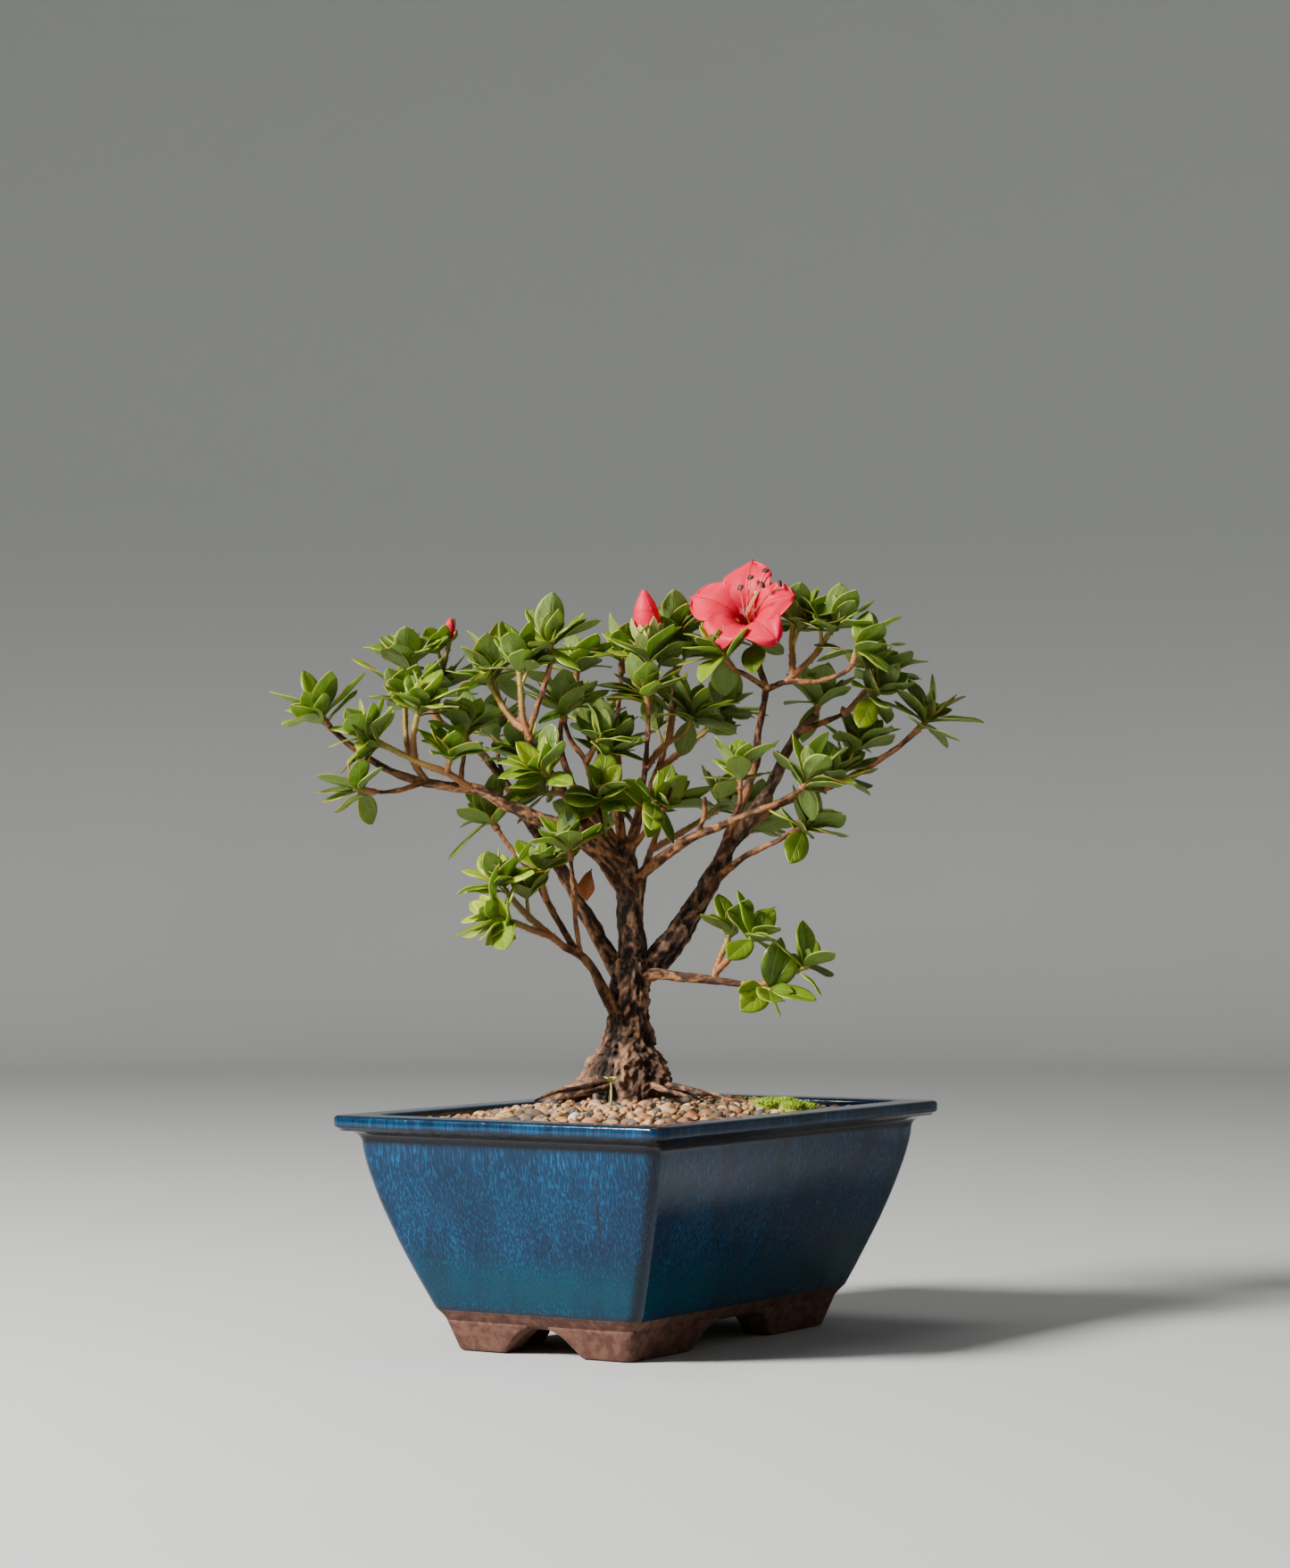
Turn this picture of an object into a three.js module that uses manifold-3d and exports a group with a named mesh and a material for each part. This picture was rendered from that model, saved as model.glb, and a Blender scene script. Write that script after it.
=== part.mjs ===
import * as THREE from "three";
import { mergeVertices } from "three/addons/utils/BufferGeometryUtils.js";
import Module from "manifold-3d";

// A small flowering bonsai in a glazed rectangular pot. Millimetres, +Z up.
// The pot's long side lies along X. The tree's front is turned in the pot.

// ---- Driving dimensions -------------------------------------------------

// Pot
const POT_LENGTH = 224; // over the lip, along X
const POT_WIDTH = 152; // over the lip, along Y
const POT_HEIGHT = 92;
const POT_WALL = 6;
const POT_FLOOR = 6;
const LIP_HEIGHT = 5; // the upright outer face of the lip
const LIP_COVE = 6; // height of the hollow under the lip
const NECK_INSET = 8.2; // from the lip's edge in to the neck below it
const BASE_INSET = 28.7; // from the lip's edge in to the foot of the glazed wall
const WALL_CURVE = 1.35; // 1 is a straight wall, more is a wall that swells
const BAND_HEIGHT = 4.5; // bare clay band between the glaze and the feet
const FOOT_HEIGHT = 12;
const FOOT_INSET = 3.6; // from the foot of the glazed wall in to the top of a foot
const FOOT_SPLAY = 4; // how far a foot's outer face leans in on its way down
const FOOT_THICKNESS = 12; // each foot is a corner angle of this thickness
const END_ARCH_TOP = 16; // gap between two feet on the short side
const END_ARCH_BOTTOM = 36;
const SIDE_ARCH_TOP = 40; // gap between two feet on the long side
const SIDE_ARCH_BOTTOM = 62;
const LIP_CORNER = 6; // plan radius of the lip's corners
const BODY_CORNER = 5;
const CORNER_STEPS = 4; // segments in each rounded corner
const WALL_STEPS = 4; // rings up the curved wall

// Drainage
const DRAIN_DIAMETER = 14;
const DRAIN_SPACING = 72; // between the two hole centres, along X
const SCREEN_THICKNESS = 1.2;
const SCREEN_CELLS = 3; // square openings along each side
const SCREEN_STRAND = 1.4;
const WIRE_DIAMETER = 1;
const WIRE_TAIL = 9; // length of each bent end under the pot

// Filling
const CLEARANCE = 0.3; // gap between any two pieces that touch
const SOIL_DEPTH = 10; // soil surface, below the rim
const GRAVEL_EDGE = 3; // gravel surface at the pot's wall, below the rim
const GRAVEL_MOUND = 9; // rise of the gravel from the wall to the trunk
const GRAVEL_BUMP = 0.7; // unevenness of the gravel
const MOSS_LENGTH = 30;
const MOSS_HEIGHT = 4.5;
const SEEDLING_HEIGHT = 8;

// Tree
const TREE_HEIGHT = 222; // above the rim
const TREE_TURN = THREE.MathUtils.degToRad(-58.2); // the front's turn in the pot
const TRUNK_THICKNESS = 15; // at half the trunk's height
const LIMB_TAPER = 0.75; // 1 thins evenly, less thins more near the start
const LEAF_LENGTH = 21;
const LEAF_WIDTH = 9.5;
const LEAF_THICKNESS = 0.9;
const LEAF_DROOP = 2.2; // how far a leaf's tip bends down
const SHOOT_DIAMETER = 1.9;
const SHOOT_TIP = 1.5; // how far a stem stands past its hand-laid end
const LEAF_SPACING = 1.1; // room kept between leaves of different shoots
const NODE_DIAMETER = 3.4; // the swollen place on a stem where a tuft's leaves leave it

// Flower and buds
const FLOWER_DIAMETER = 44;
const FLOWER_DEPTH = 20;
const FLOWER_TUBE = 2.4; // radius of the flower's narrow base
const PETAL_THICKNESS = 0.7;
const STAMEN_LENGTH = 21;
const PISTIL_LENGTH = 25;
const FILAMENT_DIAMETER = 1;
const BUD_LENGTH = 22;
const BUD_DIAMETER = 11;
const BUD_STALK = 2; // from the stem's end to the foot of the bud
const LEFT_BUD_LENGTH = 9;
const LEFT_BUD_DIAMETER = 4.6;

// ---- The tree's hand-laid shape ----------------------------------------

// Points are x (right), y (away from the front), z (up); the rim stands at
// SHAPE_RIM and the highest petal SHAPE_HEIGHT above it.
const SHAPE_RIM = 92;
const SHAPE_HEIGHT = 222;

// Trunk: a point of its centre line and its radius there.
const TRUNK = [
  [-6, 0, 66, 9],
  [-7, 0, 82, 14],
  [-7, 0, 96, 19],
  [-7, 0, 104, 17],
  [-7, 0, 111, 14.5],
  [-7, 0, 116, 11],
  [-7, 0, 122, 9.2],
  [-7, 0, 132, 8],
  [-6.5, 0, 142, 7.6],
  [-6, 0, 152, 7.2],
];

// Limbs: radius at the start, radius at the end, then the centre line.
const ROOTS = [
  [5, 1.6, [-14, -4, 101], [-24, -8, 100], [-33, -10, 97], [-42, -13, 91], [-50, -16, 82]],
  [5.5, 1.6, [-16, 3, 101], [-27, 7, 99], [-36, 13, 93], [-43, 19, 82]],
  [5.5, 1.6, [0, -2, 99], [12, -6, 97], [23, -11, 91], [34, -16, 80]],
  [5, 1.6, [-5, 8, 100], [-1, 21, 96], [4, 33, 87], [6, 42, 75]],
  [5, 1.6, [1, 6, 99], [14, 14, 95], [27, 21, 87], [38, 25, 75]],
  [5, 1.6, [-7, -9, 99], [-5, -21, 94], [-2, -31, 85], [1, -39, 73]],
  [5, 1.5, [-7, 0, 76], [-15, 5, 58], [-27, 9, 44], [-33, 11, 32]],
  [5, 1.5, [-5, 0, 74], [4, -6, 56], [16, -12, 42], [21, -15, 31]],
  [4, 1.5, [-6, 2, 72], [-3, 9, 54], [3, 19, 40], [6, 24, 31]],
];

const LIMBS = [
  // leader and the long left limb
  [6.4, 3.4, [-6, 0, 147], [-5.5, 0, 160], [-6.5, -1, 170], [-7, -2, 181], [-8, -2, 191], [-9, -2, 199]],
  [
    4, 1.1,
    [-7, -2, 178], [-13, -4, 187], [-20, -6, 195], [-30, -8, 203], [-40, -9, 207], [-52, -9, 212],
    [-66, -8, 219], [-80, -6, 221.5], [-92, -5, 223.5], [-104, -7, 228], [-118, -9, 237], [-127, -9, 245],
  ],
  [1.2, 0.9, [-75, -7, 221], [-74, -2, 230], [-73, 2, 238]],
  [1.2, 0.9, [-89, -5, 223], [-98, -12, 219.5], [-108, -17, 218.5]],
  // back left limb
  [
    4, 1.2,
    [-8, 2, 142], [-14, 8, 151], [-21, 13, 164], [-28, 18, 176], [-36, 24, 190], [-44, 30, 202],
    [-52, 34, 214], [-60, 36, 226], [-68, 36, 236], [-77, 35, 243], [-85, 34, 249],
  ],
  [1.2, 0.9, [-57, 35, 222], [-61, 42, 232], [-62, 46, 240]],
  [1.2, 0.9, [-50, 33, 211], [-52, 30, 222], [-52, 29, 230]],
  // low left branch
  [
    2.8, 1.5,
    [-8, -3, 130], [-14, -7, 133], [-18, -10, 141], [-21, -12, 147], [-26, -14, 153], [-33, -16, 157],
  ],
  [1.2, 0.9, [-26, -14, 153], [-28, -18, 165], [-29, -21, 180], [-30, -22, 191]],
  [1.6, 0.9, [-28, -14, 154], [-33, -10, 163], [-40, -4, 175], [-48, 0, 188], [-56, 2, 198], [-60, 3, 204]],
  // centre
  [
    2.8, 1,
    [-8, -2, 189], [-15, -8, 196], [-25, -13, 207], [-34, -17, 220], [-42, -19, 232],
    [-47, -20, 240], [-44, -22, 251], [-40, -23, 262], [-38, -24, 270],
  ],
  [
    2.3, 1,
    [-8, -1, 193], [-15, 6, 200], [-25, 12, 213], [-31, 16, 225], [-35, 19, 238],
    [-34, 22, 252], [-29, 22, 264],
  ],
  [2, 0.9, [-8, -2, 192], [-13, -2, 200], [-20, -4, 213], [-24, -5, 230], [-30, -5, 239], [-33, -5, 247]],
  [1.5, 0.9, [-9, -2, 196], [-10, -3, 208], [-10.5, -4, 220], [-11, -4, 230]],
  [1.9, 0.9, [-8, 0, 193], [-12, 12, 210], [-14, 19, 230], [-12, 21, 250], [-10, 20, 268]],
  [1.9, 0.9, [-8, -2, 194], [-5, -7, 204], [-2, -9, 216], [0, -10, 232], [1, -10, 250]],
  [1.3, 0.7, [-6, -3, 195], [-1, -11, 202], [7, -16, 212], [10, -18, 220]],
  // right front limb
  [
    2.7, 1,
    [-6, -2, 182], [0, -7, 188], [7, -13, 193], [14, -18, 198], [22, -22, 202],
    [32, -26, 206], [42, -29, 210], [52, -30, 214], [61, -31, 219],
  ],
  [1.2, 0.9, [20, -21, 201], [23, -25, 209], [23, -27, 216]],
  [1.2, 0.9, [34, -26, 207], [37, -30, 214], [37, -31, 219]],
  // right main limb
  [
    6.2, 1.5,
    [-4, 2, 146], [3, 4, 150], [10, 7, 158], [17, 10, 168], [24, 12, 179], [30, 14, 190],
    [36, 16, 200], [44, 17, 211], [52, 18, 224], [57, 18, 235], [63, 18, 245], [69, 18, 251],
  ],
  [2, 1, [22, 12, 176], [31, 5, 186], [40, 0, 193], [50, -4, 198], [58, -7, 202]],
  [1.8, 0.9, [22, 12, 176], [27, 19, 187], [32, 25, 195], [40, 30, 202]],
  [
    2.4, 1.1,
    [38, 16, 203], [50, 20, 212], [62, 24, 218], [75, 26, 222], [84, 26, 226], [93, 25, 231],
    [103, 22, 238], [110, 20, 244],
  ],
  [
    2.5, 1.1,
    [30, 14, 190], [34, 9, 203], [39, 4, 216], [44, 0, 230], [45, -2, 240], [47, -3, 252],
    [48, -3, 261], [46, 0, 269], [45, 3, 276],
  ],
  [1.2, 0.9, [48, -3, 261], [41, -6, 265.5], [35, -8, 268]],
  [1.3, 0.9, [48, -3, 260], [56, -6, 263], [68, -8, 263], [78, -9, 266], [83, -9, 270]],
  [1.5, 1, [62, 18, 244], [72, 16, 248], [80, 15, 251]],
  // low right branch
  [2.8, 1.4, [-3, -2, 145], [6, -6, 145.5], [16, -11, 144.5], [27, -15, 143.5], [38, -19, 142]],
  // back limbs
  [3.6, 1.3, [-5, 3, 150], [-4, 14, 165], [-2, 26, 180], [1, 36, 193]],
  [1.6, 0.9, [-2, 26, 180], [-12, 36, 192], [-20, 46, 202]],
  [2.4, 1.2, [-8, -1, 188], [-4, 12, 205], [2, 24, 222]],
  [1.3, 0.9, [-4, 12, 205], [-16, 26, 222], [-20, 32, 240]],
];

// Leaf shoots: young stems with one tuft of leaves or more. stems: each from
// its place on the wood, or on the first stem, to its end. Each tuft has its
// centre, the x and z of the leaf tips that show from the front, and how many
// more leaves fill it round.
const SHOOTS = [
  {
    name: "left_end",
    stems: [[[-127, -9, 245], [-130, -9, 249]]],
    tufts: [
      {
        at: [-130, -9, 248],
        fill: 2,
        tips: [[-151, 259], [-146, 252], [-145, 245], [-138, 268], [-126, 267], [-113, 267]],
      },
    ],
  },
  {
    name: "left_inner",
    stems: [
      [[-70, -8, 220], [-80, -13, 226.5], [-90, -16, 230], [-104, -18, 237], [-111, -19, 241]],
      [[-80, -13, 226.5], [-78, -16, 233]],
    ],
    tufts: [
      { at: [-110, -19, 240], fill: 3, tips: [[-126, 236], [-121, 250], [-100, 252]] },
      { at: [-78, -16, 232], fill: 2, tips: [[-66, 238], [-90, 240]] },
    ],
  },
  {
    name: "left_low",
    stems: [[[-108, -17, 218.5], [-115, -18, 219.5]]],
    tufts: [
      {
        at: [-114, -18, 219],
        fill: 2,
        tips: [[-131, 225], [-130, 215], [-113, 231], [-110, 206], [-105, 228]],
      },
    ],
  },
  {
    name: "left_upper",
    stems: [
      [[-88, -5, 222.5], [-94, -6, 232], [-97, -2, 243], [-97, 1, 258]],
      [[-93, -6, 231], [-93, -15, 242], [-90, -19, 253]],
    ],
    tufts: [
      { at: [-97, 1, 256], fill: 3, tips: [[-97, 268], [-113, 258], [-119, 273], [-82, 274]] },
      { at: [-90, -19, 252], fill: 3, tips: [[-74, 252], [-82, 268], [-103, 248]] },
    ],
  },
  {
    name: "left_top",
    stems: [
      [[-85, 34, 249], [-91, 30, 258], [-96, 28, 267], [-98, 27, 274]],
      [[-87, 33, 252], [-86, 38, 262], [-84, 40, 272], [-82, 40, 281]],
    ],
    tufts: [
      { at: [-97, 27, 272], fill: 3, tips: [[-112, 278], [-110, 284], [-98, 287], [-83, 287]] },
      { at: [-85, 38, 262], fill: 4, tips: [[-70, 270], [-98, 258]] },
    ],
  },
  {
    name: "left_fork",
    stems: [[[-73, 2, 238], [-73, 4, 246]]],
    tufts: [{ at: [-73, 4, 244], fill: 3, tips: [[-88, 240], [-60, 249], [-80, 256]] }],
  },
  {
    name: "back_left",
    stems: [[[-62, 46, 240], [-63, 48, 247]]],
    tufts: [{ at: [-63, 48, 245], fill: 4, tips: [] }],
  },
  {
    name: "back_left_inner",
    stems: [[[-52, 29, 230], [-52, 29, 237]]],
    tufts: [{ at: [-52, 29, 235], fill: 4, tips: [[-62, 240], [-44, 244]] }],
  },
  {
    name: "low_left",
    stems: [
      [[-33, -16, 157], [-40, -20, 163], [-48, -22, 170], [-54, -23, 177], [-58, -24, 182]],
      [[-38, -19, 161], [-46, -26, 164], [-53, -31, 167], [-59, -32, 169]],
    ],
    tufts: [
      { at: [-57, -24, 181], fill: 3, tips: [[-75, 178], [-66, 194], [-44, 186]] },
      { at: [-58, -32, 168], fill: 2, tips: [[-76, 161], [-70, 175], [-55, 156]] },
    ],
  },
  {
    name: "low_left_upright",
    stems: [[[-30, -22, 191], [-31, -22, 197]]],
    tufts: [{ at: [-31, -22, 195], fill: 3, tips: [[-46, 199], [-30, 211], [-18, 206]] }],
  },
  {
    name: "low_left_bright",
    stems: [[[-60, 3, 204], [-64, 4, 209]]],
    tufts: [{ at: [-63, 4, 208], fill: 2, tips: [[-80, 192], [-76, 205], [-62, 222], [-52, 222]] }],
  },
  {
    name: "low_left_inner",
    stems: [[[-40, -4, 175], [-42, -10, 184], [-42, -12, 188]]],
    tufts: [{ at: [-42, -11, 187], fill: 2, tips: [[-54, 190], [-53, 180], [-34, 198]] }],
  },
  {
    name: "centre_left",
    stems: [
      [[-46, -20, 239], [-49, -22, 248], [-50, -24, 260], [-51, -24, 270]],
      [[-48, -21, 243], [-54, -14, 248], [-59, -10, 256], [-62, -8, 267]],
    ],
    tufts: [
      { at: [-51, -24, 268], fill: 2, tips: [[-54, 281], [-58, 287], [-46, 286], [-37, 262]] },
      {
        at: [-62, -8, 264],
        fill: 1,
        tips: [[-64, 282], [-72, 284], [-60, 287], [-76, 258], [-74, 277], [-50, 255]],
      },
    ],
  },
  {
    name: "crown_left",
    stems: [[[-38, -24, 270], [-38, -24, 279]]],
    tufts: [
      {
        at: [-38, -24, 276],
        fill: 2,
        tips: [[-37, 298], [-48, 292], [-24, 290], [-18, 287], [-26, 266]],
      },
    ],
  },
  {
    name: "crown_left_back",
    stems: [[[-29, 22, 264], [-28, 22, 273]]],
    tufts: [{ at: [-28, 22, 270], fill: 3, tips: [[-34, 288], [-14, 272], [-20, 284]] }],
  },
  {
    name: "centre_fork",
    stems: [[[-33, -5, 247], [-33, -5, 255]]],
    tufts: [
      {
        at: [-33, -5, 252],
        fill: 1,
        tips: [[-33, 268], [-50, 263], [-20, 263], [-17, 252], [-45, 244]],
      },
    ],
  },
  {
    name: "centre_side",
    stems: [[[-24, -5, 231], [-19, -10, 240]]],
    tufts: [{ at: [-19, -10, 239], fill: 2, tips: [[-18, 256], [-5, 250], [-6, 238]] }],
  },
  {
    name: "centre_low_left",
    stems: [[[-34, -17, 220], [-41, -26, 226]]],
    tufts: [{ at: [-41, -26, 226], fill: 2, tips: [[-56, 223], [-50, 236], [-33, 238]] }],
  },
  {
    name: "centre_low_back",
    stems: [[[-28, 14, 219], [-42, 16, 219]]],
    tufts: [{ at: [-42, 16, 219], fill: 4, tips: [[-56, 212], [-44, 230]] }],
  },
  {
    name: "centre_low",
    stems: [[[-20, -4, 213], [-18, -13, 217]]],
    tufts: [{ at: [-18, -13, 216], fill: 2, tips: [[-32, 218], [-20, 202], [-8, 222]] }],
  },
  {
    name: "centre_upright",
    stems: [[[-11, -4, 230], [-12, -5, 237]]],
    tufts: [{ at: [-12, -5, 235], fill: 3, tips: [[-26, 240], [0, 240]] }],
  },
  {
    name: "centre_low_right",
    stems: [[[-2, -9, 215], [4, -15, 214]]],
    tufts: [{ at: [3, -14, 214], fill: 2, tips: [[-4, 222], [14, 216], [2, 203]] }],
  },
  {
    name: "crown_centre_back",
    stems: [[[-10, 20, 268], [-10, 19, 278]]],
    tufts: [{ at: [-10, 19, 275], fill: 3, tips: [[-14, 292], [-24, 282], [3, 268]] }],
  },
  {
    name: "crown_centre",
    stems: [
      [[1, -10, 250], [0, -12, 258]],
      [[0.5, -11, 253], [2, -6, 262], [1, -3, 269], [1, -3, 275]],
    ],
    tufts: [
      {
        at: [0, -12, 257],
        fill: 1,
        tips: [[0, 270], [-13, 267], [-6, 274], [-20, 262], [16, 265], [-18, 254]],
      },
      { at: [1, -3, 272], fill: 2, tips: [[-10, 289], [-15, 282], [11, 286], [14, 276]] },
    ],
  },
  {
    name: "centre_right",
    stems: [
      [[0, -10, 228], [4, -6, 234], [9, 0, 239], [16, 4, 244], [19, 4, 251]],
      [[9, 0, 239], [11, 6, 254], [12, 9, 270], [12, 9, 284]],
    ],
    tufts: [
      {
        at: [18, 4, 249],
        fill: 1,
        tips: [[11, 266], [26, 259], [38, 255], [37, 243], [4, 250], [14, 234]],
      },
      { at: [12, 9, 282], fill: 2, tips: [[11, 301], [24, 297], [28, 289], [2, 296]] },
    ],
  },
  {
    name: "right_crown_left",
    stems: [[[35, -8, 268], [30, -9, 275]]],
    tufts: [{ at: [31, -9, 274], fill: 2, tips: [[19, 286], [28, 292], [14, 276], [32, 258], [22, 262]] }],
  },
  {
    name: "flower_base",
    stems: [[[45, 3, 276], [43.5, 3.5, 281]]],
    tufts: [{ at: [44, 3.5, 279], fill: 2, tips: [[27, 286], [56, 276], [43, 266]] }],
  },
  {
    name: "right_front",
    stems: [[[61, -31, 219], [64, -31, 223]]],
    tufts: [
      {
        at: [63, -31, 222],
        fill: 1,
        tips: [[71, 232], [80, 236], [72, 242], [58, 242], [50, 234], [66, 207]],
      },
    ],
  },
  {
    name: "right_front_inner",
    stems: [[[37, -31, 219], [37, -31, 227]]],
    tufts: [{ at: [37, -31, 225], fill: 2, tips: [[27, 240], [37, 240], [50, 237], [28, 216]] }],
  },
  {
    name: "right_front_low",
    stems: [[[58, -7, 202], [64, -8, 205]]],
    tufts: [{ at: [63, -8, 204], fill: 2, tips: [[81, 201], [79, 211], [68, 220], [50, 212], [57, 190]] }],
  },
  {
    name: "right_back",
    stems: [[[40, 30, 202], [45, 33, 206]]],
    tufts: [{ at: [44, 32, 205], fill: 4, tips: [[36, 219], [58, 204]] }],
  },
  {
    name: "far_right",
    stems: [[[110, 20, 244], [115, 19, 249]]],
    tufts: [
      {
        at: [114, 19, 248],
        fill: 1,
        tips: [[138, 248], [131, 259], [117, 268], [108, 266], [102, 261], [124, 238]],
      },
    ],
  },
  {
    name: "right_side",
    stems: [[[75, 26, 222], [79, 30, 227], [84, 31, 233], [87, 30, 239]]],
    tufts: [
      { at: [78, 30, 226], fill: 2, tips: [[84, 214], [94, 223]] },
      { at: [87, 30, 238], fill: 2, tips: [[101, 246], [95, 252], [78, 244]] },
    ],
  },
  {
    name: "right_upper",
    stems: [
      [[80, 15, 251], [87, 14, 256], [94, 14, 260]],
      [[84, 15, 254], [89, 22, 260], [94, 26, 265], [97, 27, 270]],
    ],
    tufts: [
      {
        at: [93, 14, 259],
        fill: 1,
        tips: [[109, 264], [101, 273], [83, 262], [99, 248], [86, 245]],
      },
      { at: [97, 27, 268], fill: 3, tips: [[108, 277], [95, 283]] },
    ],
  },
  {
    name: "right_main",
    stems: [[[69, 18, 251], [71, 18, 257]]],
    tufts: [{ at: [70, 18, 256], fill: 3, tips: [[56, 256], [64, 240], [74, 272]] }],
  },
  {
    name: "flower_side",
    stems: [[[83, -9, 270], [85, -9, 278]]],
    tufts: [{ at: [85, -9, 276], fill: 1, tips: [[94, 286], [91, 292], [104, 278], [72, 270], [96, 266]] }],
  },
  {
    name: "flower_right",
    stems: [
      [[56, -6, 263], [64, -4, 270], [70, -2, 277], [76, -2, 287]],
      [[59, -5.5, 266], [59, 0, 274], [59, 3, 282], [60, 4, 290]],
    ],
    tufts: [
      { at: [76, -2, 285], fill: 2, tips: [[78, 303], [68, 297], [84, 300]] },
      { at: [60, 4, 288], fill: 2, tips: [[62, 303], [70, 303], [69, 284]] },
    ],
  },
  {
    name: "low_right",
    stems: [
      [[38, -19, 142], [46, -21, 142], [53, -23, 144.5], [63, -26, 149]],
      [[42, -20, 142], [45, -25, 140.5], [48, -29, 140]],
    ],
    tufts: [
      { at: [62, -26, 149], fill: 1, tips: [[50, 160], [66, 161], [74, 155], [75, 146]] },
      { at: [48, -29, 140], fill: 2, tips: [[37, 132], [53, 129], [67, 136], [55, 148]] },
    ],
  },
  {
    name: "low_right_upright",
    stems: [
      [[27, -15, 144], [29, -13, 151], [32, -10, 158], [34, -9, 164]],
      [[28, -14, 147], [34, -19, 153], [42, -23, 161]],
    ],
    tufts: [
      { at: [34, -9, 162], fill: 1, tips: [[22, 170], [29, 178], [40, 176]] },
      { at: [42, -23, 160], fill: 2, tips: [[52, 165], [52, 152], [32, 152]] },
    ],
  },
  {
    name: "back_centre",
    stems: [
      [[1, 36, 193], [4, 42, 202], [8, 49, 215]],
      [[2, 38, 196], [14, 44, 203], [25, 50, 210], [32, 52, 215]],
    ],
    tufts: [
      { at: [8, 48, 214], fill: 4, tips: [] },
      { at: [31, 52, 214], fill: 4, tips: [] },
    ],
  },
  {
    name: "back_low_left",
    stems: [[[-20, 46, 202], [-24, 50, 208]]],
    tufts: [{ at: [-23, 49, 206], fill: 4, tips: [] }],
  },
  {
    name: "back_upper",
    stems: [
      [[2, 24, 222], [7, 31, 236], [11, 35, 257]],
      [[4, 27, 228], [16, 31, 238], [26, 34, 247], [32, 36, 255]],
    ],
    tufts: [
      { at: [11, 35, 255], fill: 4, tips: [] },
      { at: [31, 36, 253], fill: 4, tips: [] },
    ],
  },
  {
    name: "back_upper_left",
    stems: [[[-20, 32, 240], [-21, 34, 248]]],
    tufts: [{ at: [-21, 34, 246], fill: 4, tips: [] }],
  },
];

// Flower and buds: where each stands and which way it faces.
const FLOWER_AT = [42.8, 2.6, 285.4];
const FLOWER_AXIS = [-0.3, -0.8, 0.52];
const BUD_AXIS = [-0.09, -0.05, 1];
const LEFT_BUD_AT = [-82, 40, 283.5];
const LEFT_BUD_AXIS = [0.1, 0, 1];

// ---- Solids and geometry ------------------------------------------------

const wasm = await Module();
wasm.setup();

// A closed geometry as a manifold-3d solid, which can be joined and cut.
function toSolid(geometry) {
  const bare = geometry.clone();
  bare.deleteAttribute("normal");
  bare.deleteAttribute("uv");
  const merged = mergeVertices(bare, 1e-4);
  return new wasm.Manifold(
    new wasm.Mesh({
      numProp: 3,
      vertProperties: merged.attributes.position.array,
      triVerts: new Uint32Array(merged.index.array),
    }),
  );
}

// A solid as a geometry with flat shading.
function toGeometry(solid) {
  const { vertProperties, triVerts, numProp } = solid.getMesh();
  const positions = new Float32Array(triVerts.length * 3);
  triVerts.forEach((vertex, i) => {
    positions.set(vertProperties.subarray(vertex * numProp, vertex * numProp + 3), i * 3);
  });
  const geometry = new THREE.BufferGeometry();
  geometry.setAttribute("position", new THREE.BufferAttribute(positions, 3));
  geometry.computeVertexNormals();
  return geometry;
}

function join(solids) {
  return solids.reduce((sum, solid) => sum.add(solid));
}

// The largest of the pieces that a cut leaves.
function largestPiece(solid) {
  return solid.decompose().reduce((best, piece) => (piece.volume() > best.volume() ? piece : best));
}

// A skin over rings of points, each ring counter-clockwise about the way the
// rings run, closed at both ends by a fan.
function loft(rings) {
  const count = rings[0].length;
  const positions = [];
  const index = [];
  rings.forEach((ring) => ring.forEach((p) => positions.push(p.x, p.y, p.z)));
  for (let r = 0; r + 1 < rings.length; r++) {
    for (let i = 0; i < count; i++) {
      const a = r * count + i;
      const b = r * count + ((i + 1) % count);
      index.push(a, b, b + count, a, b + count, a + count);
    }
  }
  [rings[0], rings[rings.length - 1]].forEach((ring, end) => {
    const middle = new THREE.Vector3();
    ring.forEach((p) => middle.addScaledVector(p, 1 / count));
    const centre = positions.length / 3;
    positions.push(middle.x, middle.y, middle.z);
    const first = end ? (rings.length - 1) * count : 0;
    for (let i = 0; i < count; i++) {
      const a = first + i;
      const b = first + ((i + 1) % count);
      index.push(centre, end ? a : b, end ? b : a);
    }
  });
  const geometry = new THREE.BufferGeometry();
  geometry.setAttribute("position", new THREE.Float32BufferAttribute(positions, 3));
  geometry.setIndex(index);
  return geometry;
}

// A ring of points round a centre, in the plane of two directions.
function circle(centre, u, v, radius, sides, lobes = 0, depth = 0) {
  return Array.from({ length: sides }, (_, i) => {
    const angle = (i / sides) * 2 * Math.PI;
    const r = radius * (1 + depth * Math.cos(lobes * angle));
    return centre
      .clone()
      .addScaledVector(u, r * Math.cos(angle))
      .addScaledVector(v, r * Math.sin(angle));
  });
}

// A closed tube along a smooth curve through the points; radiusAt gives its
// radius from 0, the start, to 1, the end.
function tube(points, radiusAt, sides, steps) {
  const curve = new THREE.CatmullRomCurve3(points);
  const { normals, binormals } = curve.computeFrenetFrames(steps, false);
  const rings = [];
  for (let i = 0; i <= steps; i++) {
    const t = i / steps;
    rings.push(circle(curve.getPointAt(t), normals[i], binormals[i], radiusAt(t), sides));
  }
  return loft(rings);
}

// Two directions square to an axis.
function across(axis) {
  const helper = Math.abs(axis.z) < 0.9 ? new THREE.Vector3(0, 0, 1) : new THREE.Vector3(1, 0, 0);
  const u = new THREE.Vector3().crossVectors(helper, axis).normalize();
  return [u, new THREE.Vector3().crossVectors(axis, u)];
}

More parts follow.
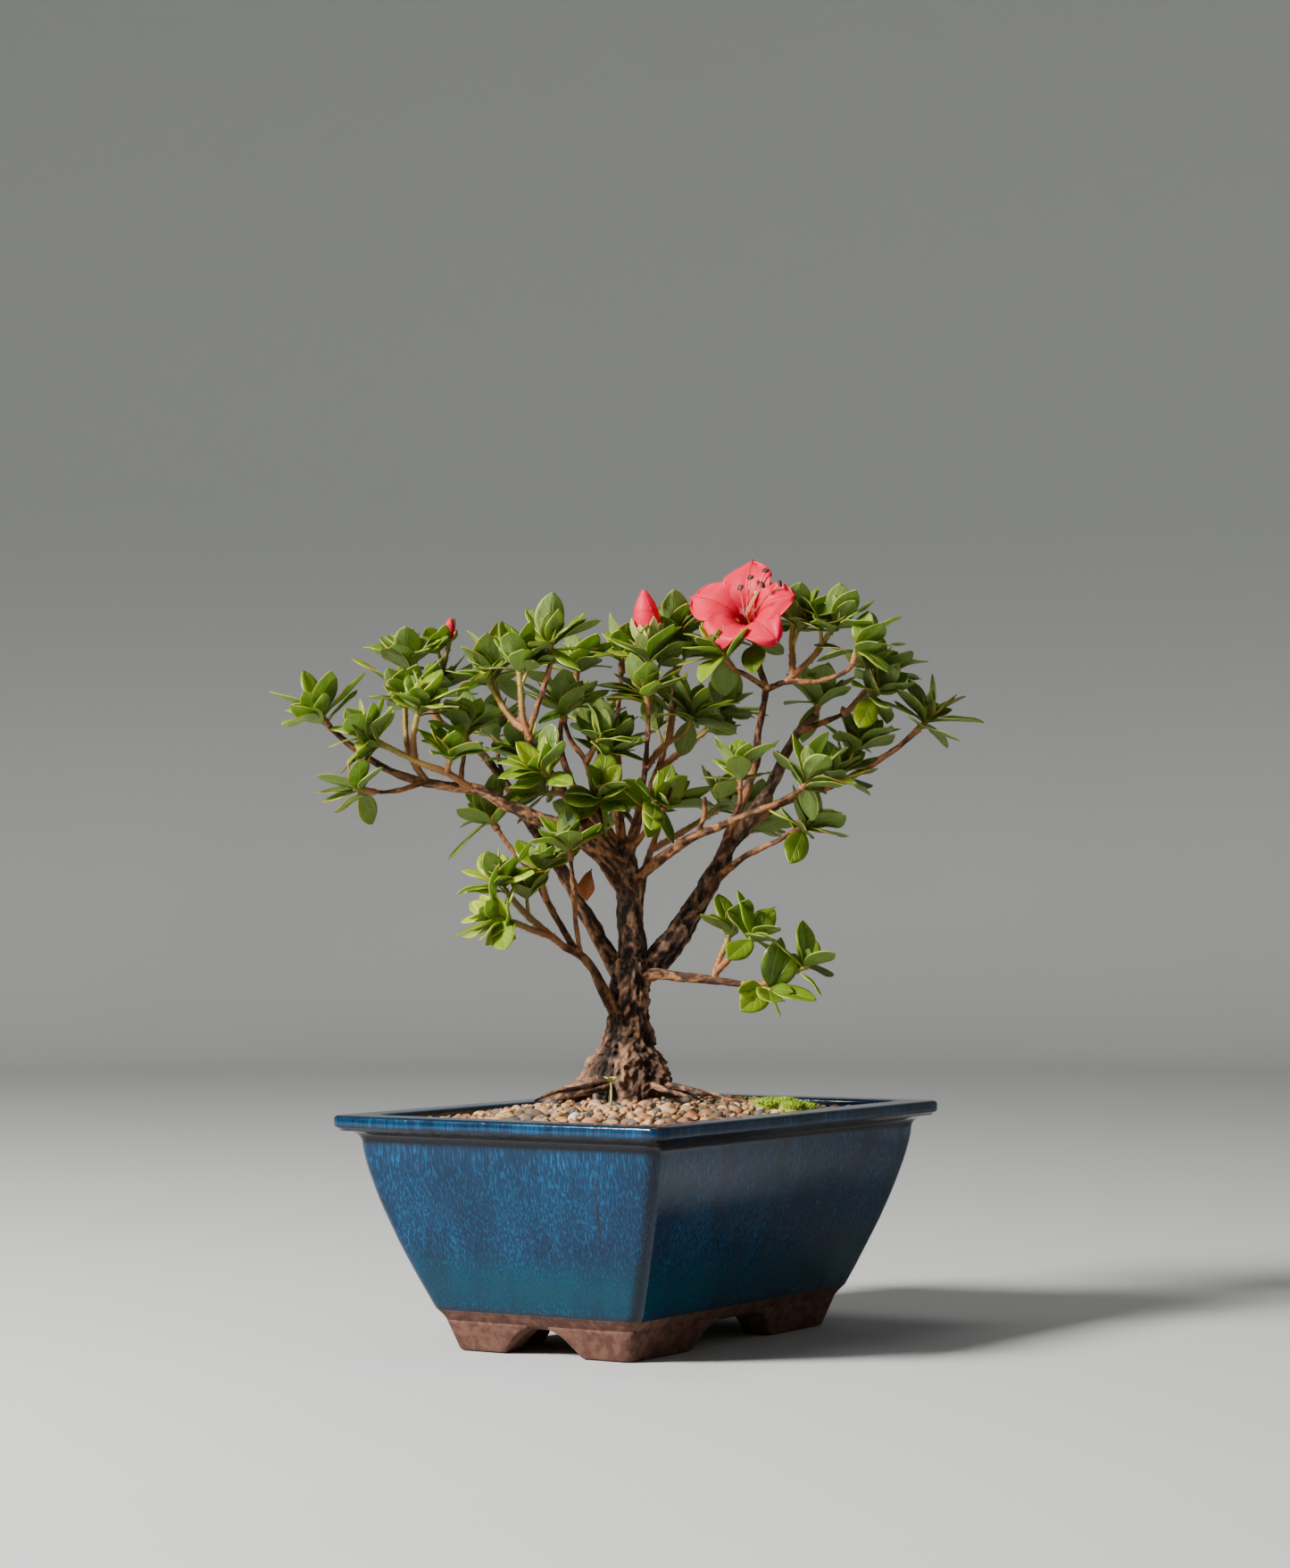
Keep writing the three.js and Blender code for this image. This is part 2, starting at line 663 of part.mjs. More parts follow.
// A rectangle with rounded corners, counter-clockwise, at one height.
function roundedRing(halfX, halfY, radius, z) {
  const ring = [];
  const corners = [
    [1, 1],
    [-1, 1],
    [-1, -1],
    [1, -1],
  ];
  corners.forEach(([sx, sy], corner) => {
    for (let i = 0; i <= CORNER_STEPS; i++) {
      const angle = ((corner + i / CORNER_STEPS) * Math.PI) / 2;
      const x = sx * (halfX - radius) + radius * Math.cos(angle);
      const y = sy * (halfY - radius) + radius * Math.sin(angle);
      ring.push(new THREE.Vector3(x, y, z));
    }
  });
  return ring;
}

// The same sequence of numbers from 0 to 1 for the same seed.
function makeRandom(seed) {
  let state = seed;
  return () => {
    state = (state * 16807) % 2147483647;
    return state / 2147483647;
  };
}

// ---- Materials ----------------------------------------------------------

const finish = (color, roughness) => new THREE.MeshStandardMaterial({ color, roughness, metalness: 0 });
const glaze = finish(0x1d3f7a, 0.15);
const plastic = finish(0x222222, 0.6);
const wire = new THREE.MeshStandardMaterial({ color: 0x9a9a98, roughness: 0.4, metalness: 1 });
const soilFinish = finish(0x3a2c22, 1);
const gravelFinish = finish(0xb49a7c, 0.8);
const bark = finish(0x5a4434, 0.9);
const foliage = finish(0x3f5f2c, 0.45);
const petal = finish(0xe0563f, 0.5);
const filament = finish(0xf0a08a, 0.5);
const paleGreen = finish(0xa9b65a, 0.5);
const budScale = finish(0x9aa83c, 0.5);
const mossFinish = finish(0x5f7a25, 1);

const bonsai = new THREE.Group();

// Adds a solid to a group as a named mesh.
function addPiece(group, name, solid, material) {
  const mesh = new THREE.Mesh(toGeometry(solid), material);
  mesh.name = name;
  group.add(mesh);
  return mesh;
}

// ---- Pot ----------------------------------------------------------------

const glazeLine = FOOT_HEIGHT + BAND_HEIGHT;
const neckHeight = POT_HEIGHT - LIP_HEIGHT - LIP_COVE;
const floorTop = FOOT_HEIGHT - 1.5 + POT_FLOOR;
const footBottomInset = BASE_INSET + FOOT_INSET + FOOT_SPLAY;

// The glazed wall's inset from the lip's edge at a height.
function wallInset(z) {
  const t = THREE.MathUtils.clamp((z - glazeLine) / (neckHeight - glazeLine), 0, 1);
  return NECK_INSET + (BASE_INSET - NECK_INSET) * Math.pow(1 - t, WALL_CURVE);
}

function potRing(inset, z, corner = BODY_CORNER) {
  return roundedRing(POT_LENGTH / 2 - inset, POT_WIDTH / 2 - inset, corner, z);
}

// The space inside the pot, from its floor to a height, less a gap all round.
function potInterior(gap, top, topCorner = BODY_CORNER) {
  const rings = [potRing(BASE_INSET + POT_WALL + gap + 1, floorTop + gap, BODY_CORNER / 2)];
  for (let i = 0; i <= WALL_STEPS; i++) {
    const z = Math.min(glazeLine + 3 + ((neckHeight - glazeLine - 3) * i) / WALL_STEPS, top);
    if (z <= rings[rings.length - 1][0].z) continue;
    rings.push(potRing(wallInset(z) + POT_WALL + gap, z));
  }
  if (top > neckHeight) rings.push(potRing(NECK_INSET + POT_WALL + gap, top, topCorner));
  return rings;
}

function makePot() {
  const rings = [
    potRing(footBottomInset, 0, BODY_CORNER - 2),
    potRing(BASE_INSET + FOOT_INSET, FOOT_HEIGHT, BODY_CORNER - 1),
    potRing(BASE_INSET + 1.5, glazeLine - 1.5),
  ];
  for (let i = 0; i <= WALL_STEPS; i++) {
    const z = glazeLine + ((neckHeight - glazeLine) * i) / WALL_STEPS;
    rings.push(potRing(wallInset(z), z));
  }
  const lipUnder = POT_HEIGHT - LIP_HEIGHT;
  rings.push(potRing(NECK_INSET - 2.5, neckHeight + LIP_COVE * 0.6, BODY_CORNER + 1));
  rings.push(potRing(1.2, lipUnder - 0.8, LIP_CORNER));
  rings.push(potRing(0, lipUnder + 0.6, LIP_CORNER));
  rings.push(potRing(0, POT_HEIGHT - 1.4, LIP_CORNER));
  rings.push(potRing(1.3, POT_HEIGHT, LIP_CORNER));
  rings.push(potRing(NECK_INSET + POT_WALL - 1.2, POT_HEIGHT, BODY_CORNER));
  const inside = potInterior(0, POT_HEIGHT - 1.4).reverse();
  let pot = toSolid(loft([...rings, ...inside]));

  // Arches between the feet, and the hollow that makes each foot an angle.
  const arch = (top, bottom, reach) => {
    const outline = new THREE.Shape([
      new THREE.Vector2(-bottom / 2, -1),
      new THREE.Vector2(bottom / 2, -1),
      new THREE.Vector2(bottom / 2, 0),
      new THREE.Vector2(top / 2, FOOT_HEIGHT - 1.5),
      new THREE.Vector2(-top / 2, FOOT_HEIGHT - 1.5),
      new THREE.Vector2(-bottom / 2, 0),
    ]);
    const tunnel = new THREE.ExtrudeGeometry(outline, { depth: reach, bevelEnabled: false });
    return tunnel.translate(0, 0, -reach / 2).rotateX(Math.PI / 2);
  };
  pot = pot.subtract(toSolid(arch(SIDE_ARCH_TOP, SIDE_ARCH_BOTTOM, POT_WIDTH)));
  pot = pot.subtract(toSolid(arch(END_ARCH_TOP, END_ARCH_BOTTOM, POT_LENGTH).rotateZ(Math.PI / 2)));
  const hollowInset = footBottomInset + FOOT_THICKNESS;
  const hollow = loft([potRing(hollowInset, -1, 2), potRing(hollowInset, FOOT_HEIGHT - 1.5, 2)]);
  pot = pot.subtract(toSolid(hollow));

  // Drain holes
  for (const side of [-1, 1]) {
    const hole = new THREE.CylinderGeometry(DRAIN_DIAMETER / 2, DRAIN_DIAMETER / 2, 4 * POT_FLOOR, 20);
    hole.rotateX(Math.PI / 2).translate((side * DRAIN_SPACING) / 2, 0, floorTop);
    pot = pot.subtract(toSolid(hole));
  }
  return pot;
}

const pot = makePot();
addPiece(bonsai, "pot", pot, glaze);

// ---- Drain screens and their wire clips ---------------------------------

const screenBottom = floorTop + CLEARANCE;
const screenPitch = DRAIN_DIAMETER / 2 - WIRE_DIAMETER / 2 - 2 * CLEARANCE;
const screenSize = SCREEN_CELLS * screenPitch + SCREEN_STRAND;

// A square net: strands with square openings between them.
function makeScreen(x) {
  const strands = [];
  for (let i = 0; i <= SCREEN_CELLS; i++) {
    const place = (i - SCREEN_CELLS / 2) * screenPitch;
    const along = new THREE.BoxGeometry(screenSize, SCREEN_STRAND, SCREEN_THICKNESS);
    strands.push(toSolid(along.translate(x, place, screenBottom + SCREEN_THICKNESS / 2)));
    const cross = new THREE.BoxGeometry(SCREEN_STRAND, screenSize, SCREEN_THICKNESS);
    strands.push(toSolid(cross.translate(x + place, 0, screenBottom + SCREEN_THICKNESS / 2)));
  }
  return join(strands);
}

// A staple of wire: over the net, down through the hole, and bent out below.
function makeClip() {
  const reach = screenPitch;
  const over = screenBottom + SCREEN_THICKNESS + CLEARANCE + WIRE_DIAMETER / 2;
  const below = FOOT_HEIGHT - 1.5 - CLEARANCE - WIRE_DIAMETER / 2;
  const bend = 1.5;
  const side = (s) => [
    new THREE.Vector3(s * (reach - bend), 0, over),
    new THREE.Vector3(s * reach, 0, over - bend),
    new THREE.Vector3(s * reach, 0, below + bend),
    new THREE.Vector3(s * (reach + bend), 0, below),
    new THREE.Vector3(s * (reach + WIRE_TAIL), 0, below - 1),
  ];
  const points = [...side(-1).reverse(), ...side(1)];
  return tube(points, () => WIRE_DIAMETER / 2, 5, 22);
}

const screens = [];
for (const [side, name] of [[-1, "left"], [1, "right"]]) {
  const x = (side * DRAIN_SPACING) / 2;
  addPiece(bonsai, `drain_screen_${name}`, makeScreen(x), plastic);
  const clip = toSolid(makeClip().translate(x, 0, 0));
  addPiece(bonsai, `screen_clip_${name}`, clip, wire);
  screens.push(x);
}

// ---- Trunk, roots and branches ------------------------------------------

const tree = new THREE.Group();
tree.rotation.z = TREE_TURN;
tree.position.z = POT_HEIGHT;
bonsai.add(tree);
bonsai.updateMatrixWorld(true);

// A hand-laid point in the tree's own frame, which starts at the rim.
const shapeScale = TREE_HEIGHT / SHAPE_HEIGHT;
function treePoint([x, y, z]) {
  return new THREE.Vector3(x, y, z - SHAPE_RIM).multiplyScalar(shapeScale);
}

const trunkScale = TRUNK_THICKNESS / 15;

// All the wood as one solid; swell adds to every radius.
function growWood(swell) {
  const trunkPoints = TRUNK.map(treePoint);
  const trunkRadii = TRUNK.map((p) => p[3] * trunkScale + swell);
  const east = new THREE.Vector3(1, 0, 0);
  const north = new THREE.Vector3(0, 1, 0);
  const rings = trunkPoints.map((p, i) => {
    const flare = THREE.MathUtils.clamp((trunkRadii[i] - 9) / 60, 0, 0.15);
    return circle(p, east, north, trunkRadii[i], 12, 5, flare);
  });
  const parts = [toSolid(loft(rings))];
  for (const [start, end, ...points] of [...ROOTS, ...LIMBS]) {
    const path = points.map(treePoint);
    const sides = start > 3 ? 7 : start > 1.7 ? 5 : 4;
    const radiusAt = (t) => start + (end - start) * Math.pow(t, LIMB_TAPER) + swell;
    parts.push(toSolid(tube(path, radiusAt, sides, points.length - 1)));
  }
  return join(parts);
}

const wood = growWood(0);
const woodRoom = growWood(CLEARANCE);
addPiece(tree, "trunk_and_branches", wood, bark);
const woodRoomInPot = woodRoom.transform(tree.matrixWorld.elements);

// ---- Soil, gravel, moss and seedling ------------------------------------

const soilTop = POT_HEIGHT - SOIL_DEPTH;
let soil = toSolid(loft(potInterior(CLEARANCE, soilTop))).subtract(woodRoomInPot);
for (const x of screens) {
  const size = screenSize + 2 * CLEARANCE;
  const height = screenBottom + SCREEN_THICKNESS + WIRE_DIAMETER + 3 * CLEARANCE - floorTop;
  const room = new THREE.BoxGeometry(size, size, 2 * height).translate(x, 0, floorTop);
  soil = soil.subtract(toSolid(room));
}
addPiece(bonsai, "potting_soil", soil, soilFinish);

// The gravel's height over a point, rising from the wall to the trunk.
function gravelHeight(x, y) {
  const halfX = POT_LENGTH / 2 - NECK_INSET - POT_WALL;
  const halfY = POT_WIDTH / 2 - NECK_INSET - POT_WALL;
  const away = Math.min(1, Math.hypot(x / halfX, y / halfY));
  const bump = GRAVEL_BUMP * Math.sin(x * 0.55 + 1.3 * Math.sin(y * 0.4)) * Math.cos(y * 0.6);
  return POT_HEIGHT - GRAVEL_EDGE + GRAVEL_MOUND * Math.pow(1 - away, 0.8) + bump;
}

function makeGravel() {
  const inset = NECK_INSET + POT_WALL + CLEARANCE;
  const ringSteps = 9;
  const rings = [];
  const floorRing = potRing(inset, soilTop + CLEARANCE);
  rings.push(floorRing);
  for (let r = 0; r <= ringSteps; r++) {
    const share = 1 - 0.93 * (r / ringSteps);
    rings.push(
      floorRing.map((p) => {
        const x = p.x * share;
        const y = p.y * share;
        return new THREE.Vector3(x, y, gravelHeight(x, y));
      }),
    );
  }
  return toSolid(loft(rings));
}

const gravelBed = makeGravel();
addPiece(bonsai, "gravel_top_dressing", largestPiece(gravelBed.subtract(woodRoomInPot)), gravelFinish);
const gravelRoom = gravelBed.translate([0, 0, CLEARANCE]);

// A low cushion of moss behind and to the right of the trunk.
const mossPlace = new THREE.Vector3(56, 10, 0).applyEuler(tree.rotation);
const mossBase = gravelHeight(mossPlace.x, mossPlace.y);
const moss = new THREE.SphereGeometry(1, 14, 8);
moss.scale(MOSS_LENGTH / 2, MOSS_LENGTH / 3, MOSS_HEIGHT + 2);
moss.translate(mossPlace.x, mossPlace.y, mossBase - 2);
addPiece(bonsai, "moss_patch", largestPiece(toSolid(moss).subtract(gravelRoom)), mossFinish);

// A seedling with two seed leaves, rooted in the gravel's surface.
function makeSeedling() {
  const place = new THREE.Vector3(-14, -26, 0).applyEuler(tree.rotation);
  const base = gravelHeight(place.x, place.y);
  const foot = new THREE.Vector3(place.x, place.y, base - 2);
  const top = new THREE.Vector3(place.x + 1, place.y + 0.6, base + SEEDLING_HEIGHT);
  const parts = [toSolid(tube([foot, foot.clone().lerp(top, 0.5), top], () => 0.5, 6, 3))];
  const node = foot.clone().lerp(top, 0.9);
  for (const side of [-1, 1]) {
    const tip = new THREE.Vector3(side * 4.5, side * 1.5, 2).add(node);
    parts.push(leafSolid(node, tip, new THREE.Vector3(0, 0, 1), 3.2, 0.7, 0.4));
  }
  return largestPiece(join(parts).subtract(gravelRoom));
}

// ---- Leaves -------------------------------------------------------------

// Outline of a leaf: how far along it and what share of its half width.
const LEAF_OUTLINE = [
  [0.42, 0.94],
  [0.78, 0.84],
];

// A leaf as a thin lens between base and tip; up is the side its top faces.
function leafSolid(base, tip, up, width, thickness, droop) {
  const along = new THREE.Vector3().subVectors(tip, base);
  const side = new THREE.Vector3().crossVectors(along, up).normalize();
  const top = new THREE.Vector3().crossVectors(side, along).normalize();
  const at = (t, s) =>
    base
      .clone()
      .addScaledVector(along, t)
      .addScaledVector(side, (s * width) / 2)
      .addScaledVector(top, droop * (t - t * t) * 4 * 0.5);
  const rim = [at(0, 0)];
  LEAF_OUTLINE.forEach(([t, s]) => rim.push(at(t, s)));
  rim.push(at(1, 0));
  [...LEAF_OUTLINE].reverse().forEach(([t, s]) => rim.push(at(t, -s)));
  const middle = at(0.55, 0);
  const upper = middle.clone().addScaledVector(top, thickness / 2);
  const lower = middle.clone().addScaledVector(top, -thickness / 2);
  const points = [...rim, upper, lower];
  const positions = points.flatMap((p) => [p.x, p.y, p.z]);
  const index = [];
  rim.forEach((_, i) => {
    const next = (i + 1) % rim.length;
    index.push(rim.length, i, next, rim.length + 1, next, i);
  });
  const geometry = new THREE.BufferGeometry();
  geometry.setAttribute("position", new THREE.Float32BufferAttribute(positions, 3));
  geometry.setIndex(index);
  return toSolid(geometry);
}

// The ways that a leaf may turn aside to find room: a turn about the upright,
// a lift, and a share of its length.
const TURNS = [
  [0, 0, 1],
  [0.25, 0.1, 1],
  [-0.25, 0.1, 1],
  [0.15, 0.45, 1],
  [-0.15, 0.45, 1],
  [0.5, -0.2, 0.95],
  [-0.5, -0.2, 0.95],
  [0.8, 0.3, 0.9],
  [-0.8, 0.3, 0.9],
  [0, 0.8, 0.85],
  [1.3, 0.2, 0.85],
  [-1.3, 0.2, 0.85],
];

const upright = new THREE.Vector3(0, 0, 1);
const boxesMeet = (a, b) => [0, 1, 2].every((k) => a.min[k] < b.max[k] && b.min[k] < a.max[k]);

// Everything in the tree that a leaf must miss: a solid, its box and its shoot.
const obstacles = [];
function addObstacle(solid, shoot) {
  obstacles.push({ solid, box: solid.boundingBox(), shoot });
}

function hasRoom(solid, shoot) {
  const box = solid.boundingBox();
  return !obstacles.some(
    (o) => o.shoot !== shoot && boxesMeet(box, o.box) && o.solid.intersect(solid).volume() > 0,
  );
}

// One leaf of a shoot, turned aside where it would meet another shoot.
function growLeaf(shoot, base, reach, axis) {
  for (const [turn, lift, share] of TURNS) {
    const aim = reach.clone().multiplyScalar(share).applyAxisAngle(upright, turn);
    const hinge = new THREE.Vector3().crossVectors(aim, upright).normalize();
    aim.applyAxisAngle(hinge, lift);
    const up = axis.clone().addScaledVector(upright, 0.6);
    const width = LEAF_WIDTH * THREE.MathUtils.clamp(aim.length() / LEAF_LENGTH, 0.6, 1.15);
    const tip = base.clone().add(aim);
    const past = base.clone().addScaledVector(aim, 1 + LEAF_SPACING / 2 / aim.length());
    const room = leafSolid(base, past, up, width + LEAF_SPACING, LEAF_THICKNESS + LEAF_SPACING, LEAF_DROOP);
    if (hasRoom(room, shoot)) {
      addObstacle(room, shoot);
      return leafSolid(base, tip, up, width, LEAF_THICKNESS, LEAF_DROOP);
    }
  }
  return null;
}

// A tuft: the leaves that are placed, then more round the stem by the golden
// angle, each a little shorter towards the shoot's tip.
function growTuft(shoot, tuft, axis, random) {
  const centre = treePoint(tuft.at);
  const leaves = [];
  tuft.tips.forEach(([x, z], i) => {
    const reach = treePoint([x, tuft.at[1], z]).sub(centre);
    const flat = reach.length();
    const full = LEAF_LENGTH * (0.92 + 0.16 * random());
    const depth = Math.sqrt(Math.max(full * full - flat * flat, 4));
    reach.y = (i % 2 ? 0.8 : -1) * depth;
    leaves.push(growLeaf(shoot, centre, reach, axis));
  });
  const [u, v] = across(axis);
  for (let i = 0; i < tuft.fill; i++) {
    const angle = 1.2 + i * 2.39996 + 0.4 * random();
    const slope = 1.25 - 0.5 * random();
    const length = LEAF_LENGTH * (0.8 + 0.25 * random());
    const reach = axis
      .clone()
      .multiplyScalar(Math.cos(slope))
      .addScaledVector(u, Math.sin(slope) * Math.cos(angle))
      .addScaledVector(v, Math.sin(slope) * Math.sin(angle));
    leaves.push(growLeaf(shoot, centre, reach.multiplyScalar(length), axis));
  }
  return leaves.filter((leaf) => leaf);
}

// The points of a stem, drawn out past its hand-laid end.
function stemPoints(stem) {
  const points = stem.map(treePoint);
  const [before, last] = points.slice(-2);
  last.addScaledVector(last.clone().sub(before).normalize(), SHOOT_TIP);
  return points;
}

// A shoot's stems, thinner towards their ends, with a swollen place at each
// tuft; swell adds to every radius.
function growStems(shoot, swell) {
  const radiusAt = (t) => (SHOOT_DIAMETER / 2) * (1.2 - 0.4 * t) + swell;
  const stems = shoot.stems.map((stem) => toSolid(tube(stemPoints(stem), radiusAt, 4, stem.length - 1)));
  const nodes = shoot.tufts.map(({ at }) => {
    const knob = new THREE.OctahedronGeometry(NODE_DIAMETER / 2 + swell);
    return toSolid(knob.translate(...treePoint(at).toArray()));
  });
  return join([...stems, ...nodes]);
}

// The end of a shoot's stem and the way that it points there.
function stemEnd(shootName, stemNumber) {
  const shoot = SHOOTS.find(({ name }) => name === shootName);
  const [before, last] = stemPoints(shoot.stems[stemNumber]).slice(-2);
  return { end: last, direction: last.clone().sub(before).normalize() };
}

// A short stalk from just past a shoot's stem to a seat that faces an axis.
function makeStalk(shootName, stemNumber, seat, axis) {
  const { end, direction } = stemEnd(shootName, stemNumber);
  const start = end.clone().addScaledVector(direction, CLEARANCE + 0.1);
  const neck = seat.clone().addScaledVector(axis, -0.8);
  return toSolid(tube([start, neck, seat], (t) => 0.8 + 0.8 * t, 8, 4));
}

// ---- Flower and buds ----------------------------------------------------

// A cup of petals joined at the base, open at the end: radii and distances
// along the axis outside, then back down inside.
function petalCup(base, axis, profile, lobes, lobeDepth, sides) {
  const [u, v] = across(axis);
  const rings = profile.map(([radius, distance, lobed]) =>
    circle(base.clone().addScaledVector(axis, distance), u, v, radius, sides, lobes, lobeDepth * lobed),
  );
  return toSolid(loft(rings));
}

const flowerBase = treePoint(FLOWER_AT);
const flowerAxis = new THREE.Vector3(...FLOWER_AXIS).normalize();
const flowerRadius = FLOWER_DIAMETER / 2;

function makeCorolla() {
  const wall = PETAL_THICKNESS;
  const outside = [
    [FLOWER_TUBE, 0, 0],
    [flowerRadius * 0.26, FLOWER_DEPTH * 0.34, 0.1],
    [flowerRadius * 0.66, FLOWER_DEPTH * 0.68, 0.6],
    [flowerRadius * 0.9, FLOWER_DEPTH * 0.8, 1],
  ];
  const inside = outside.map(([radius, distance, lobed]) => [radius - wall, distance + wall, lobed]);
  return petalCup(flowerBase, flowerAxis, [...outside, ...inside.reverse()], 5, 0.12, 20);
}

// Five threads from one small base, each with an anther at its end.
function makeStamens() {
  const [u, v] = across(flowerAxis);
  const start = flowerBase.clone().addScaledVector(flowerAxis, PETAL_THICKNESS + CLEARANCE);
  const parts = [];
  for (let i = 0; i < 5; i++) {
    const angle = (i / 5) * 2 * Math.PI + 0.5;
    const spread = new THREE.Vector3()
      .addScaledVector(u, Math.cos(angle))
      .addScaledVector(v, Math.sin(angle));
    const along = (share, out) =>
      start.clone().addScaledVector(flowerAxis, STAMEN_LENGTH * share).addScaledVector(spread, out);
    const points = [along(0.02, 0.9), along(0.5, 1.6), along(1, 6)];
    parts.push(toSolid(tube(points, () => FILAMENT_DIAMETER / 2, 4, 3)));
    const anther = new THREE.SphereGeometry(1.1, 5, 3).translate(points[2].x, points[2].y, points[2].z);
    parts.push(toSolid(anther));
  }
  const collar = [
    [FLOWER_TUBE - PETAL_THICKNESS - CLEARANCE, 0, 0],
    [FLOWER_TUBE - PETAL_THICKNESS - CLEARANCE, 1.2, 0],
    [0.8, 1.2, 0],
    [0.8, 0.5, 0],
  ];
  parts.push(petalCup(start, flowerAxis, collar, 5, 0, 10));
  return join(parts);
}

function makePistil() {
  const start = flowerBase.clone().addScaledVector(flowerAxis, PETAL_THICKNESS + 2 * CLEARANCE + 0.5);
  const end = start.clone().addScaledVector(flowerAxis, PISTIL_LENGTH).add(new THREE.Vector3(0, 0, 2));
  const middle = start.clone().lerp(end, 0.5).add(new THREE.Vector3(0, 0, -0.3));
  const style = toSolid(tube([start, middle, end], () => 0.35, 5, 4));
  const stigma = new THREE.SphereGeometry(1, 6, 4).translate(end.x, end.y, end.z);
  return style.add(toSolid(stigma));
}

// Five pointed sepals on a small cup that holds the flower.
function makeCalyx() {
  const [u, v] = across(flowerAxis);
  const seat = flowerBase.clone().addScaledVector(flowerAxis, -CLEARANCE);
  const parts = [makeStalk("flower_base", 0, seat, flowerAxis)];
  for (let i = 0; i < 5; i++) {
    const angle = (i / 5) * 2 * Math.PI;
    const out = new THREE.Vector3()
      .addScaledVector(u, Math.cos(angle))
      .addScaledVector(v, Math.sin(angle));
    const base = seat.clone().addScaledVector(flowerAxis, -0.8).addScaledVector(out, 0.6);
    const tip = base.clone().addScaledVector(out, 6).addScaledVector(flowerAxis, -0.5);
    parts.push(leafSolid(base, tip, flowerAxis, 3, 0.8, 0));
  }
  return join(parts);
}

// A pointed bud, its petals rolled into one closed body.
function makeBud(base, axis, length, diameter, sides) {
  const direction = new THREE.Vector3(...axis).normalize();
  const [u, v] = across(direction);
  const profile = [
    [0.12, 0],
    [0.34, 0.14],
    [0.5, 0.4],
    [0.42, 0.66],
    [0.2, 0.88],
    [0.04, 1],
  ];
  const rings = profile.map(([radius, distance]) =>
    circle(
      base.clone().addScaledVector(direction, distance * length),
      u,
      v,
      radius * diameter,
      sides,
      5,
      0.06,
    ),
  );
  return toSolid(loft(rings));
}

// The foot of the centre bud, past the end of its stem.
function budFoot() {
  const { end } = stemEnd("crown_centre", 1);
  return end.addScaledVector(new THREE.Vector3(...BUD_AXIS).normalize(), BUD_STALK);
}

// Pointed scales round the foot of the centre bud, on a short stalk.
function makeBudScales() {
  const direction = new THREE.Vector3(...BUD_AXIS).normalize();
  const [u, v] = across(direction);
  const base = budFoot().addScaledVector(direction, -CLEARANCE);
  const parts = [makeStalk("crown_centre", 1, base, direction)];
  for (let i = 0; i < 5; i++) {
    const angle = (i / 5) * 2 * Math.PI + 0.3;
    const out = new THREE.Vector3()
      .addScaledVector(u, Math.cos(angle))
      .addScaledVector(v, Math.sin(angle));
    const foot = base.clone().addScaledVector(direction, -0.6).addScaledVector(out, 0.8);
    const tip = foot.clone().addScaledVector(out, 6.2).addScaledVector(direction, 5.5);
    parts.push(leafSolid(foot, tip, out.clone().negate().add(direction), 4, 0.8, -1));
  }
  return join(parts);
}

const blossoms = [
  ["flower_corolla", makeCorolla(), petal],
  ["flower_stamens", makeStamens(), filament],
  ["flower_pistil", makePistil(), paleGreen],
  ["flower_calyx", makeCalyx(), paleGreen],
  ["centre_bud", makeBud(budFoot(), BUD_AXIS, BUD_LENGTH, BUD_DIAMETER, 12), petal],
  ["centre_bud_scales", makeBudScales(), budScale],
  [
    "left_bud",
    makeBud(treePoint(LEFT_BUD_AT), LEFT_BUD_AXIS, LEFT_BUD_LENGTH, LEFT_BUD_DIAMETER, 8),
    budScale,
  ],
];
blossoms.forEach(([name, solid, material]) => {
  addPiece(tree, name, solid, material);
  addObstacle(solid, name);
});

// ---- Shoots -------------------------------------------------------------

addObstacle(woodRoom, "wood");
SHOOTS.forEach((shoot) => addObstacle(growStems(shoot, LEAF_SPACING / 2), shoot.name));

SHOOTS.forEach((shoot, number) => {
  const random = makeRandom(1000 + 37 * number);
  const parts = [growStems(shoot, 0)];
  shoot.tufts.forEach((tuft, i) => {
    const stem = shoot.stems[Math.min(i, shoot.stems.length - 1)].map(treePoint);
    const axis = stem[stem.length - 1].clone().sub(stem[stem.length - 2]).normalize();
    axis.add(new THREE.Vector3(0, 0, 0.5)).normalize();
    parts.push(...growTuft(shoot.name, tuft, axis, random));
  });
  const solid = largestPiece(join(parts).subtract(woodRoom));
  addPiece(tree, `shoot_${shoot.name}`, solid, foliage);
});

addPiece(bonsai, "seedling", makeSeedling(), paleGreen);

// ---- Origin -------------------------------------------------------------

// The origin is under the middle of the whole, on the surface it stands on.
const group = new THREE.Group();
group.add(bonsai);
const middle = new THREE.Box3().setFromObject(bonsai).getCenter(new THREE.Vector3());
bonsai.position.set(-middle.x, -middle.y, 0);

export default group;
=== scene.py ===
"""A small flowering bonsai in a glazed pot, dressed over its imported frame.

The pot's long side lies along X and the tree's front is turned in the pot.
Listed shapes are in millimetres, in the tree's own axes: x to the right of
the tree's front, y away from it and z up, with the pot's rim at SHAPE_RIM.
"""

from __future__ import annotations

import logging
import math
import random
from dataclasses import dataclass, field
from enum import Enum
from itertools import product
from typing import Callable, Sequence

import bmesh
import bpy
import numpy as np
from mathutils import Matrix, Vector, kdtree

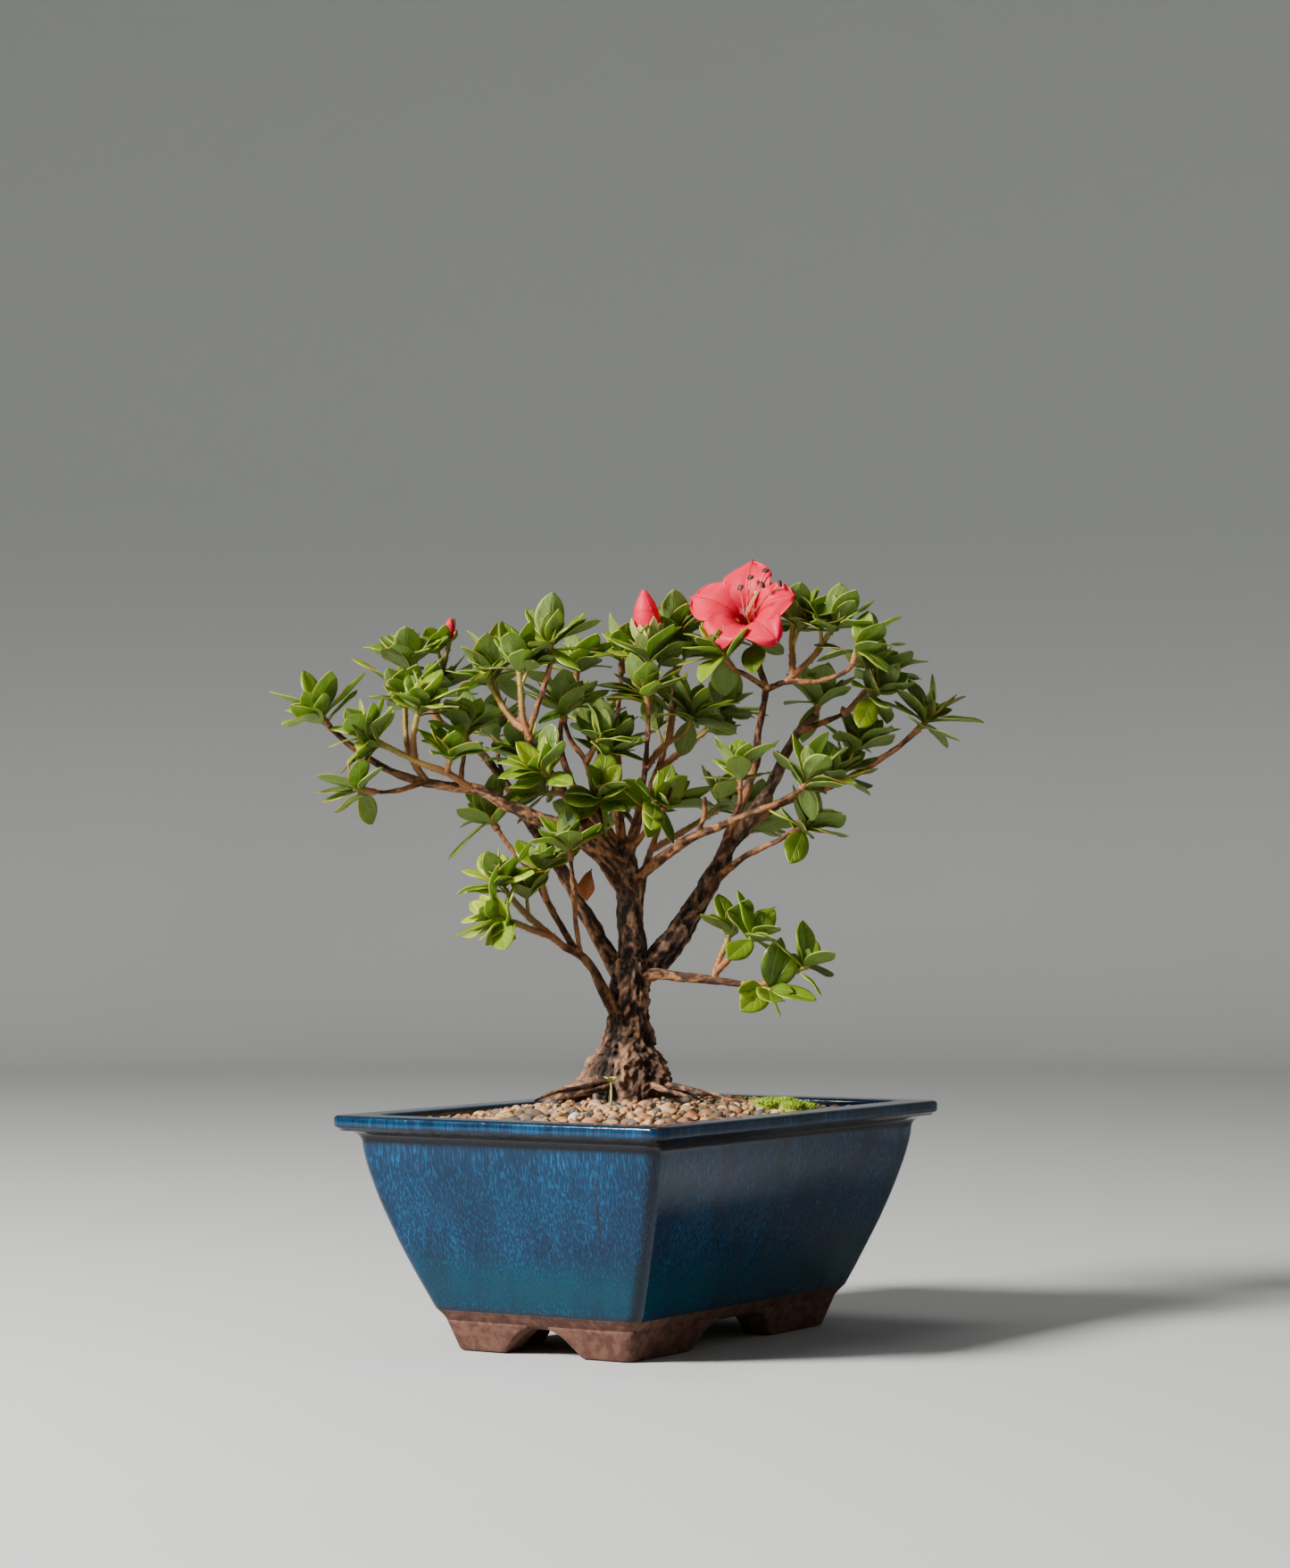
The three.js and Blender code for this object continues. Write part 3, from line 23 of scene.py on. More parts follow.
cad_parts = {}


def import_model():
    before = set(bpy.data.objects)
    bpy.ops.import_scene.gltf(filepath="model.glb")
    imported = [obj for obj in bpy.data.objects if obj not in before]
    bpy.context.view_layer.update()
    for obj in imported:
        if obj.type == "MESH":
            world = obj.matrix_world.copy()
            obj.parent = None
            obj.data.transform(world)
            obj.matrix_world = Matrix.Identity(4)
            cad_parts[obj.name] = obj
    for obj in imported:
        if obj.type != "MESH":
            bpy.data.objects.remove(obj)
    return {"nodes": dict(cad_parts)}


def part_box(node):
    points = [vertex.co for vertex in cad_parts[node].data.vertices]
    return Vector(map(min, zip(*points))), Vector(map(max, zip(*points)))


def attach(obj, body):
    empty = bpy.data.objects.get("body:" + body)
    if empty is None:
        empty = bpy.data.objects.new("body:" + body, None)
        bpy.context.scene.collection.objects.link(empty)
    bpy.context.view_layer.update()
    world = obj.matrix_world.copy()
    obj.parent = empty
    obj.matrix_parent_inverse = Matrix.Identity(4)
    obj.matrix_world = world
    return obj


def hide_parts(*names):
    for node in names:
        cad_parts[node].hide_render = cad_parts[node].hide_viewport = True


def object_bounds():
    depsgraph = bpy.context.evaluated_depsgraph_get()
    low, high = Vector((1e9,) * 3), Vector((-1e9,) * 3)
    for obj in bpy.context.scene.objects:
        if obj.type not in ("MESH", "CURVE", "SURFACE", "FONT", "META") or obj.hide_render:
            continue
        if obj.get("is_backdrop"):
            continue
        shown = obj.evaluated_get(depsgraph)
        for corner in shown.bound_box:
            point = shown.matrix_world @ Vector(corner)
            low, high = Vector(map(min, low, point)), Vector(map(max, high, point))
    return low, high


log = logging.getLogger("bonsai")

MM = 0.001
SHAPE_RIM = 92.0
TREE_TURN = math.radians(-58.2)
FULL_TURN = 2 * math.pi
GOLDEN_TURN = 2.39996
UP = np.array([0.0, 0.0, 1.0])

# The pot's floor and drain holes, in millimetres.
FLOOR_UNDER = 10.5
FLOOR_TOP = 16.5
DRAIN_RADIUS = 7.0
DRAIN_SPACING = 72.0


# ---- The tree's listed shape -------------------------------------------


@dataclass(frozen=True)
class Tuft:
    """A whorl of leaves: its centre, how many fill it and the tips that show."""

    at: list[float]
    fill: int
    tips: list[list[float]]


@dataclass(frozen=True)
class Shoot:
    """Young stems and the tufts at their ends."""

    name: str
    stems: list[list[list[float]]]
    tufts: list[Tuft]


# Each row is a point of the centre line and the radius there.
TRUNK: list[list[float]] = [
    [-6, 0, 66, 9],
    [-7, 0, 82, 14],
    [-7, 0, 96, 19],
    [-7, 0, 104, 17],
    [-7, 0, 111, 14.5],
    [-7, 0, 116, 11],
    [-7, 0, 122, 9.2],
    [-7, 0, 132, 8],
    [-6.5, 0, 142, 7.6],
    [-6, 0, 152, 7.2],
]

# Each row is the radius at the start and at the end, then the centre line.
ROOTS: list[list] = [
    [5, 1.6, [-14, -4, 101], [-24, -8, 100], [-33, -10, 97], [-42, -13, 91], [-50, -16, 82]],
    [5.5, 1.6, [-16, 3, 101], [-27, 7, 99], [-36, 13, 93], [-43, 19, 82]],
    [5.5, 1.6, [0, -2, 99], [12, -6, 97], [23, -11, 91], [34, -16, 80]],
    [5, 1.6, [-5, 8, 100], [-1, 21, 96], [4, 33, 87], [6, 42, 75]],
    [5, 1.6, [1, 6, 99], [14, 14, 95], [27, 21, 87], [38, 25, 75]],
    [5, 1.6, [-7, -9, 99], [-5, -21, 94], [-2, -31, 85], [1, -39, 73]],
    [5, 1.5, [-7, 0, 76], [-15, 5, 58], [-27, 9, 44], [-33, 11, 32]],
    [5, 1.5, [-5, 0, 74], [4, -6, 56], [16, -12, 42], [21, -15, 31]],
    [4, 1.5, [-6, 2, 72], [-3, 9, 54], [3, 19, 40], [6, 24, 31]],
]

LIMBS: list[list] = [
    # leader and the long left limb
    [6.4, 3.4, [-6, 0, 147], [-5.5, 0, 160], [-6.5, -1, 170], [-7, -2, 181], [-8, -2, 191], [-9, -2, 199]],
    [
        4, 1.1,
        [-7, -2, 178], [-13, -4, 187], [-20, -6, 195], [-30, -8, 203], [-40, -9, 207], [-52, -9, 212],
        [-66, -8, 219], [-80, -6, 221.5], [-92, -5, 223.5], [-104, -7, 228], [-118, -9, 237], [-127, -9, 245],
    ],
    [1.2, 0.9, [-75, -7, 221], [-74, -2, 230], [-73, 2, 238]],
    [1.2, 0.9, [-89, -5, 223], [-98, -12, 219.5], [-108, -17, 218.5]],
    # back left limb
    [
        4, 1.2,
        [-8, 2, 142], [-14, 8, 151], [-21, 13, 164], [-28, 18, 176], [-36, 24, 190], [-44, 30, 202],
        [-52, 34, 214], [-60, 36, 226], [-68, 36, 236], [-77, 35, 243], [-85, 34, 249],
    ],
    [1.2, 0.9, [-57, 35, 222], [-61, 42, 232], [-62, 46, 240]],
    [1.2, 0.9, [-50, 33, 211], [-52, 30, 222], [-52, 29, 230]],
    # low left branch
    [
        2.8, 1.5,
        [-8, -3, 130], [-14, -7, 133], [-18, -10, 141], [-21, -12, 147], [-26, -14, 153], [-33, -16, 157],
    ],
    [1.2, 0.9, [-26, -14, 153], [-28, -18, 165], [-29, -21, 180], [-30, -22, 191]],
    [1.6, 0.9, [-28, -14, 154], [-33, -10, 163], [-40, -4, 175], [-48, 0, 188], [-56, 2, 198], [-60, 3, 204]],
    # centre
    [
        2.8, 1,
        [-8, -2, 189], [-15, -8, 196], [-25, -13, 207], [-34, -17, 220], [-42, -19, 232],
        [-47, -20, 240], [-44, -22, 251], [-40, -23, 262], [-38, -24, 270],
    ],
    [
        2.3, 1,
        [-8, -1, 193], [-15, 6, 200], [-25, 12, 213], [-31, 16, 225], [-35, 19, 238],
        [-34, 22, 252], [-29, 22, 264],
    ],
    [2, 0.9, [-8, -2, 192], [-13, -2, 200], [-20, -4, 213], [-24, -5, 230], [-30, -5, 239], [-33, -5, 247]],
    [1.5, 0.9, [-9, -2, 196], [-10, -3, 208], [-10.5, -4, 220], [-11, -4, 230]],
    [1.9, 0.9, [-8, 0, 193], [-12, 12, 210], [-14, 19, 230], [-12, 21, 250], [-10, 20, 268]],
    [1.9, 0.9, [-8, -2, 194], [-5, -7, 204], [-2, -9, 216], [0, -10, 232], [1, -10, 250]],
    [1.3, 0.7, [-6, -3, 195], [-1, -11, 202], [7, -16, 212], [10, -18, 220]],
    # right front limb
    [
        2.7, 1,
        [-6, -2, 182], [0, -7, 188], [7, -13, 193], [14, -18, 198], [22, -22, 202],
        [32, -26, 206], [42, -29, 210], [52, -30, 214], [61, -31, 219],
    ],
    [1.2, 0.9, [20, -21, 201], [23, -25, 209], [23, -27, 216]],
    [1.2, 0.9, [34, -26, 207], [37, -30, 214], [37, -31, 219]],
    # right main limb
    [
        6.2, 1.5,
        [-4, 2, 146], [3, 4, 150], [10, 7, 158], [17, 10, 168], [24, 12, 179], [30, 14, 190],
        [36, 16, 200], [44, 17, 211], [52, 18, 224], [57, 18, 235], [63, 18, 245], [69, 18, 251],
    ],
    [2, 1, [22, 12, 176], [31, 5, 186], [40, 0, 193], [50, -4, 198], [58, -7, 202]],
    [1.8, 0.9, [22, 12, 176], [27, 19, 187], [32, 25, 195], [40, 30, 202]],
    [
        2.4, 1.1,
        [38, 16, 203], [50, 20, 212], [62, 24, 218], [75, 26, 222], [84, 26, 226], [93, 25, 231],
        [103, 22, 238], [110, 20, 244],
    ],
    [
        2.5, 1.1,
        [30, 14, 190], [34, 9, 203], [39, 4, 216], [44, 0, 230], [45, -2, 240], [47, -3, 252],
        [48, -3, 261], [46, 0, 269], [45, 3, 276],
    ],
    [1.2, 0.9, [48, -3, 261], [41, -6, 265.5], [35, -8, 268]],
    [1.3, 0.9, [48, -3, 260], [56, -6, 263], [68, -8, 263], [78, -9, 266], [83, -9, 270]],
    [1.5, 1, [62, 18, 244], [72, 16, 248], [80, 15, 251]],
    # low right branch
    [2.8, 1.4, [-3, -2, 145], [6, -6, 145.5], [16, -11, 144.5], [27, -15, 143.5], [38, -19, 142]],
    # back limbs
    [3.6, 1.3, [-5, 3, 150], [-4, 14, 165], [-2, 26, 180], [1, 36, 193]],
    [1.6, 0.9, [-2, 26, 180], [-12, 36, 192], [-20, 46, 202]],
    [2.4, 1.2, [-8, -1, 188], [-4, 12, 205], [2, 24, 222]],
    [1.3, 0.9, [-4, 12, 205], [-16, 26, 222], [-20, 32, 240]],
]

# Leaf shoots: young stems with one tuft of leaves or more. stems: each from
# its place on the wood, or on the first stem, to its end. Each tuft has its
# centre, the x and z of the leaf tips that show from the front, and how many
# more leaves fill it round.
SHOOTS: list[Shoot] = [
    Shoot(
        name="left_end",
        stems=[[[-127, -9, 245], [-130, -9, 249]]],
        tufts=[
            Tuft(
                at=[-130, -9, 248],
                fill=2,
                tips=[[-151, 259], [-146, 252], [-145, 245], [-138, 268], [-126, 267], [-113, 267]],
            ),
        ],
    ),
    Shoot(
        name="left_inner",
        stems=[
            [[-70, -8, 220], [-80, -13, 226.5], [-90, -16, 230], [-104, -18, 237], [-111, -19, 241]],
            [[-80, -13, 226.5], [-78, -16, 233]],
        ],
        tufts=[
            Tuft(at=[-110, -19, 240], fill=3, tips=[[-126, 236], [-121, 250], [-100, 252]]),
            Tuft(at=[-78, -16, 232], fill=2, tips=[[-66, 238], [-90, 240]]),
        ],
    ),
    Shoot(
        name="left_low",
        stems=[[[-108, -17, 218.5], [-115, -18, 219.5]]],
        tufts=[
            Tuft(
                at=[-114, -18, 219],
                fill=2,
                tips=[[-131, 225], [-130, 215], [-113, 231], [-110, 206], [-105, 228]],
            ),
        ],
    ),
    Shoot(
        name="left_upper",
        stems=[
            [[-88, -5, 222.5], [-94, -6, 232], [-97, -2, 243], [-97, 1, 258]],
            [[-93, -6, 231], [-93, -15, 242], [-90, -19, 253]],
        ],
        tufts=[
            Tuft(at=[-97, 1, 256], fill=3, tips=[[-97, 268], [-113, 258], [-119, 273], [-82, 274]]),
            Tuft(at=[-90, -19, 252], fill=3, tips=[[-74, 252], [-82, 268], [-103, 248]]),
        ],
    ),
    Shoot(
        name="left_top",
        stems=[
            [[-85, 34, 249], [-91, 30, 258], [-96, 28, 267], [-98, 27, 274]],
            [[-87, 33, 252], [-86, 38, 262], [-84, 40, 272], [-82, 40, 281]],
        ],
        tufts=[
            Tuft(at=[-97, 27, 272], fill=3, tips=[[-112, 278], [-110, 284], [-98, 287], [-83, 287]]),
            Tuft(at=[-85, 38, 262], fill=4, tips=[[-70, 270], [-98, 258]]),
        ],
    ),
    Shoot(
        name="left_fork",
        stems=[[[-73, 2, 238], [-73, 4, 246]]],
        tufts=[Tuft(at=[-73, 4, 244], fill=3, tips=[[-88, 240], [-60, 249], [-80, 256]])],
    ),
    Shoot(
        name="back_left",
        stems=[[[-62, 46, 240], [-63, 48, 247]]],
        tufts=[Tuft(at=[-63, 48, 245], fill=4, tips=[])],
    ),
    Shoot(
        name="back_left_inner",
        stems=[[[-52, 29, 230], [-52, 29, 237]]],
        tufts=[Tuft(at=[-52, 29, 235], fill=4, tips=[[-62, 240], [-44, 244]])],
    ),
    Shoot(
        name="low_left",
        stems=[
            [[-33, -16, 157], [-40, -20, 163], [-48, -22, 170], [-54, -23, 177], [-58, -24, 182]],
            [[-38, -19, 161], [-46, -26, 164], [-53, -31, 167], [-59, -32, 169]],
        ],
        tufts=[
            Tuft(at=[-57, -24, 181], fill=3, tips=[[-75, 178], [-66, 194], [-44, 186]]),
            Tuft(at=[-58, -32, 168], fill=2, tips=[[-76, 161], [-70, 175], [-55, 156]]),
        ],
    ),
    Shoot(
        name="low_left_upright",
        stems=[[[-30, -22, 191], [-31, -22, 197]]],
        tufts=[Tuft(at=[-31, -22, 195], fill=3, tips=[[-46, 199], [-30, 211], [-18, 206]])],
    ),
    Shoot(
        name="low_left_bright",
        stems=[[[-60, 3, 204], [-64, 4, 209]]],
        tufts=[Tuft(at=[-63, 4, 208], fill=2, tips=[[-80, 192], [-76, 205], [-62, 222], [-52, 222]])],
    ),
    Shoot(
        name="low_left_inner",
        stems=[[[-40, -4, 175], [-42, -10, 184], [-42, -12, 188]]],
        tufts=[Tuft(at=[-42, -11, 187], fill=2, tips=[[-54, 190], [-53, 180], [-34, 198]])],
    ),
    Shoot(
        name="centre_left",
        stems=[
            [[-46, -20, 239], [-49, -22, 248], [-50, -24, 260], [-51, -24, 270]],
            [[-48, -21, 243], [-54, -14, 248], [-59, -10, 256], [-62, -8, 267]],
        ],
        tufts=[
            Tuft(at=[-51, -24, 268], fill=2, tips=[[-54, 281], [-58, 287], [-46, 286], [-37, 262]]),
            Tuft(
                at=[-62, -8, 264],
                fill=1,
                tips=[[-64, 282], [-72, 284], [-60, 287], [-76, 258], [-74, 277], [-50, 255]],
            ),
        ],
    ),
    Shoot(
        name="crown_left",
        stems=[[[-38, -24, 270], [-38, -24, 279]]],
        tufts=[
            Tuft(
                at=[-38, -24, 276],
                fill=2,
                tips=[[-37, 298], [-48, 292], [-24, 290], [-18, 287], [-26, 266]],
            ),
        ],
    ),
    Shoot(
        name="crown_left_back",
        stems=[[[-29, 22, 264], [-28, 22, 273]]],
        tufts=[Tuft(at=[-28, 22, 270], fill=3, tips=[[-34, 288], [-14, 272], [-20, 284]])],
    ),
    Shoot(
        name="centre_fork",
        stems=[[[-33, -5, 247], [-33, -5, 255]]],
        tufts=[
            Tuft(
                at=[-33, -5, 252],
                fill=1,
                tips=[[-33, 268], [-50, 263], [-20, 263], [-17, 252], [-45, 244]],
            ),
        ],
    ),
    Shoot(
        name="centre_side",
        stems=[[[-24, -5, 231], [-19, -10, 240]]],
        tufts=[Tuft(at=[-19, -10, 239], fill=2, tips=[[-18, 256], [-5, 250], [-6, 238]])],
    ),
    Shoot(
        name="centre_low_left",
        stems=[[[-34, -17, 220], [-41, -26, 226]]],
        tufts=[Tuft(at=[-41, -26, 226], fill=2, tips=[[-56, 223], [-50, 236], [-33, 238]])],
    ),
    Shoot(
        name="centre_low_back",
        stems=[[[-28, 14, 219], [-42, 16, 219]]],
        tufts=[Tuft(at=[-42, 16, 219], fill=4, tips=[[-56, 212], [-44, 230]])],
    ),
    Shoot(
        name="centre_low",
        stems=[[[-20, -4, 213], [-18, -13, 217]]],
        tufts=[Tuft(at=[-18, -13, 216], fill=2, tips=[[-32, 218], [-20, 202], [-8, 222]])],
    ),
    Shoot(
        name="centre_upright",
        stems=[[[-11, -4, 230], [-12, -5, 237]]],
        tufts=[Tuft(at=[-12, -5, 235], fill=3, tips=[[-26, 240], [0, 240]])],
    ),
    Shoot(
        name="centre_low_right",
        stems=[[[-2, -9, 215], [4, -15, 214]]],
        tufts=[Tuft(at=[3, -14, 214], fill=2, tips=[[-4, 222], [14, 216], [2, 203]])],
    ),
    Shoot(
        name="crown_centre_back",
        stems=[[[-10, 20, 268], [-10, 19, 278]]],
        tufts=[Tuft(at=[-10, 19, 275], fill=3, tips=[[-14, 292], [-24, 282], [3, 268]])],
    ),
    Shoot(
        name="crown_centre",
        stems=[
            [[1, -10, 250], [0, -12, 258]],
            [[0.5, -11, 253], [2, -6, 262], [1, -3, 269], [1, -3, 275]],
        ],
        tufts=[
            Tuft(
                at=[0, -12, 257],
                fill=1,
                tips=[[0, 270], [-13, 267], [-6, 274], [-20, 262], [16, 265], [-18, 254]],
            ),
            Tuft(at=[1, -3, 272], fill=2, tips=[[-10, 289], [-15, 282], [11, 286], [14, 276]]),
        ],
    ),
    Shoot(
        name="centre_right",
        stems=[
            [[0, -10, 228], [4, -6, 234], [9, 0, 239], [16, 4, 244], [19, 4, 251]],
            [[9, 0, 239], [11, 6, 254], [12, 9, 270], [12, 9, 284]],
        ],
        tufts=[
            Tuft(
                at=[18, 4, 249],
                fill=1,
                tips=[[11, 266], [26, 259], [38, 255], [37, 243], [4, 250], [14, 234]],
            ),
            Tuft(at=[12, 9, 282], fill=2, tips=[[11, 301], [24, 297], [28, 289], [2, 296]]),
        ],
    ),
    Shoot(
        name="right_crown_left",
        stems=[[[35, -8, 268], [30, -9, 275]]],
        tufts=[Tuft(at=[31, -9, 274], fill=2, tips=[[19, 286], [28, 292], [14, 276], [32, 258], [22, 262]])],
    ),
    Shoot(
        name="flower_base",
        stems=[[[45, 3, 276], [43.5, 3.5, 281]]],
        tufts=[Tuft(at=[44, 3.5, 279], fill=2, tips=[[27, 286], [56, 276], [43, 266]])],
    ),
    Shoot(
        name="right_front",
        stems=[[[61, -31, 219], [64, -31, 223]]],
        tufts=[
            Tuft(
                at=[63, -31, 222],
                fill=1,
                tips=[[71, 232], [80, 236], [72, 242], [58, 242], [50, 234], [66, 207]],
            ),
        ],
    ),
    Shoot(
        name="right_front_inner",
        stems=[[[37, -31, 219], [37, -31, 227]]],
        tufts=[Tuft(at=[37, -31, 225], fill=2, tips=[[27, 240], [37, 240], [50, 237], [28, 216]])],
    ),
    Shoot(
        name="right_front_low",
        stems=[[[58, -7, 202], [64, -8, 205]]],
        tufts=[Tuft(at=[63, -8, 204], fill=2, tips=[[81, 201], [79, 211], [68, 220], [50, 212], [57, 190]])],
    ),
    Shoot(
        name="right_back",
        stems=[[[40, 30, 202], [45, 33, 206]]],
        tufts=[Tuft(at=[44, 32, 205], fill=4, tips=[[36, 219], [58, 204]])],
    ),
    Shoot(
        name="far_right",
        stems=[[[110, 20, 244], [115, 19, 249]]],
        tufts=[
            Tuft(
                at=[114, 19, 248],
                fill=1,
                tips=[[138, 248], [131, 259], [117, 268], [108, 266], [102, 261], [124, 238]],
            ),
        ],
    ),
    Shoot(
        name="right_side",
        stems=[[[75, 26, 222], [79, 30, 227], [84, 31, 233], [87, 30, 239]]],
        tufts=[
            Tuft(at=[78, 30, 226], fill=2, tips=[[84, 214], [94, 223]]),
            Tuft(at=[87, 30, 238], fill=2, tips=[[101, 246], [95, 252], [78, 244]]),
        ],
    ),
    Shoot(
        name="right_upper",
        stems=[
            [[80, 15, 251], [87, 14, 256], [94, 14, 260]],
            [[84, 15, 254], [89, 22, 260], [94, 26, 265], [97, 27, 270]],
        ],
        tufts=[
            Tuft(at=[93, 14, 259], fill=1, tips=[[109, 264], [101, 273], [83, 262], [99, 248], [86, 245]]),
            Tuft(at=[97, 27, 268], fill=3, tips=[[108, 277], [95, 283]]),
        ],
    ),
    Shoot(
        name="right_main",
        stems=[[[69, 18, 251], [71, 18, 257]]],
        tufts=[Tuft(at=[70, 18, 256], fill=3, tips=[[56, 256], [64, 240], [74, 272]])],
    ),
    Shoot(
        name="flower_side",
        stems=[[[83, -9, 270], [85, -9, 278]]],
        tufts=[Tuft(at=[85, -9, 276], fill=1, tips=[[94, 286], [91, 292], [104, 278], [72, 270], [96, 266]])],
    ),
    Shoot(
        name="flower_right",
        stems=[
            [[56, -6, 263], [64, -4, 270], [70, -2, 277], [76, -2, 287]],
            [[59, -5.5, 266], [59, 0, 274], [59, 3, 282], [60, 4, 290]],
        ],
        tufts=[
            Tuft(at=[76, -2, 285], fill=2, tips=[[78, 303], [68, 297], [84, 300]]),
            Tuft(at=[60, 4, 288], fill=2, tips=[[62, 303], [70, 303], [69, 284]]),
        ],
    ),
    Shoot(
        name="low_right",
        stems=[
            [[38, -19, 142], [46, -21, 142], [53, -23, 144.5], [63, -26, 149]],
            [[42, -20, 142], [45, -25, 140.5], [48, -29, 140]],
        ],
        tufts=[
            Tuft(at=[62, -26, 149], fill=1, tips=[[50, 160], [66, 161], [74, 155], [75, 146]]),
            Tuft(at=[48, -29, 140], fill=2, tips=[[37, 132], [53, 129], [67, 136], [55, 148]]),
        ],
    ),
    Shoot(
        name="low_right_upright",
        stems=[
            [[27, -15, 144], [29, -13, 151], [32, -10, 158], [34, -9, 164]],
            [[28, -14, 147], [34, -19, 153], [42, -23, 161]],
        ],
        tufts=[
            Tuft(at=[34, -9, 162], fill=1, tips=[[22, 170], [29, 178], [40, 176]]),
            Tuft(at=[42, -23, 160], fill=2, tips=[[52, 165], [52, 152], [32, 152]]),
        ],
    ),
    Shoot(
        name="back_centre",
        stems=[
            [[1, 36, 193], [4, 42, 202], [8, 49, 215]],
            [[2, 38, 196], [14, 44, 203], [25, 50, 210], [32, 52, 215]],
        ],
        tufts=[
            Tuft(at=[8, 48, 214], fill=4, tips=[]),
            Tuft(at=[31, 52, 214], fill=4, tips=[]),
        ],
    ),
    Shoot(
        name="back_low_left",
        stems=[[[-20, 46, 202], [-24, 50, 208]]],
        tufts=[Tuft(at=[-23, 49, 206], fill=4, tips=[])],
    ),
    Shoot(
        name="back_upper",
        stems=[
            [[2, 24, 222], [7, 31, 236], [11, 35, 257]],
            [[4, 27, 228], [16, 31, 238], [26, 34, 247], [32, 36, 255]],
        ],
        tufts=[
            Tuft(at=[11, 35, 255], fill=4, tips=[]),
            Tuft(at=[31, 36, 253], fill=4, tips=[]),
        ],
    ),
    Shoot(
        name="back_upper_left",
        stems=[[[-20, 32, 240], [-21, 34, 248]]],
        tufts=[Tuft(at=[-21, 34, 246], fill=4, tips=[])],
    ),
]


# ---- Numbers and noise --------------------------------------------------


def unit(vector: np.ndarray) -> np.ndarray:
    """The same direction with length 1."""
    return vector / np.linalg.norm(vector, axis=-1, keepdims=True)


def value_noise(points: np.ndarray, size: float, seed: int = 0) -> np.ndarray:
    """Smooth noise over points in space.

    Args:
        points: Rows of x, y, z.
        size: Width of one bump, in the points' unit.
        seed: Picks another pattern.

    Returns:
        One value from -1 to 1 for each point.
    """
    cell = points / size + 17.31 * seed
    low = np.floor(cell).astype(np.int64)
    part = cell - low
    part = part * part * (3 - 2 * part)
    total = np.zeros(len(points))
    for corner in product((0, 1), repeat=3):
        at = low + np.array(corner)
        mixed = at[:, 0] * 73856093 ^ at[:, 1] * 19349663 ^ at[:, 2] * 83492791 ^ seed * 7919
        mixed = ((mixed ^ (mixed >> 13)) * 1274126177) & 0x7FFFFFFF
        mixed ^= mixed >> 16
        weight = np.prod(np.where(corner, part, 1 - part), axis=1)
        total += weight * ((mixed & 0xFFFF) / 32767.5 - 1)
    return total


def plant_random(seed: int) -> Callable[[], float]:
    """A repeatable source of numbers from 0 to 1.

    Args:
        seed: Where the sequence starts.

    Returns:
        A function that gives the next number.
    """
    state = seed

    def draw() -> float:
        """The next number."""
        nonlocal state
        state = state * 16807 % 2147483647
        return state / 2147483647

    return draw


def turned(vector: np.ndarray, axis: np.ndarray, angle: float) -> np.ndarray:
    """The vector turned about an axis by an angle in radians."""
    axis = unit(axis)
    return (
        vector * math.cos(angle)
        + np.cross(axis, vector) * math.sin(angle)
        + axis * float(vector @ axis) * (1 - math.cos(angle))
    )


def across(axis: np.ndarray) -> tuple[np.ndarray, np.ndarray]:
    """Two directions square to an axis."""
    helper = np.array([0.0, 0.0, 1.0]) if abs(axis[2]) < 0.9 else np.array([1.0, 0.0, 0.0])
    u = unit(np.cross(helper, axis))
    return u, np.cross(axis, u)


def smooth_path(points: np.ndarray, count: int) -> np.ndarray:
    """A smooth curve through points, evenly stepped.

    Args:
        points: The points that the curve passes.
        count: How many points to return.

    Returns:
        Rows of x, y, z along the curve.
    """
    if len(points) == 2:
        dense = np.linspace(points[0], points[1], 24)
    else:
        padded = np.vstack([2 * points[0] - points[1], points, 2 * points[-1] - points[-2]])
        t = np.linspace(0, 1, 12, endpoint=False)[:, None]
        spans = []
        for a, b, c, d in zip(padded, padded[1:], padded[2:], padded[3:]):
            spans.append(
                0.5
                * (
                    2 * b
                    + (c - a) * t
                    + (2 * a - 5 * b + 4 * c - d) * t**2
                    + (3 * b - 3 * c + d - a) * t**3
                )
            )
        dense = np.vstack([*spans, points[-1:]])
    gone = distances(dense)
    wanted = np.linspace(0, gone[-1], count)
    return np.stack([np.interp(wanted, gone, dense[:, k]) for k in range(3)], axis=1)


def path_length(points: np.ndarray) -> float:
    """Length of a line through points."""
    return float(np.linalg.norm(np.diff(points, axis=0), axis=1).sum())


def distances(points: np.ndarray) -> np.ndarray:
    """How far along a line through points each of them lies."""
    return np.concatenate([[0], np.cumsum(np.linalg.norm(np.diff(points, axis=0), axis=1))])


def spoke(u: np.ndarray, v: np.ndarray, angle: float) -> np.ndarray:
    """The direction at an angle, from u at 0 towards v."""
    return u * math.cos(angle) + v * math.sin(angle)


def spokes(u: np.ndarray, v: np.ndarray, angles: np.ndarray) -> np.ndarray:
    """The directions at several angles, one in each row."""
    return u * np.cos(angles)[:, None] + v * np.sin(angles)[:, None]


# ---- Meshes -------------------------------------------------------------


@dataclass
class Skin:
    """Points and faces of one surface, with values that its finish reads."""

    points: np.ndarray
    faces: np.ndarray
    marks: dict[str, np.ndarray] = field(default_factory=dict)
    finish: int = 0


def grid_faces(rows: int, columns: int, closed: bool = False) -> np.ndarray:
    """Faces of a grid of points.

    Args:
        rows: Points one way.
        columns: Points the other way.
        closed: Whether the last column meets the first.

    Returns:
        Rows of four point numbers.
    """
    span = columns if closed else columns - 1
    r, c = np.meshgrid(np.arange(rows - 1), np.arange(span), indexing="ij")
    r, c = r.ravel(), c.ravel()
    nxt = (c + 1) % columns
    return np.stack([r * columns + c, r * columns + nxt, (r + 1) * columns + nxt, (r + 1) * columns + c], 1)


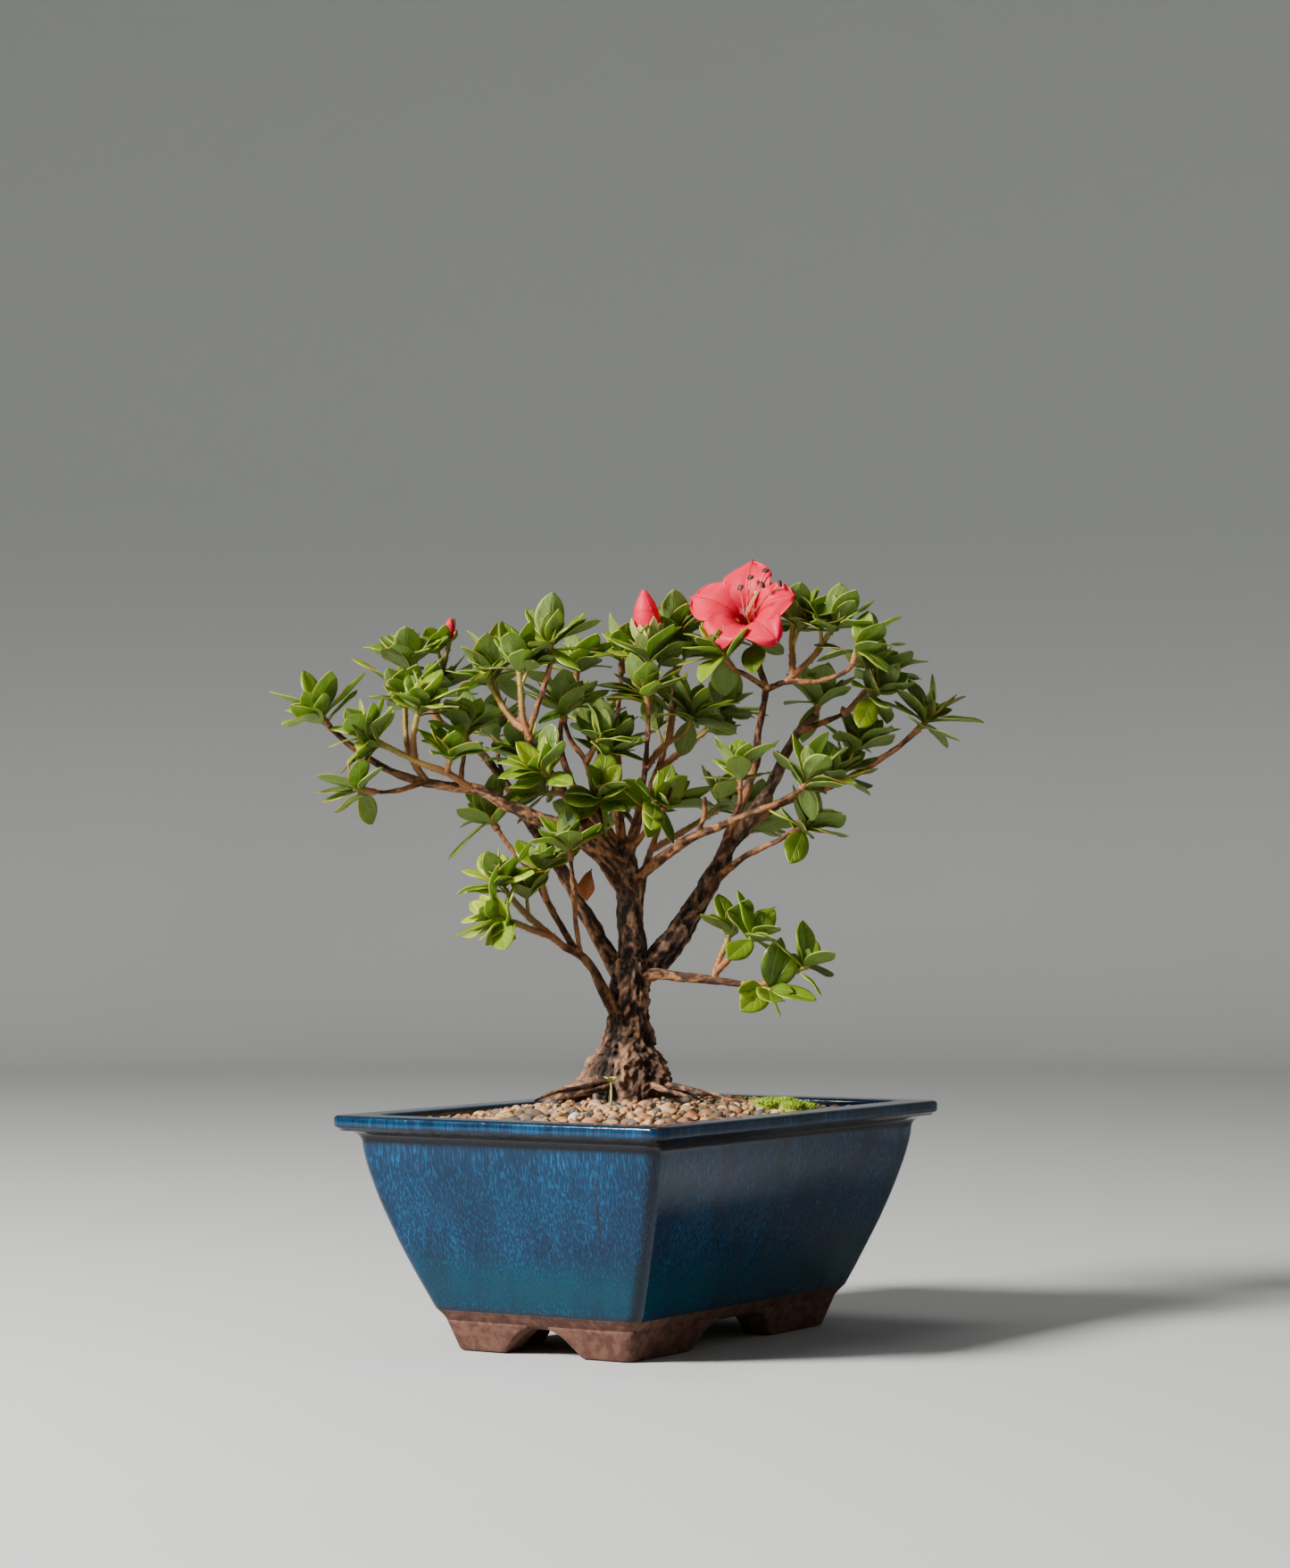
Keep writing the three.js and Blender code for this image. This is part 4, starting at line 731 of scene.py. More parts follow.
def ring_points(rings: Sequence[np.ndarray]) -> np.ndarray:
    """Points of rings, then the middles of the first and the last ring."""
    return np.vstack([*rings, rings[0].mean(0, keepdims=True), rings[-1].mean(0, keepdims=True)])


def ring_faces(rings: int, sides: int) -> np.ndarray:
    """Faces over rings, with a fan to a middle point over each end.

    Args:
        rings: How many rings there are.
        sides: Points in each ring; the two middle points follow the last ring.

    Returns:
        Rows of four point numbers, the last two alike in a triangle.
    """
    around = np.arange(sides)
    nxt = (around + 1) % sides
    total = rings * sides
    last = total - sides
    start = np.stack([np.full(sides, total), nxt, around, around], 1)
    end = np.stack([np.full(sides, total + 1), last + around, last + nxt, last + nxt], 1)
    return np.vstack([grid_faces(rings, sides, closed=True), start, end])


# How far a tube's surface stands out, from its radius, the distance along it
# and the angle round it.
Relief = Callable[[np.ndarray, np.ndarray, np.ndarray], np.ndarray]


def tube_skin(
    path: np.ndarray,
    radii: np.ndarray,
    sides: int,
    relief: Relief | None = None,
    blunt: bool = False,
) -> Skin:
    """A closed tube along a path.

    Args:
        path: Centre line.
        radii: Radius at each point of the path.
        sides: Points round the tube.
        relief: How far the surface stands out.
        blunt: Whether the far end is rounded off rather than flat.

    Returns:
        The tube, its ends closed by fans.
    """
    tangents = unit(np.gradient(path, axis=0))
    normal = across(tangents[0])[0]
    angles = np.linspace(0, FULL_TURN, sides, endpoint=False)
    rings = []
    lifts = []
    for centre, tangent, radius, along in zip(path, tangents, radii, distances(path)):
        normal = unit(normal - tangent * float(normal @ tangent))
        out = spokes(normal, np.cross(tangent, normal), angles)
        lift = np.zeros(sides)
        if relief is not None:
            lift = relief(np.full(sides, radius), np.full(sides, along), angles)
        rings.append(centre + out * (radius + lift)[:, None])
        lifts.append(lift)
    if blunt:
        tip = path[-1] + tangents[-1] * radii[-1] * 0.7
        rings.append(tip + (rings[-1] - path[-1]) * 0.45)
        lifts.append(lifts[-1])
    marks = {"lift": np.concatenate([*lifts, [0.0, 0.0]])}
    return Skin(ring_points(rings), ring_faces(len(rings), sides), marks)


def thick_sheet(
    top: np.ndarray,
    thickness: float,
    rows: int,
    columns: int,
    marks: dict[str, np.ndarray],
) -> Skin:
    """A thin sheet with two faces and a rim.

    Args:
        top: Points of the upper face, row by row.
        thickness: Distance between the faces.
        rows: Points along the sheet.
        columns: Points across it.
        marks: Values at the points, given to both faces.

    Returns:
        The closed sheet; its mark "under" is 1 on the lower face.
    """
    grid = top.reshape(rows, columns, 3)
    along = np.gradient(grid, axis=0)
    wide = np.gradient(grid, axis=1)
    normal = np.cross(wide, along)
    length = np.linalg.norm(normal, axis=2, keepdims=True)
    normal = np.where(length > 1e-12, normal / np.maximum(length, 1e-12), 0)
    normal[0] = normal[1]
    normal[-1] = normal[-2]
    bottom = (grid - normal * thickness).reshape(-1, 3)
    count = rows * columns
    upper = grid_faces(rows, columns)
    ring = list(range(columns))
    ring += [r * columns + columns - 1 for r in range(1, rows)]
    ring += [(rows - 1) * columns + c for c in range(columns - 2, -1, -1)]
    ring += [r * columns for r in range(rows - 2, 0, -1)]
    border = np.array(ring)
    nxt = np.roll(border, -1)
    rim = np.stack([border, border + count, nxt + count, nxt], 1)
    faces = np.vstack([upper, upper[:, ::-1] + count, rim])
    both = {name: np.concatenate([value, value]) for name, value in marks.items()}
    both["under"] = np.concatenate([np.zeros(count), np.ones(count)])
    return Skin(np.vstack([top, bottom]), faces, both)


class Maker:
    """Gathers skins in millimetres and makes one object of them."""

    def __init__(self, name: str) -> None:
        """Starts an empty piece."""
        self.name = name
        self.skins: list[Skin] = []

    def add(self, skin: Skin, **marks: float) -> None:
        """Adds a skin.

        Args:
            skin: The surface.
            **marks: Values given to all its points.
        """
        for name, value in marks.items():
            skin.marks[name] = np.full(len(skin.points), float(value))
        self.skins.append(skin)

    def build(self, finishes: Sequence[bpy.types.Material], smooth: bool = True) -> bpy.types.Object:
        """Makes the object.

        Args:
            finishes: Materials, in the order that the skins' finish numbers say.
            smooth: Whether the faces are shaded smooth.

        Returns:
            The new object, linked to the scene.
        """
        starts = np.cumsum([0, *[len(skin.points) for skin in self.skins]])
        points = np.vstack([skin.points for skin in self.skins]) * MM
        faces: list[list[int]] = []
        numbers: list[int] = []
        for skin, start in zip(self.skins, starts):
            for face in (skin.faces + start).tolist():
                faces.append(face[:3] if face[2] == face[3] else face)
            numbers += [skin.finish] * len(skin.faces)
        mesh = bpy.data.meshes.new(self.name)
        mesh.from_pydata(points.tolist(), [], faces)
        mesh.polygons.foreach_set("material_index", numbers)
        mesh.polygons.foreach_set("use_smooth", [smooth] * len(faces))
        for name in sorted({name for skin in self.skins for name in skin.marks}):
            values = [skin.marks.get(name, np.zeros(len(skin.points))) for skin in self.skins]
            write_mark(mesh, name, np.concatenate(values))
        for finish in finishes:
            mesh.materials.append(finish)
        mesh.validate()
        face_out(mesh)
        return new_object(self.name, mesh)


def write_mark(mesh: bpy.types.Mesh, name: str, values: np.ndarray) -> None:
    """Stores one value for each point of a mesh, which a finish reads."""
    if name in mesh.attributes:
        mesh.attributes.remove(mesh.attributes[name])
    layer = mesh.attributes.new(name, "FLOAT", "POINT")
    layer.data.foreach_set("value", values.astype(np.float32))


def new_object(name: str, data: bpy.types.ID) -> bpy.types.Object:
    """An object of a mesh, lamp or camera, linked to the scene."""
    made = bpy.data.objects.new(name, data)
    bpy.context.scene.collection.objects.link(made)
    return made


def face_out(mesh: bpy.types.Mesh) -> None:
    """Turns every closed skin of a mesh to face outwards."""
    work = bmesh.new()
    work.from_mesh(mesh)
    bmesh.ops.recalc_face_normals(work, faces=work.faces)
    work.to_mesh(mesh)
    work.free()
    mesh.update()


def place(piece: bpy.types.Object, slot: str, *nodes: str) -> None:
    """Rides a piece on the tree's one body, in place of its nodes.

    Args:
        piece: The finished piece.
        slot: A material slot's name; not used.
        *nodes: Nodes that the piece stands for.
    """
    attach(piece, "root")
    if nodes:
        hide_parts(*nodes)
    log.info("%s: %d faces", piece.name, len(piece.data.polygons))


@dataclass(frozen=True)
class PotFrame:
    """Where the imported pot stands, in millimetres of the row frame."""

    nodes: dict[str, bpy.types.Object]
    centre_x: float
    centre_y: float
    length: float
    width: float
    rim: float

    @staticmethod
    def read(nodes: dict[str, bpy.types.Object]) -> PotFrame:
        """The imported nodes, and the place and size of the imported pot."""
        low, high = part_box("pot")
        return PotFrame(
            nodes,
            (low.x + high.x) / 2 / MM,
            (low.y + high.y) / 2 / MM,
            (high.x - low.x) / MM,
            (high.y - low.y) / MM,
            high.z / MM,
        )

    def from_tree(self, points: Sequence) -> np.ndarray:
        """Points or one point in the tree's axes, in the row frame."""
        laid = np.asarray(points, float)
        x, y, z = laid[..., 0], laid[..., 1], laid[..., 2]
        c, s = math.cos(TREE_TURN), math.sin(TREE_TURN)
        return np.stack(
            [self.centre_x + c * x - s * y, self.centre_y + s * x + c * y, self.rim + z - SHAPE_RIM], -1
        )

    def direction(self, vector: Sequence[float]) -> np.ndarray:
        """A direction in the tree's axes, in the row frame, with length 1."""
        x, y, z = vector
        c, s = math.cos(TREE_TURN), math.sin(TREE_TURN)
        return unit(np.array([c * x - s * y, s * x + c * y, z]))

    def from_pot(self, points: np.ndarray) -> np.ndarray:
        """Points measured from the pot's middle, in the row frame."""
        return points + np.array([self.centre_x, self.centre_y, 0.0])


# ---- Shared effects -----------------------------------------------------


class Wiring:
    """Adds nodes to one node tree and links them."""

    def __init__(self, tree: bpy.types.NodeTree) -> None:
        """Works on a tree."""
        self.tree = tree

    def node(self, kind: str, props: dict[str, object] | None = None, **sockets: object) -> bpy.types.Node:
        """Adds a node.

        Args:
            kind: Node type after "ShaderNode".
            props: Attributes to set on the node.
            **sockets: Values or output sockets for its inputs; an underscore
                in a name stands for a space.

        Returns:
            The node.
        """
        made = self.tree.nodes.new("ShaderNode" + kind)
        for name, value in (props or {}).items():
            setattr(made, name, value)
        for name, value in sockets.items():
            self.feed(made.inputs[name.replace("_", " ")], value)
        return made

    def feed(self, socket: bpy.types.NodeSocket, value: object) -> None:
        """Links an output socket to an input, or sets the input's value."""
        if isinstance(value, bpy.types.NodeSocket):
            self.tree.links.new(value, socket)
        else:
            socket.default_value = value

    def mix(self, factor: object, a: object, b: object, how: str = "MIX") -> bpy.types.NodeSocket:
        """A colour between a and b, or b blended on a."""
        made = self.tree.nodes.new("ShaderNodeMix")
        made.data_type = "RGBA"
        made.blend_type = how
        self.feed(made.inputs[0], factor)
        self.feed(made.inputs[6], a)
        self.feed(made.inputs[7], b)
        return made.outputs[2]

    def maths(self, how: str, a: object, b: object = 0.0) -> bpy.types.NodeSocket:
        """The result of an operation on two numbers."""
        made = self.tree.nodes.new("ShaderNodeMath")
        made.operation = how
        self.feed(made.inputs[0], a)
        self.feed(made.inputs[1], b)
        return made.outputs[0]

    def times(self, a: object, b: object) -> bpy.types.NodeSocket:
        """The product of two numbers."""
        return self.maths("MULTIPLY", a, b)

    def between(self, share: object, start: float, end: float) -> bpy.types.NodeSocket:
        """Eases from start to end as a share goes from 0 to 1."""
        return self.ramp(share, 0.0, 1.0, start, end)

    def ramp(
        self,
        value: object,
        low: float,
        high: float,
        start: float = 0.0,
        end: float = 1.0,
    ) -> bpy.types.NodeSocket:
        """Eases from start to end as the value goes from low to high."""
        made = self.node("MapRange", {"interpolation_type": "SMOOTHSTEP"}, Value=value)
        for name, number in (("From Min", low), ("From Max", high), ("To Min", start), ("To Max", end)):
            made.inputs[name].default_value = number
        return made.outputs[0]

    def mark(self, name: str) -> bpy.types.NodeSocket:
        """A value that the mesh carries."""
        return self.node("Attribute", {"attribute_name": name}).outputs["Fac"]

    def group(self, group: bpy.types.NodeTree, **sockets: object) -> bpy.types.Node:
        """Places a shared effect."""
        made = self.tree.nodes.new("ShaderNodeGroup")
        made.node_tree = group
        for name, value in sockets.items():
            self.feed(made.inputs[name.replace("_", " ")], value)
        return made


def new_group(
    name: str,
    takes: dict[str, float],
    gives: Sequence[str],
) -> tuple[bpy.types.NodeTree, Wiring, dict, dict]:
    """Starts a shared effect.

    Args:
        name: The group's name.
        takes: Its inputs and their first values.
        gives: Its outputs.

    Returns:
        The group, its wiring, its inputs by name and its output sockets by name.
    """
    tree = bpy.data.node_groups.new(name, "ShaderNodeTree")
    for label, value in takes.items():
        socket = tree.interface.new_socket(name=label, in_out="INPUT", socket_type="NodeSocketFloat")
        socket.default_value = value
    for label in gives:
        tree.interface.new_socket(name=label, in_out="OUTPUT", socket_type="NodeSocketFloat")
    way_in = tree.nodes.new("NodeGroupInput")
    way_out = tree.nodes.new("NodeGroupOutput")
    ins = {label: way_in.outputs[label] for label in takes}
    outs = {label: way_out.inputs[label] for label in gives}
    return tree, Wiring(tree), ins, outs


class Effects:
    """The effects that several finishes share, each built once."""

    def __init__(self) -> None:
        """Builds the groups."""
        self.cloud = self._cloud()
        self.grain = self._grain()
        self.veins = self._veins()
        self.settled = self._settled()

    def _cloud(self) -> bpy.types.NodeTree:
        """Soft patches, stretched along Z if asked."""
        takes = {"Size": 0.01, "Stretch": 1.0, "Low": 0.4, "High": 0.6}
        tree, wire, ins, outs = new_group("Soft patches", takes, ["Mask"])
        place_at = wire.node("TexCoord").outputs["Object"]
        apart = wire.node("SeparateXYZ", Vector=place_at)
        tall = wire.maths("DIVIDE", apart.outputs["Z"], ins["Stretch"])
        again = wire.node("CombineXYZ", X=apart.outputs["X"], Y=apart.outputs["Y"], Z=tall)
        scale = wire.maths("DIVIDE", 1.0, ins["Size"])
        noise = wire.node("TexNoise", Vector=again.outputs[0], Scale=scale, Detail=4.0, Roughness=0.55)
        rise = wire.node("MapRange", {"interpolation_type": "SMOOTHSTEP"}, Value=noise.outputs[0])
        wire.feed(rise.inputs["From Min"], ins["Low"])
        wire.feed(rise.inputs["From Max"], ins["High"])
        wire.feed(outs["Mask"], rise.outputs[0])
        return tree

    def _grain(self) -> bpy.types.NodeTree:
        """Fine pits and grains as a height."""
        tree, wire, ins, outs = new_group("Fine grain", {"Size": 0.001, "Pits": 0.5}, ["Height"])
        place_at = wire.node("TexCoord").outputs["Object"]
        scale = wire.maths("DIVIDE", 1.0, ins["Size"])
        noise = wire.node("TexNoise", Vector=place_at, Scale=scale, Detail=5.0, Roughness=0.6)
        cells = wire.node("TexVoronoi", Vector=place_at, Scale=scale)
        pits = wire.ramp(cells.outputs["Distance"], 0.0, 0.35)
        mixed = wire.node("Mix", {"data_type": "FLOAT"})
        wire.feed(mixed.inputs[0], ins["Pits"])
        wire.feed(mixed.inputs[2], noise.outputs[0])
        wire.feed(mixed.inputs[3], pits)
        wire.feed(outs["Height"], mixed.outputs[0])
        return tree

    def _veins(self) -> bpy.types.NodeTree:
        """Midrib, side veins and margin of a leaf or petal."""
        takes = {"Pairs": 6.0, "Slant": 0.35, "Rib": 0.06}
        tree, wire, ins, outs = new_group("Veins", takes, ["Midrib", "Veins", "Margin"])
        along = wire.mark("along")
        away = wire.maths("ABSOLUTE", wire.mark("across"))
        rib = wire.node("MapRange", {"interpolation_type": "SMOOTHSTEP"}, Value=away)
        wire.feed(rib.inputs["From Max"], ins["Rib"])
        rib.inputs["To Min"].default_value = 1.0
        rib.inputs["To Max"].default_value = 0.0
        wire.feed(outs["Midrib"], rib.outputs[0])
        bent = wire.maths("SUBTRACT", along, wire.times(ins["Slant"], away))
        wave = wire.maths("SINE", wire.times(bent, wire.times(ins["Pairs"], FULL_TURN)))
        ridge = wire.ramp(wave, 0.72, 1.0)
        wire.feed(outs["Veins"], wire.times(ridge, wire.ramp(away, 1.0, 0.6)))
        wire.feed(outs["Margin"], wire.ramp(away, 0.86, 1.0))
        return tree

    def _settled(self) -> bpy.types.NodeTree:
        """Dust that settles on faces that look up."""
        tree, wire, ins, outs = new_group("Settled dust", {"Amount": 0.4}, ["Mask"])
        normal = wire.node("NewGeometry").outputs["Normal"]
        up = wire.ramp(wire.node("SeparateXYZ", Vector=normal).outputs["Z"], 0.2, 1.0)
        place_at = wire.node("TexCoord").outputs["Object"]
        noise = wire.node("TexNoise", Vector=place_at, Scale=120.0, Detail=4.0)
        patchy = wire.ramp(noise.outputs[0], 0.4, 0.65)
        wire.feed(outs["Mask"], wire.times(wire.times(up, patchy), ins["Amount"]))
        return tree


Colour = tuple[float, float, float, float]


def rgb(red: float, green: float, blue: float) -> Colour:
    """A solid colour."""
    return (red, green, blue, 1.0)


def new_material(name: str) -> tuple[bpy.types.Material, Wiring, bpy.types.Node]:
    """A material with one Principled shader on its output.

    Args:
        name: The material's name.

    Returns:
        The material, its wiring and its shader.
    """
    made = bpy.data.materials.new(name)
    made.use_nodes = True
    made.node_tree.nodes.clear()
    wire = Wiring(made.node_tree)
    shader = wire.node("BsdfPrincipled")
    wire.node("OutputMaterial", Surface=shader.outputs[0])
    return made, wire, shader


@dataclass(frozen=True)
class Finish:
    """A named material built on one Principled shader."""

    effects: Effects

    def bump(
        self,
        wire: Wiring,
        shader: bpy.types.Node,
        height: object,
        distance: float,
        strength: float = 0.6,
    ) -> None:
        """Gives the shader a fine relief of a height, in metres."""
        made = wire.node("Bump", Height=height, Distance=distance, Strength=strength)
        wire.feed(shader.inputs["Normal"], made.outputs[0])

    def let_light_through(self, wire: Wiring, shader: bpy.types.Node, colour: object, share: float) -> None:
        """Mixes in light that comes through from behind."""
        behind = wire.node("BsdfTranslucent", Color=colour)
        both = wire.node("MixShader")
        both.inputs[0].default_value = share
        wire.feed(both.inputs[1], shader.outputs[0])
        wire.feed(both.inputs[2], behind.outputs[0])
        out = next(n for n in wire.tree.nodes if n.bl_idname == "ShaderNodeOutputMaterial")
        wire.feed(out.inputs["Surface"], both.outputs[0])


@dataclass(frozen=True)
class PotGlaze(Finish):
    """Deep blue glaze that runs in azure streaks, over bare red-brown clay."""

    deep: Colour = rgb(0.001, 0.006, 0.018)
    azure: Colour = rgb(0.004, 0.105, 0.25)
    teal: Colour = rgb(0.001, 0.034, 0.05)
    thin: Colour = rgb(0.008, 0.007, 0.008)
    clay: Colour = rgb(0.07, 0.028, 0.019)
    clay_light: Colour = rgb(0.125, 0.058, 0.038)

    def make(self) -> bpy.types.Material:
        """The pot's material."""
        made, wire, shader = new_material("Blue glaze and bare clay")
        streak = wire.group(self.effects.cloud, Size=0.0006, Stretch=48.0, Low=0.42, High=0.74)
        wide = wire.group(self.effects.cloud, Size=0.016, Stretch=3.0, Low=0.3, High=0.72)
        speck = wire.group(self.effects.cloud, Size=0.0011, Stretch=1.5, Low=0.68, High=0.74)
        narrow = wire.between(streak.outputs[0], 0.12, 0.62)
        both = wire.times(narrow, wire.between(wide.outputs[0], 0.5, 1.0))
        blue = wire.mix(both, self.deep, self.azure)
        sink = wire.times(wire.mark("low"), wire.between(wide.outputs[0], 0.55, 1.0))
        blue = wire.mix(sink, blue, self.teal)
        blue = wire.mix(wire.times(speck.outputs[0], 0.7), blue, self.thin)
        blue = wire.mix(wire.mark("scar"), blue, self.thin)
        blue = wire.mix(wire.ramp(wire.mark("thin"), 0.15, 0.9), blue, self.thin)
        patch = wire.group(self.effects.cloud, Size=0.004, Low=0.38, High=0.64)
        fired = wire.mix(patch.outputs[0], self.clay, self.clay_light)
        grain = wire.group(self.effects.grain, Size=0.0007, Pits=0.35)
        pitted = wire.ramp(grain.outputs[0], 0.35, 0.75)
        fired = wire.mix(pitted, wire.mix(0.5, fired, rgb(0.04, 0.02, 0.015)), fired)
        glazed = wire.ramp(wire.mark("glazed"), 0.45, 0.55)
        wire.feed(shader.inputs["Base Color"], wire.mix(glazed, fired, blue))
        rough = wire.maths("ADD", 0.09, wire.times(wide.outputs[0], 0.06))
        blend = wire.node("Mix", {"data_type": "FLOAT"})
        wire.feed(blend.inputs[0], glazed)
        wire.feed(blend.inputs[2], wire.ramp(grain.outputs[0], 0.2, 0.8, 0.7, 0.92))
        wire.feed(blend.inputs[3], rough)
        wire.feed(shader.inputs["Roughness"], blend.outputs[0])
        wire.feed(shader.inputs["Coat Weight"], wire.times(glazed, 0.06))
        shader.inputs["Coat Roughness"].default_value = 0.04
        shader.inputs["Specular IOR Level"].default_value = 0.3
        shader.inputs["IOR"].default_value = 1.46
        ripple = wire.group(self.effects.cloud, Size=0.005, Stretch=3.0, Low=0.0, High=1.0)
        height = wire.node("Mix", {"data_type": "FLOAT"})
        wire.feed(height.inputs[0], glazed)
        wire.feed(height.inputs[2], grain.outputs[0])
        wire.feed(height.inputs[3], wire.times(ripple.outputs[0], 0.35))
        self.bump(wire, shader, height.outputs[0], 0.0005, 0.55)
        return made


@dataclass(frozen=True)
class Bark(Finish):
    """Flaky bark: its own dark furrows deepened to near black as painted shade, tan crests lightened as
    painted highlight, orange on twigs.
    """

    # Near-black furrow colour: the bark's dark furrows with painted shade in them.
    furrow_and_shade: Colour = rgb(0.012, 0.007, 0.005)
    plate: Colour = rgb(0.085, 0.044, 0.025)
    # Ridge colour: the plates' own tan, lightened as painted highlight.
    ridge: Colour = rgb(0.36, 0.17, 0.075)
    twig: Colour = rgb(0.28, 0.105, 0.028)

    def make(self) -> bpy.types.Material:
        """The wood's material."""
        made, wire, shader = new_material("Flaky bark")
        crest = wire.mark("lift")
        patch = wire.group(self.effects.cloud, Size=0.0018, Stretch=2.0, Low=0.36, High=0.64)
        fine = wire.group(self.effects.grain, Size=0.0009, Pits=0.3)
        # Painted shade low in the relief, and below it a painted highlight high on it, over the bark's own
        # colours.
        colour = wire.mix(wire.ramp(crest, -0.7, 0.15), self.furrow_and_shade, self.plate)
        warm = wire.mix(patch.outputs[0], rgb(0.17, 0.1, 0.062), self.ridge)
        colour = wire.mix(wire.ramp(crest, 0.1, 0.85), colour, warm)
        # Fine pits take the near-black furrow colour as painted shade.
        colour = wire.mix(wire.ramp(fine.outputs[0], 0.55, 0.25, 0.0, 0.6), colour, self.furrow_and_shade)
        young = wire.times(wire.mark("young"), wire.between(patch.outputs[0], 0.65, 1.0))
        # Twigs are painted dark in their hollows as well, as shade.
        twig = wire.mix(wire.ramp(crest, -0.6, 0.6), rgb(0.06, 0.024, 0.01), self.twig)
        colour = wire.mix(young, colour, twig)
        dust = wire.group(self.effects.settled, Amount=0.05)
        colour = wire.mix(dust.outputs[0], colour, rgb(0.45, 0.4, 0.34))
        wire.feed(shader.inputs["Base Color"], colour)
        wire.feed(shader.inputs["Roughness"], wire.ramp(crest, -0.5, 0.8, 0.95, 0.68))
        shader.inputs["Specular IOR Level"].default_value = 0.32
        self.bump(wire, shader, fine.outputs[0], 0.0009, 0.9)
        return made


@dataclass(frozen=True)
class YoungStem(Finish):
    """Young stems: orange-brown, yellow-green at the newest growth."""

    old: Colour = rgb(0.27, 0.1, 0.028)
    new: Colour = rgb(0.3, 0.32, 0.035)

    def make(self) -> bpy.types.Material:
        """The young stems' material."""
        made, wire, shader = new_material("Young stem")
        patch = wire.group(self.effects.cloud, Size=0.003, Low=0.35, High=0.65)
        fresh = wire.times(wire.mark("fresh"), wire.between(patch.outputs[0], 0.6, 1.0))
        colour = wire.mix(fresh, self.old, self.new)
        fine = wire.group(self.effects.grain, Size=0.0006, Pits=0.4)
        colour = wire.mix(wire.ramp(fine.outputs[0], 0.6, 0.3, 0.0, 0.55), colour, rgb(0.1, 0.04, 0.02))
        wire.feed(shader.inputs["Base Color"], colour)
        shader.inputs["Roughness"].default_value = 0.62
        self.bump(wire, shader, fine.outputs[0], 0.0003)
        return made


@dataclass(frozen=True)
class LeafFinish(Finish):
    """Leaves: glossy green above, pale sage below, each a little different, with painted sunlight on the lit
    tufts.
    """

    dark: Colour = rgb(0.012, 0.045, 0.008)
    middle: Colour = rgb(0.15, 0.25, 0.008)
    light: Colour = rgb(0.44, 0.54, 0.012)
    below: Colour = rgb(0.2, 0.31, 0.06)
    rust: Colour = rgb(0.22, 0.06, 0.015)

    def make(self) -> bpy.types.Material:
        """The leaves' material."""
        made, wire, shader = new_material("Leaf")
        # tint: each leaf's own green, raised to yellow-green on tufts given painted sunlight.
        tint = wire.mark("tint")
        patch = wire.group(self.effects.cloud, Size=0.005, Low=0.35, High=0.65)
        top = wire.mix(wire.ramp(tint, 0.1, 0.55), self.dark, self.middle)
        top = wire.mix(wire.ramp(tint, 0.55, 1.0), top, self.light)
        paler = wire.mix(0.5, top, self.light)
        top = wire.mix(wire.times(patch.outputs[0], 0.4), top, paler)
        vein = wire.group(self.effects.veins, Pairs=5.5, Slant=0.32, Rib=0.07)
        top = wire.mix(wire.times(vein.outputs["Veins"], 0.35), top, rgb(0.22, 0.36, 0.03))
        top = wire.mix(wire.times(vein.outputs["Midrib"], 0.75), top, rgb(0.42, 0.55, 0.08))
        under = wire.mix(wire.times(patch.outputs[0], 0.6), self.below, rgb(0.3, 0.4, 0.1))
        under = wire.mix(wire.times(vein.outputs["Veins"], 0.4), under, rgb(0.4, 0.48, 0.14))
        under = wire.mix(wire.times(vein.outputs["Midrib"], 0.8), under, rgb(0.5, 0.54, 0.16))
        beneath = wire.mark("under")
        colour = wire.mix(beneath, top, under)
        edge = wire.times(vein.outputs["Margin"], wire.between(patch.outputs[0], 0.2, 0.9))
        margin = wire.mix(wire.mark("rust"), rgb(0.5, 0.5, 0.05), rgb(0.42, 0.07, 0.015))
        colour = wire.mix(edge, colour, margin)
        spots = wire.group(self.effects.cloud, Size=0.0026, Low=0.56, High=0.66)
        sick = wire.times(spots.outputs[0], wire.ramp(wire.mark("rust"), 0.5, 1.0))
        colour = wire.mix(wire.times(sick, 0.8), colour, self.rust)
        wire.feed(shader.inputs["Base Color"], colour)
        dull = wire.times(beneath, 0.25)
        rough = wire.maths("ADD", dull, wire.between(patch.outputs[0], 0.3, 0.42))
        wire.feed(shader.inputs["Roughness"], rough)
        shader.inputs["Specular IOR Level"].default_value = 0.55
        fine = wire.group(self.effects.grain, Size=0.0009, Pits=0.25)
        height = wire.maths("SUBTRACT", wire.times(fine.outputs[0], 0.35), vein.outputs["Veins"])
        height = wire.maths("SUBTRACT", height, wire.times(vein.outputs["Midrib"], 1.5))
        self.bump(wire, shader, height, 0.0004, 0.6)
        self.let_light_through(wire, shader, wire.mix(0.5, colour, rgb(0.5, 0.75, 0.02)), 0.4)
        return made


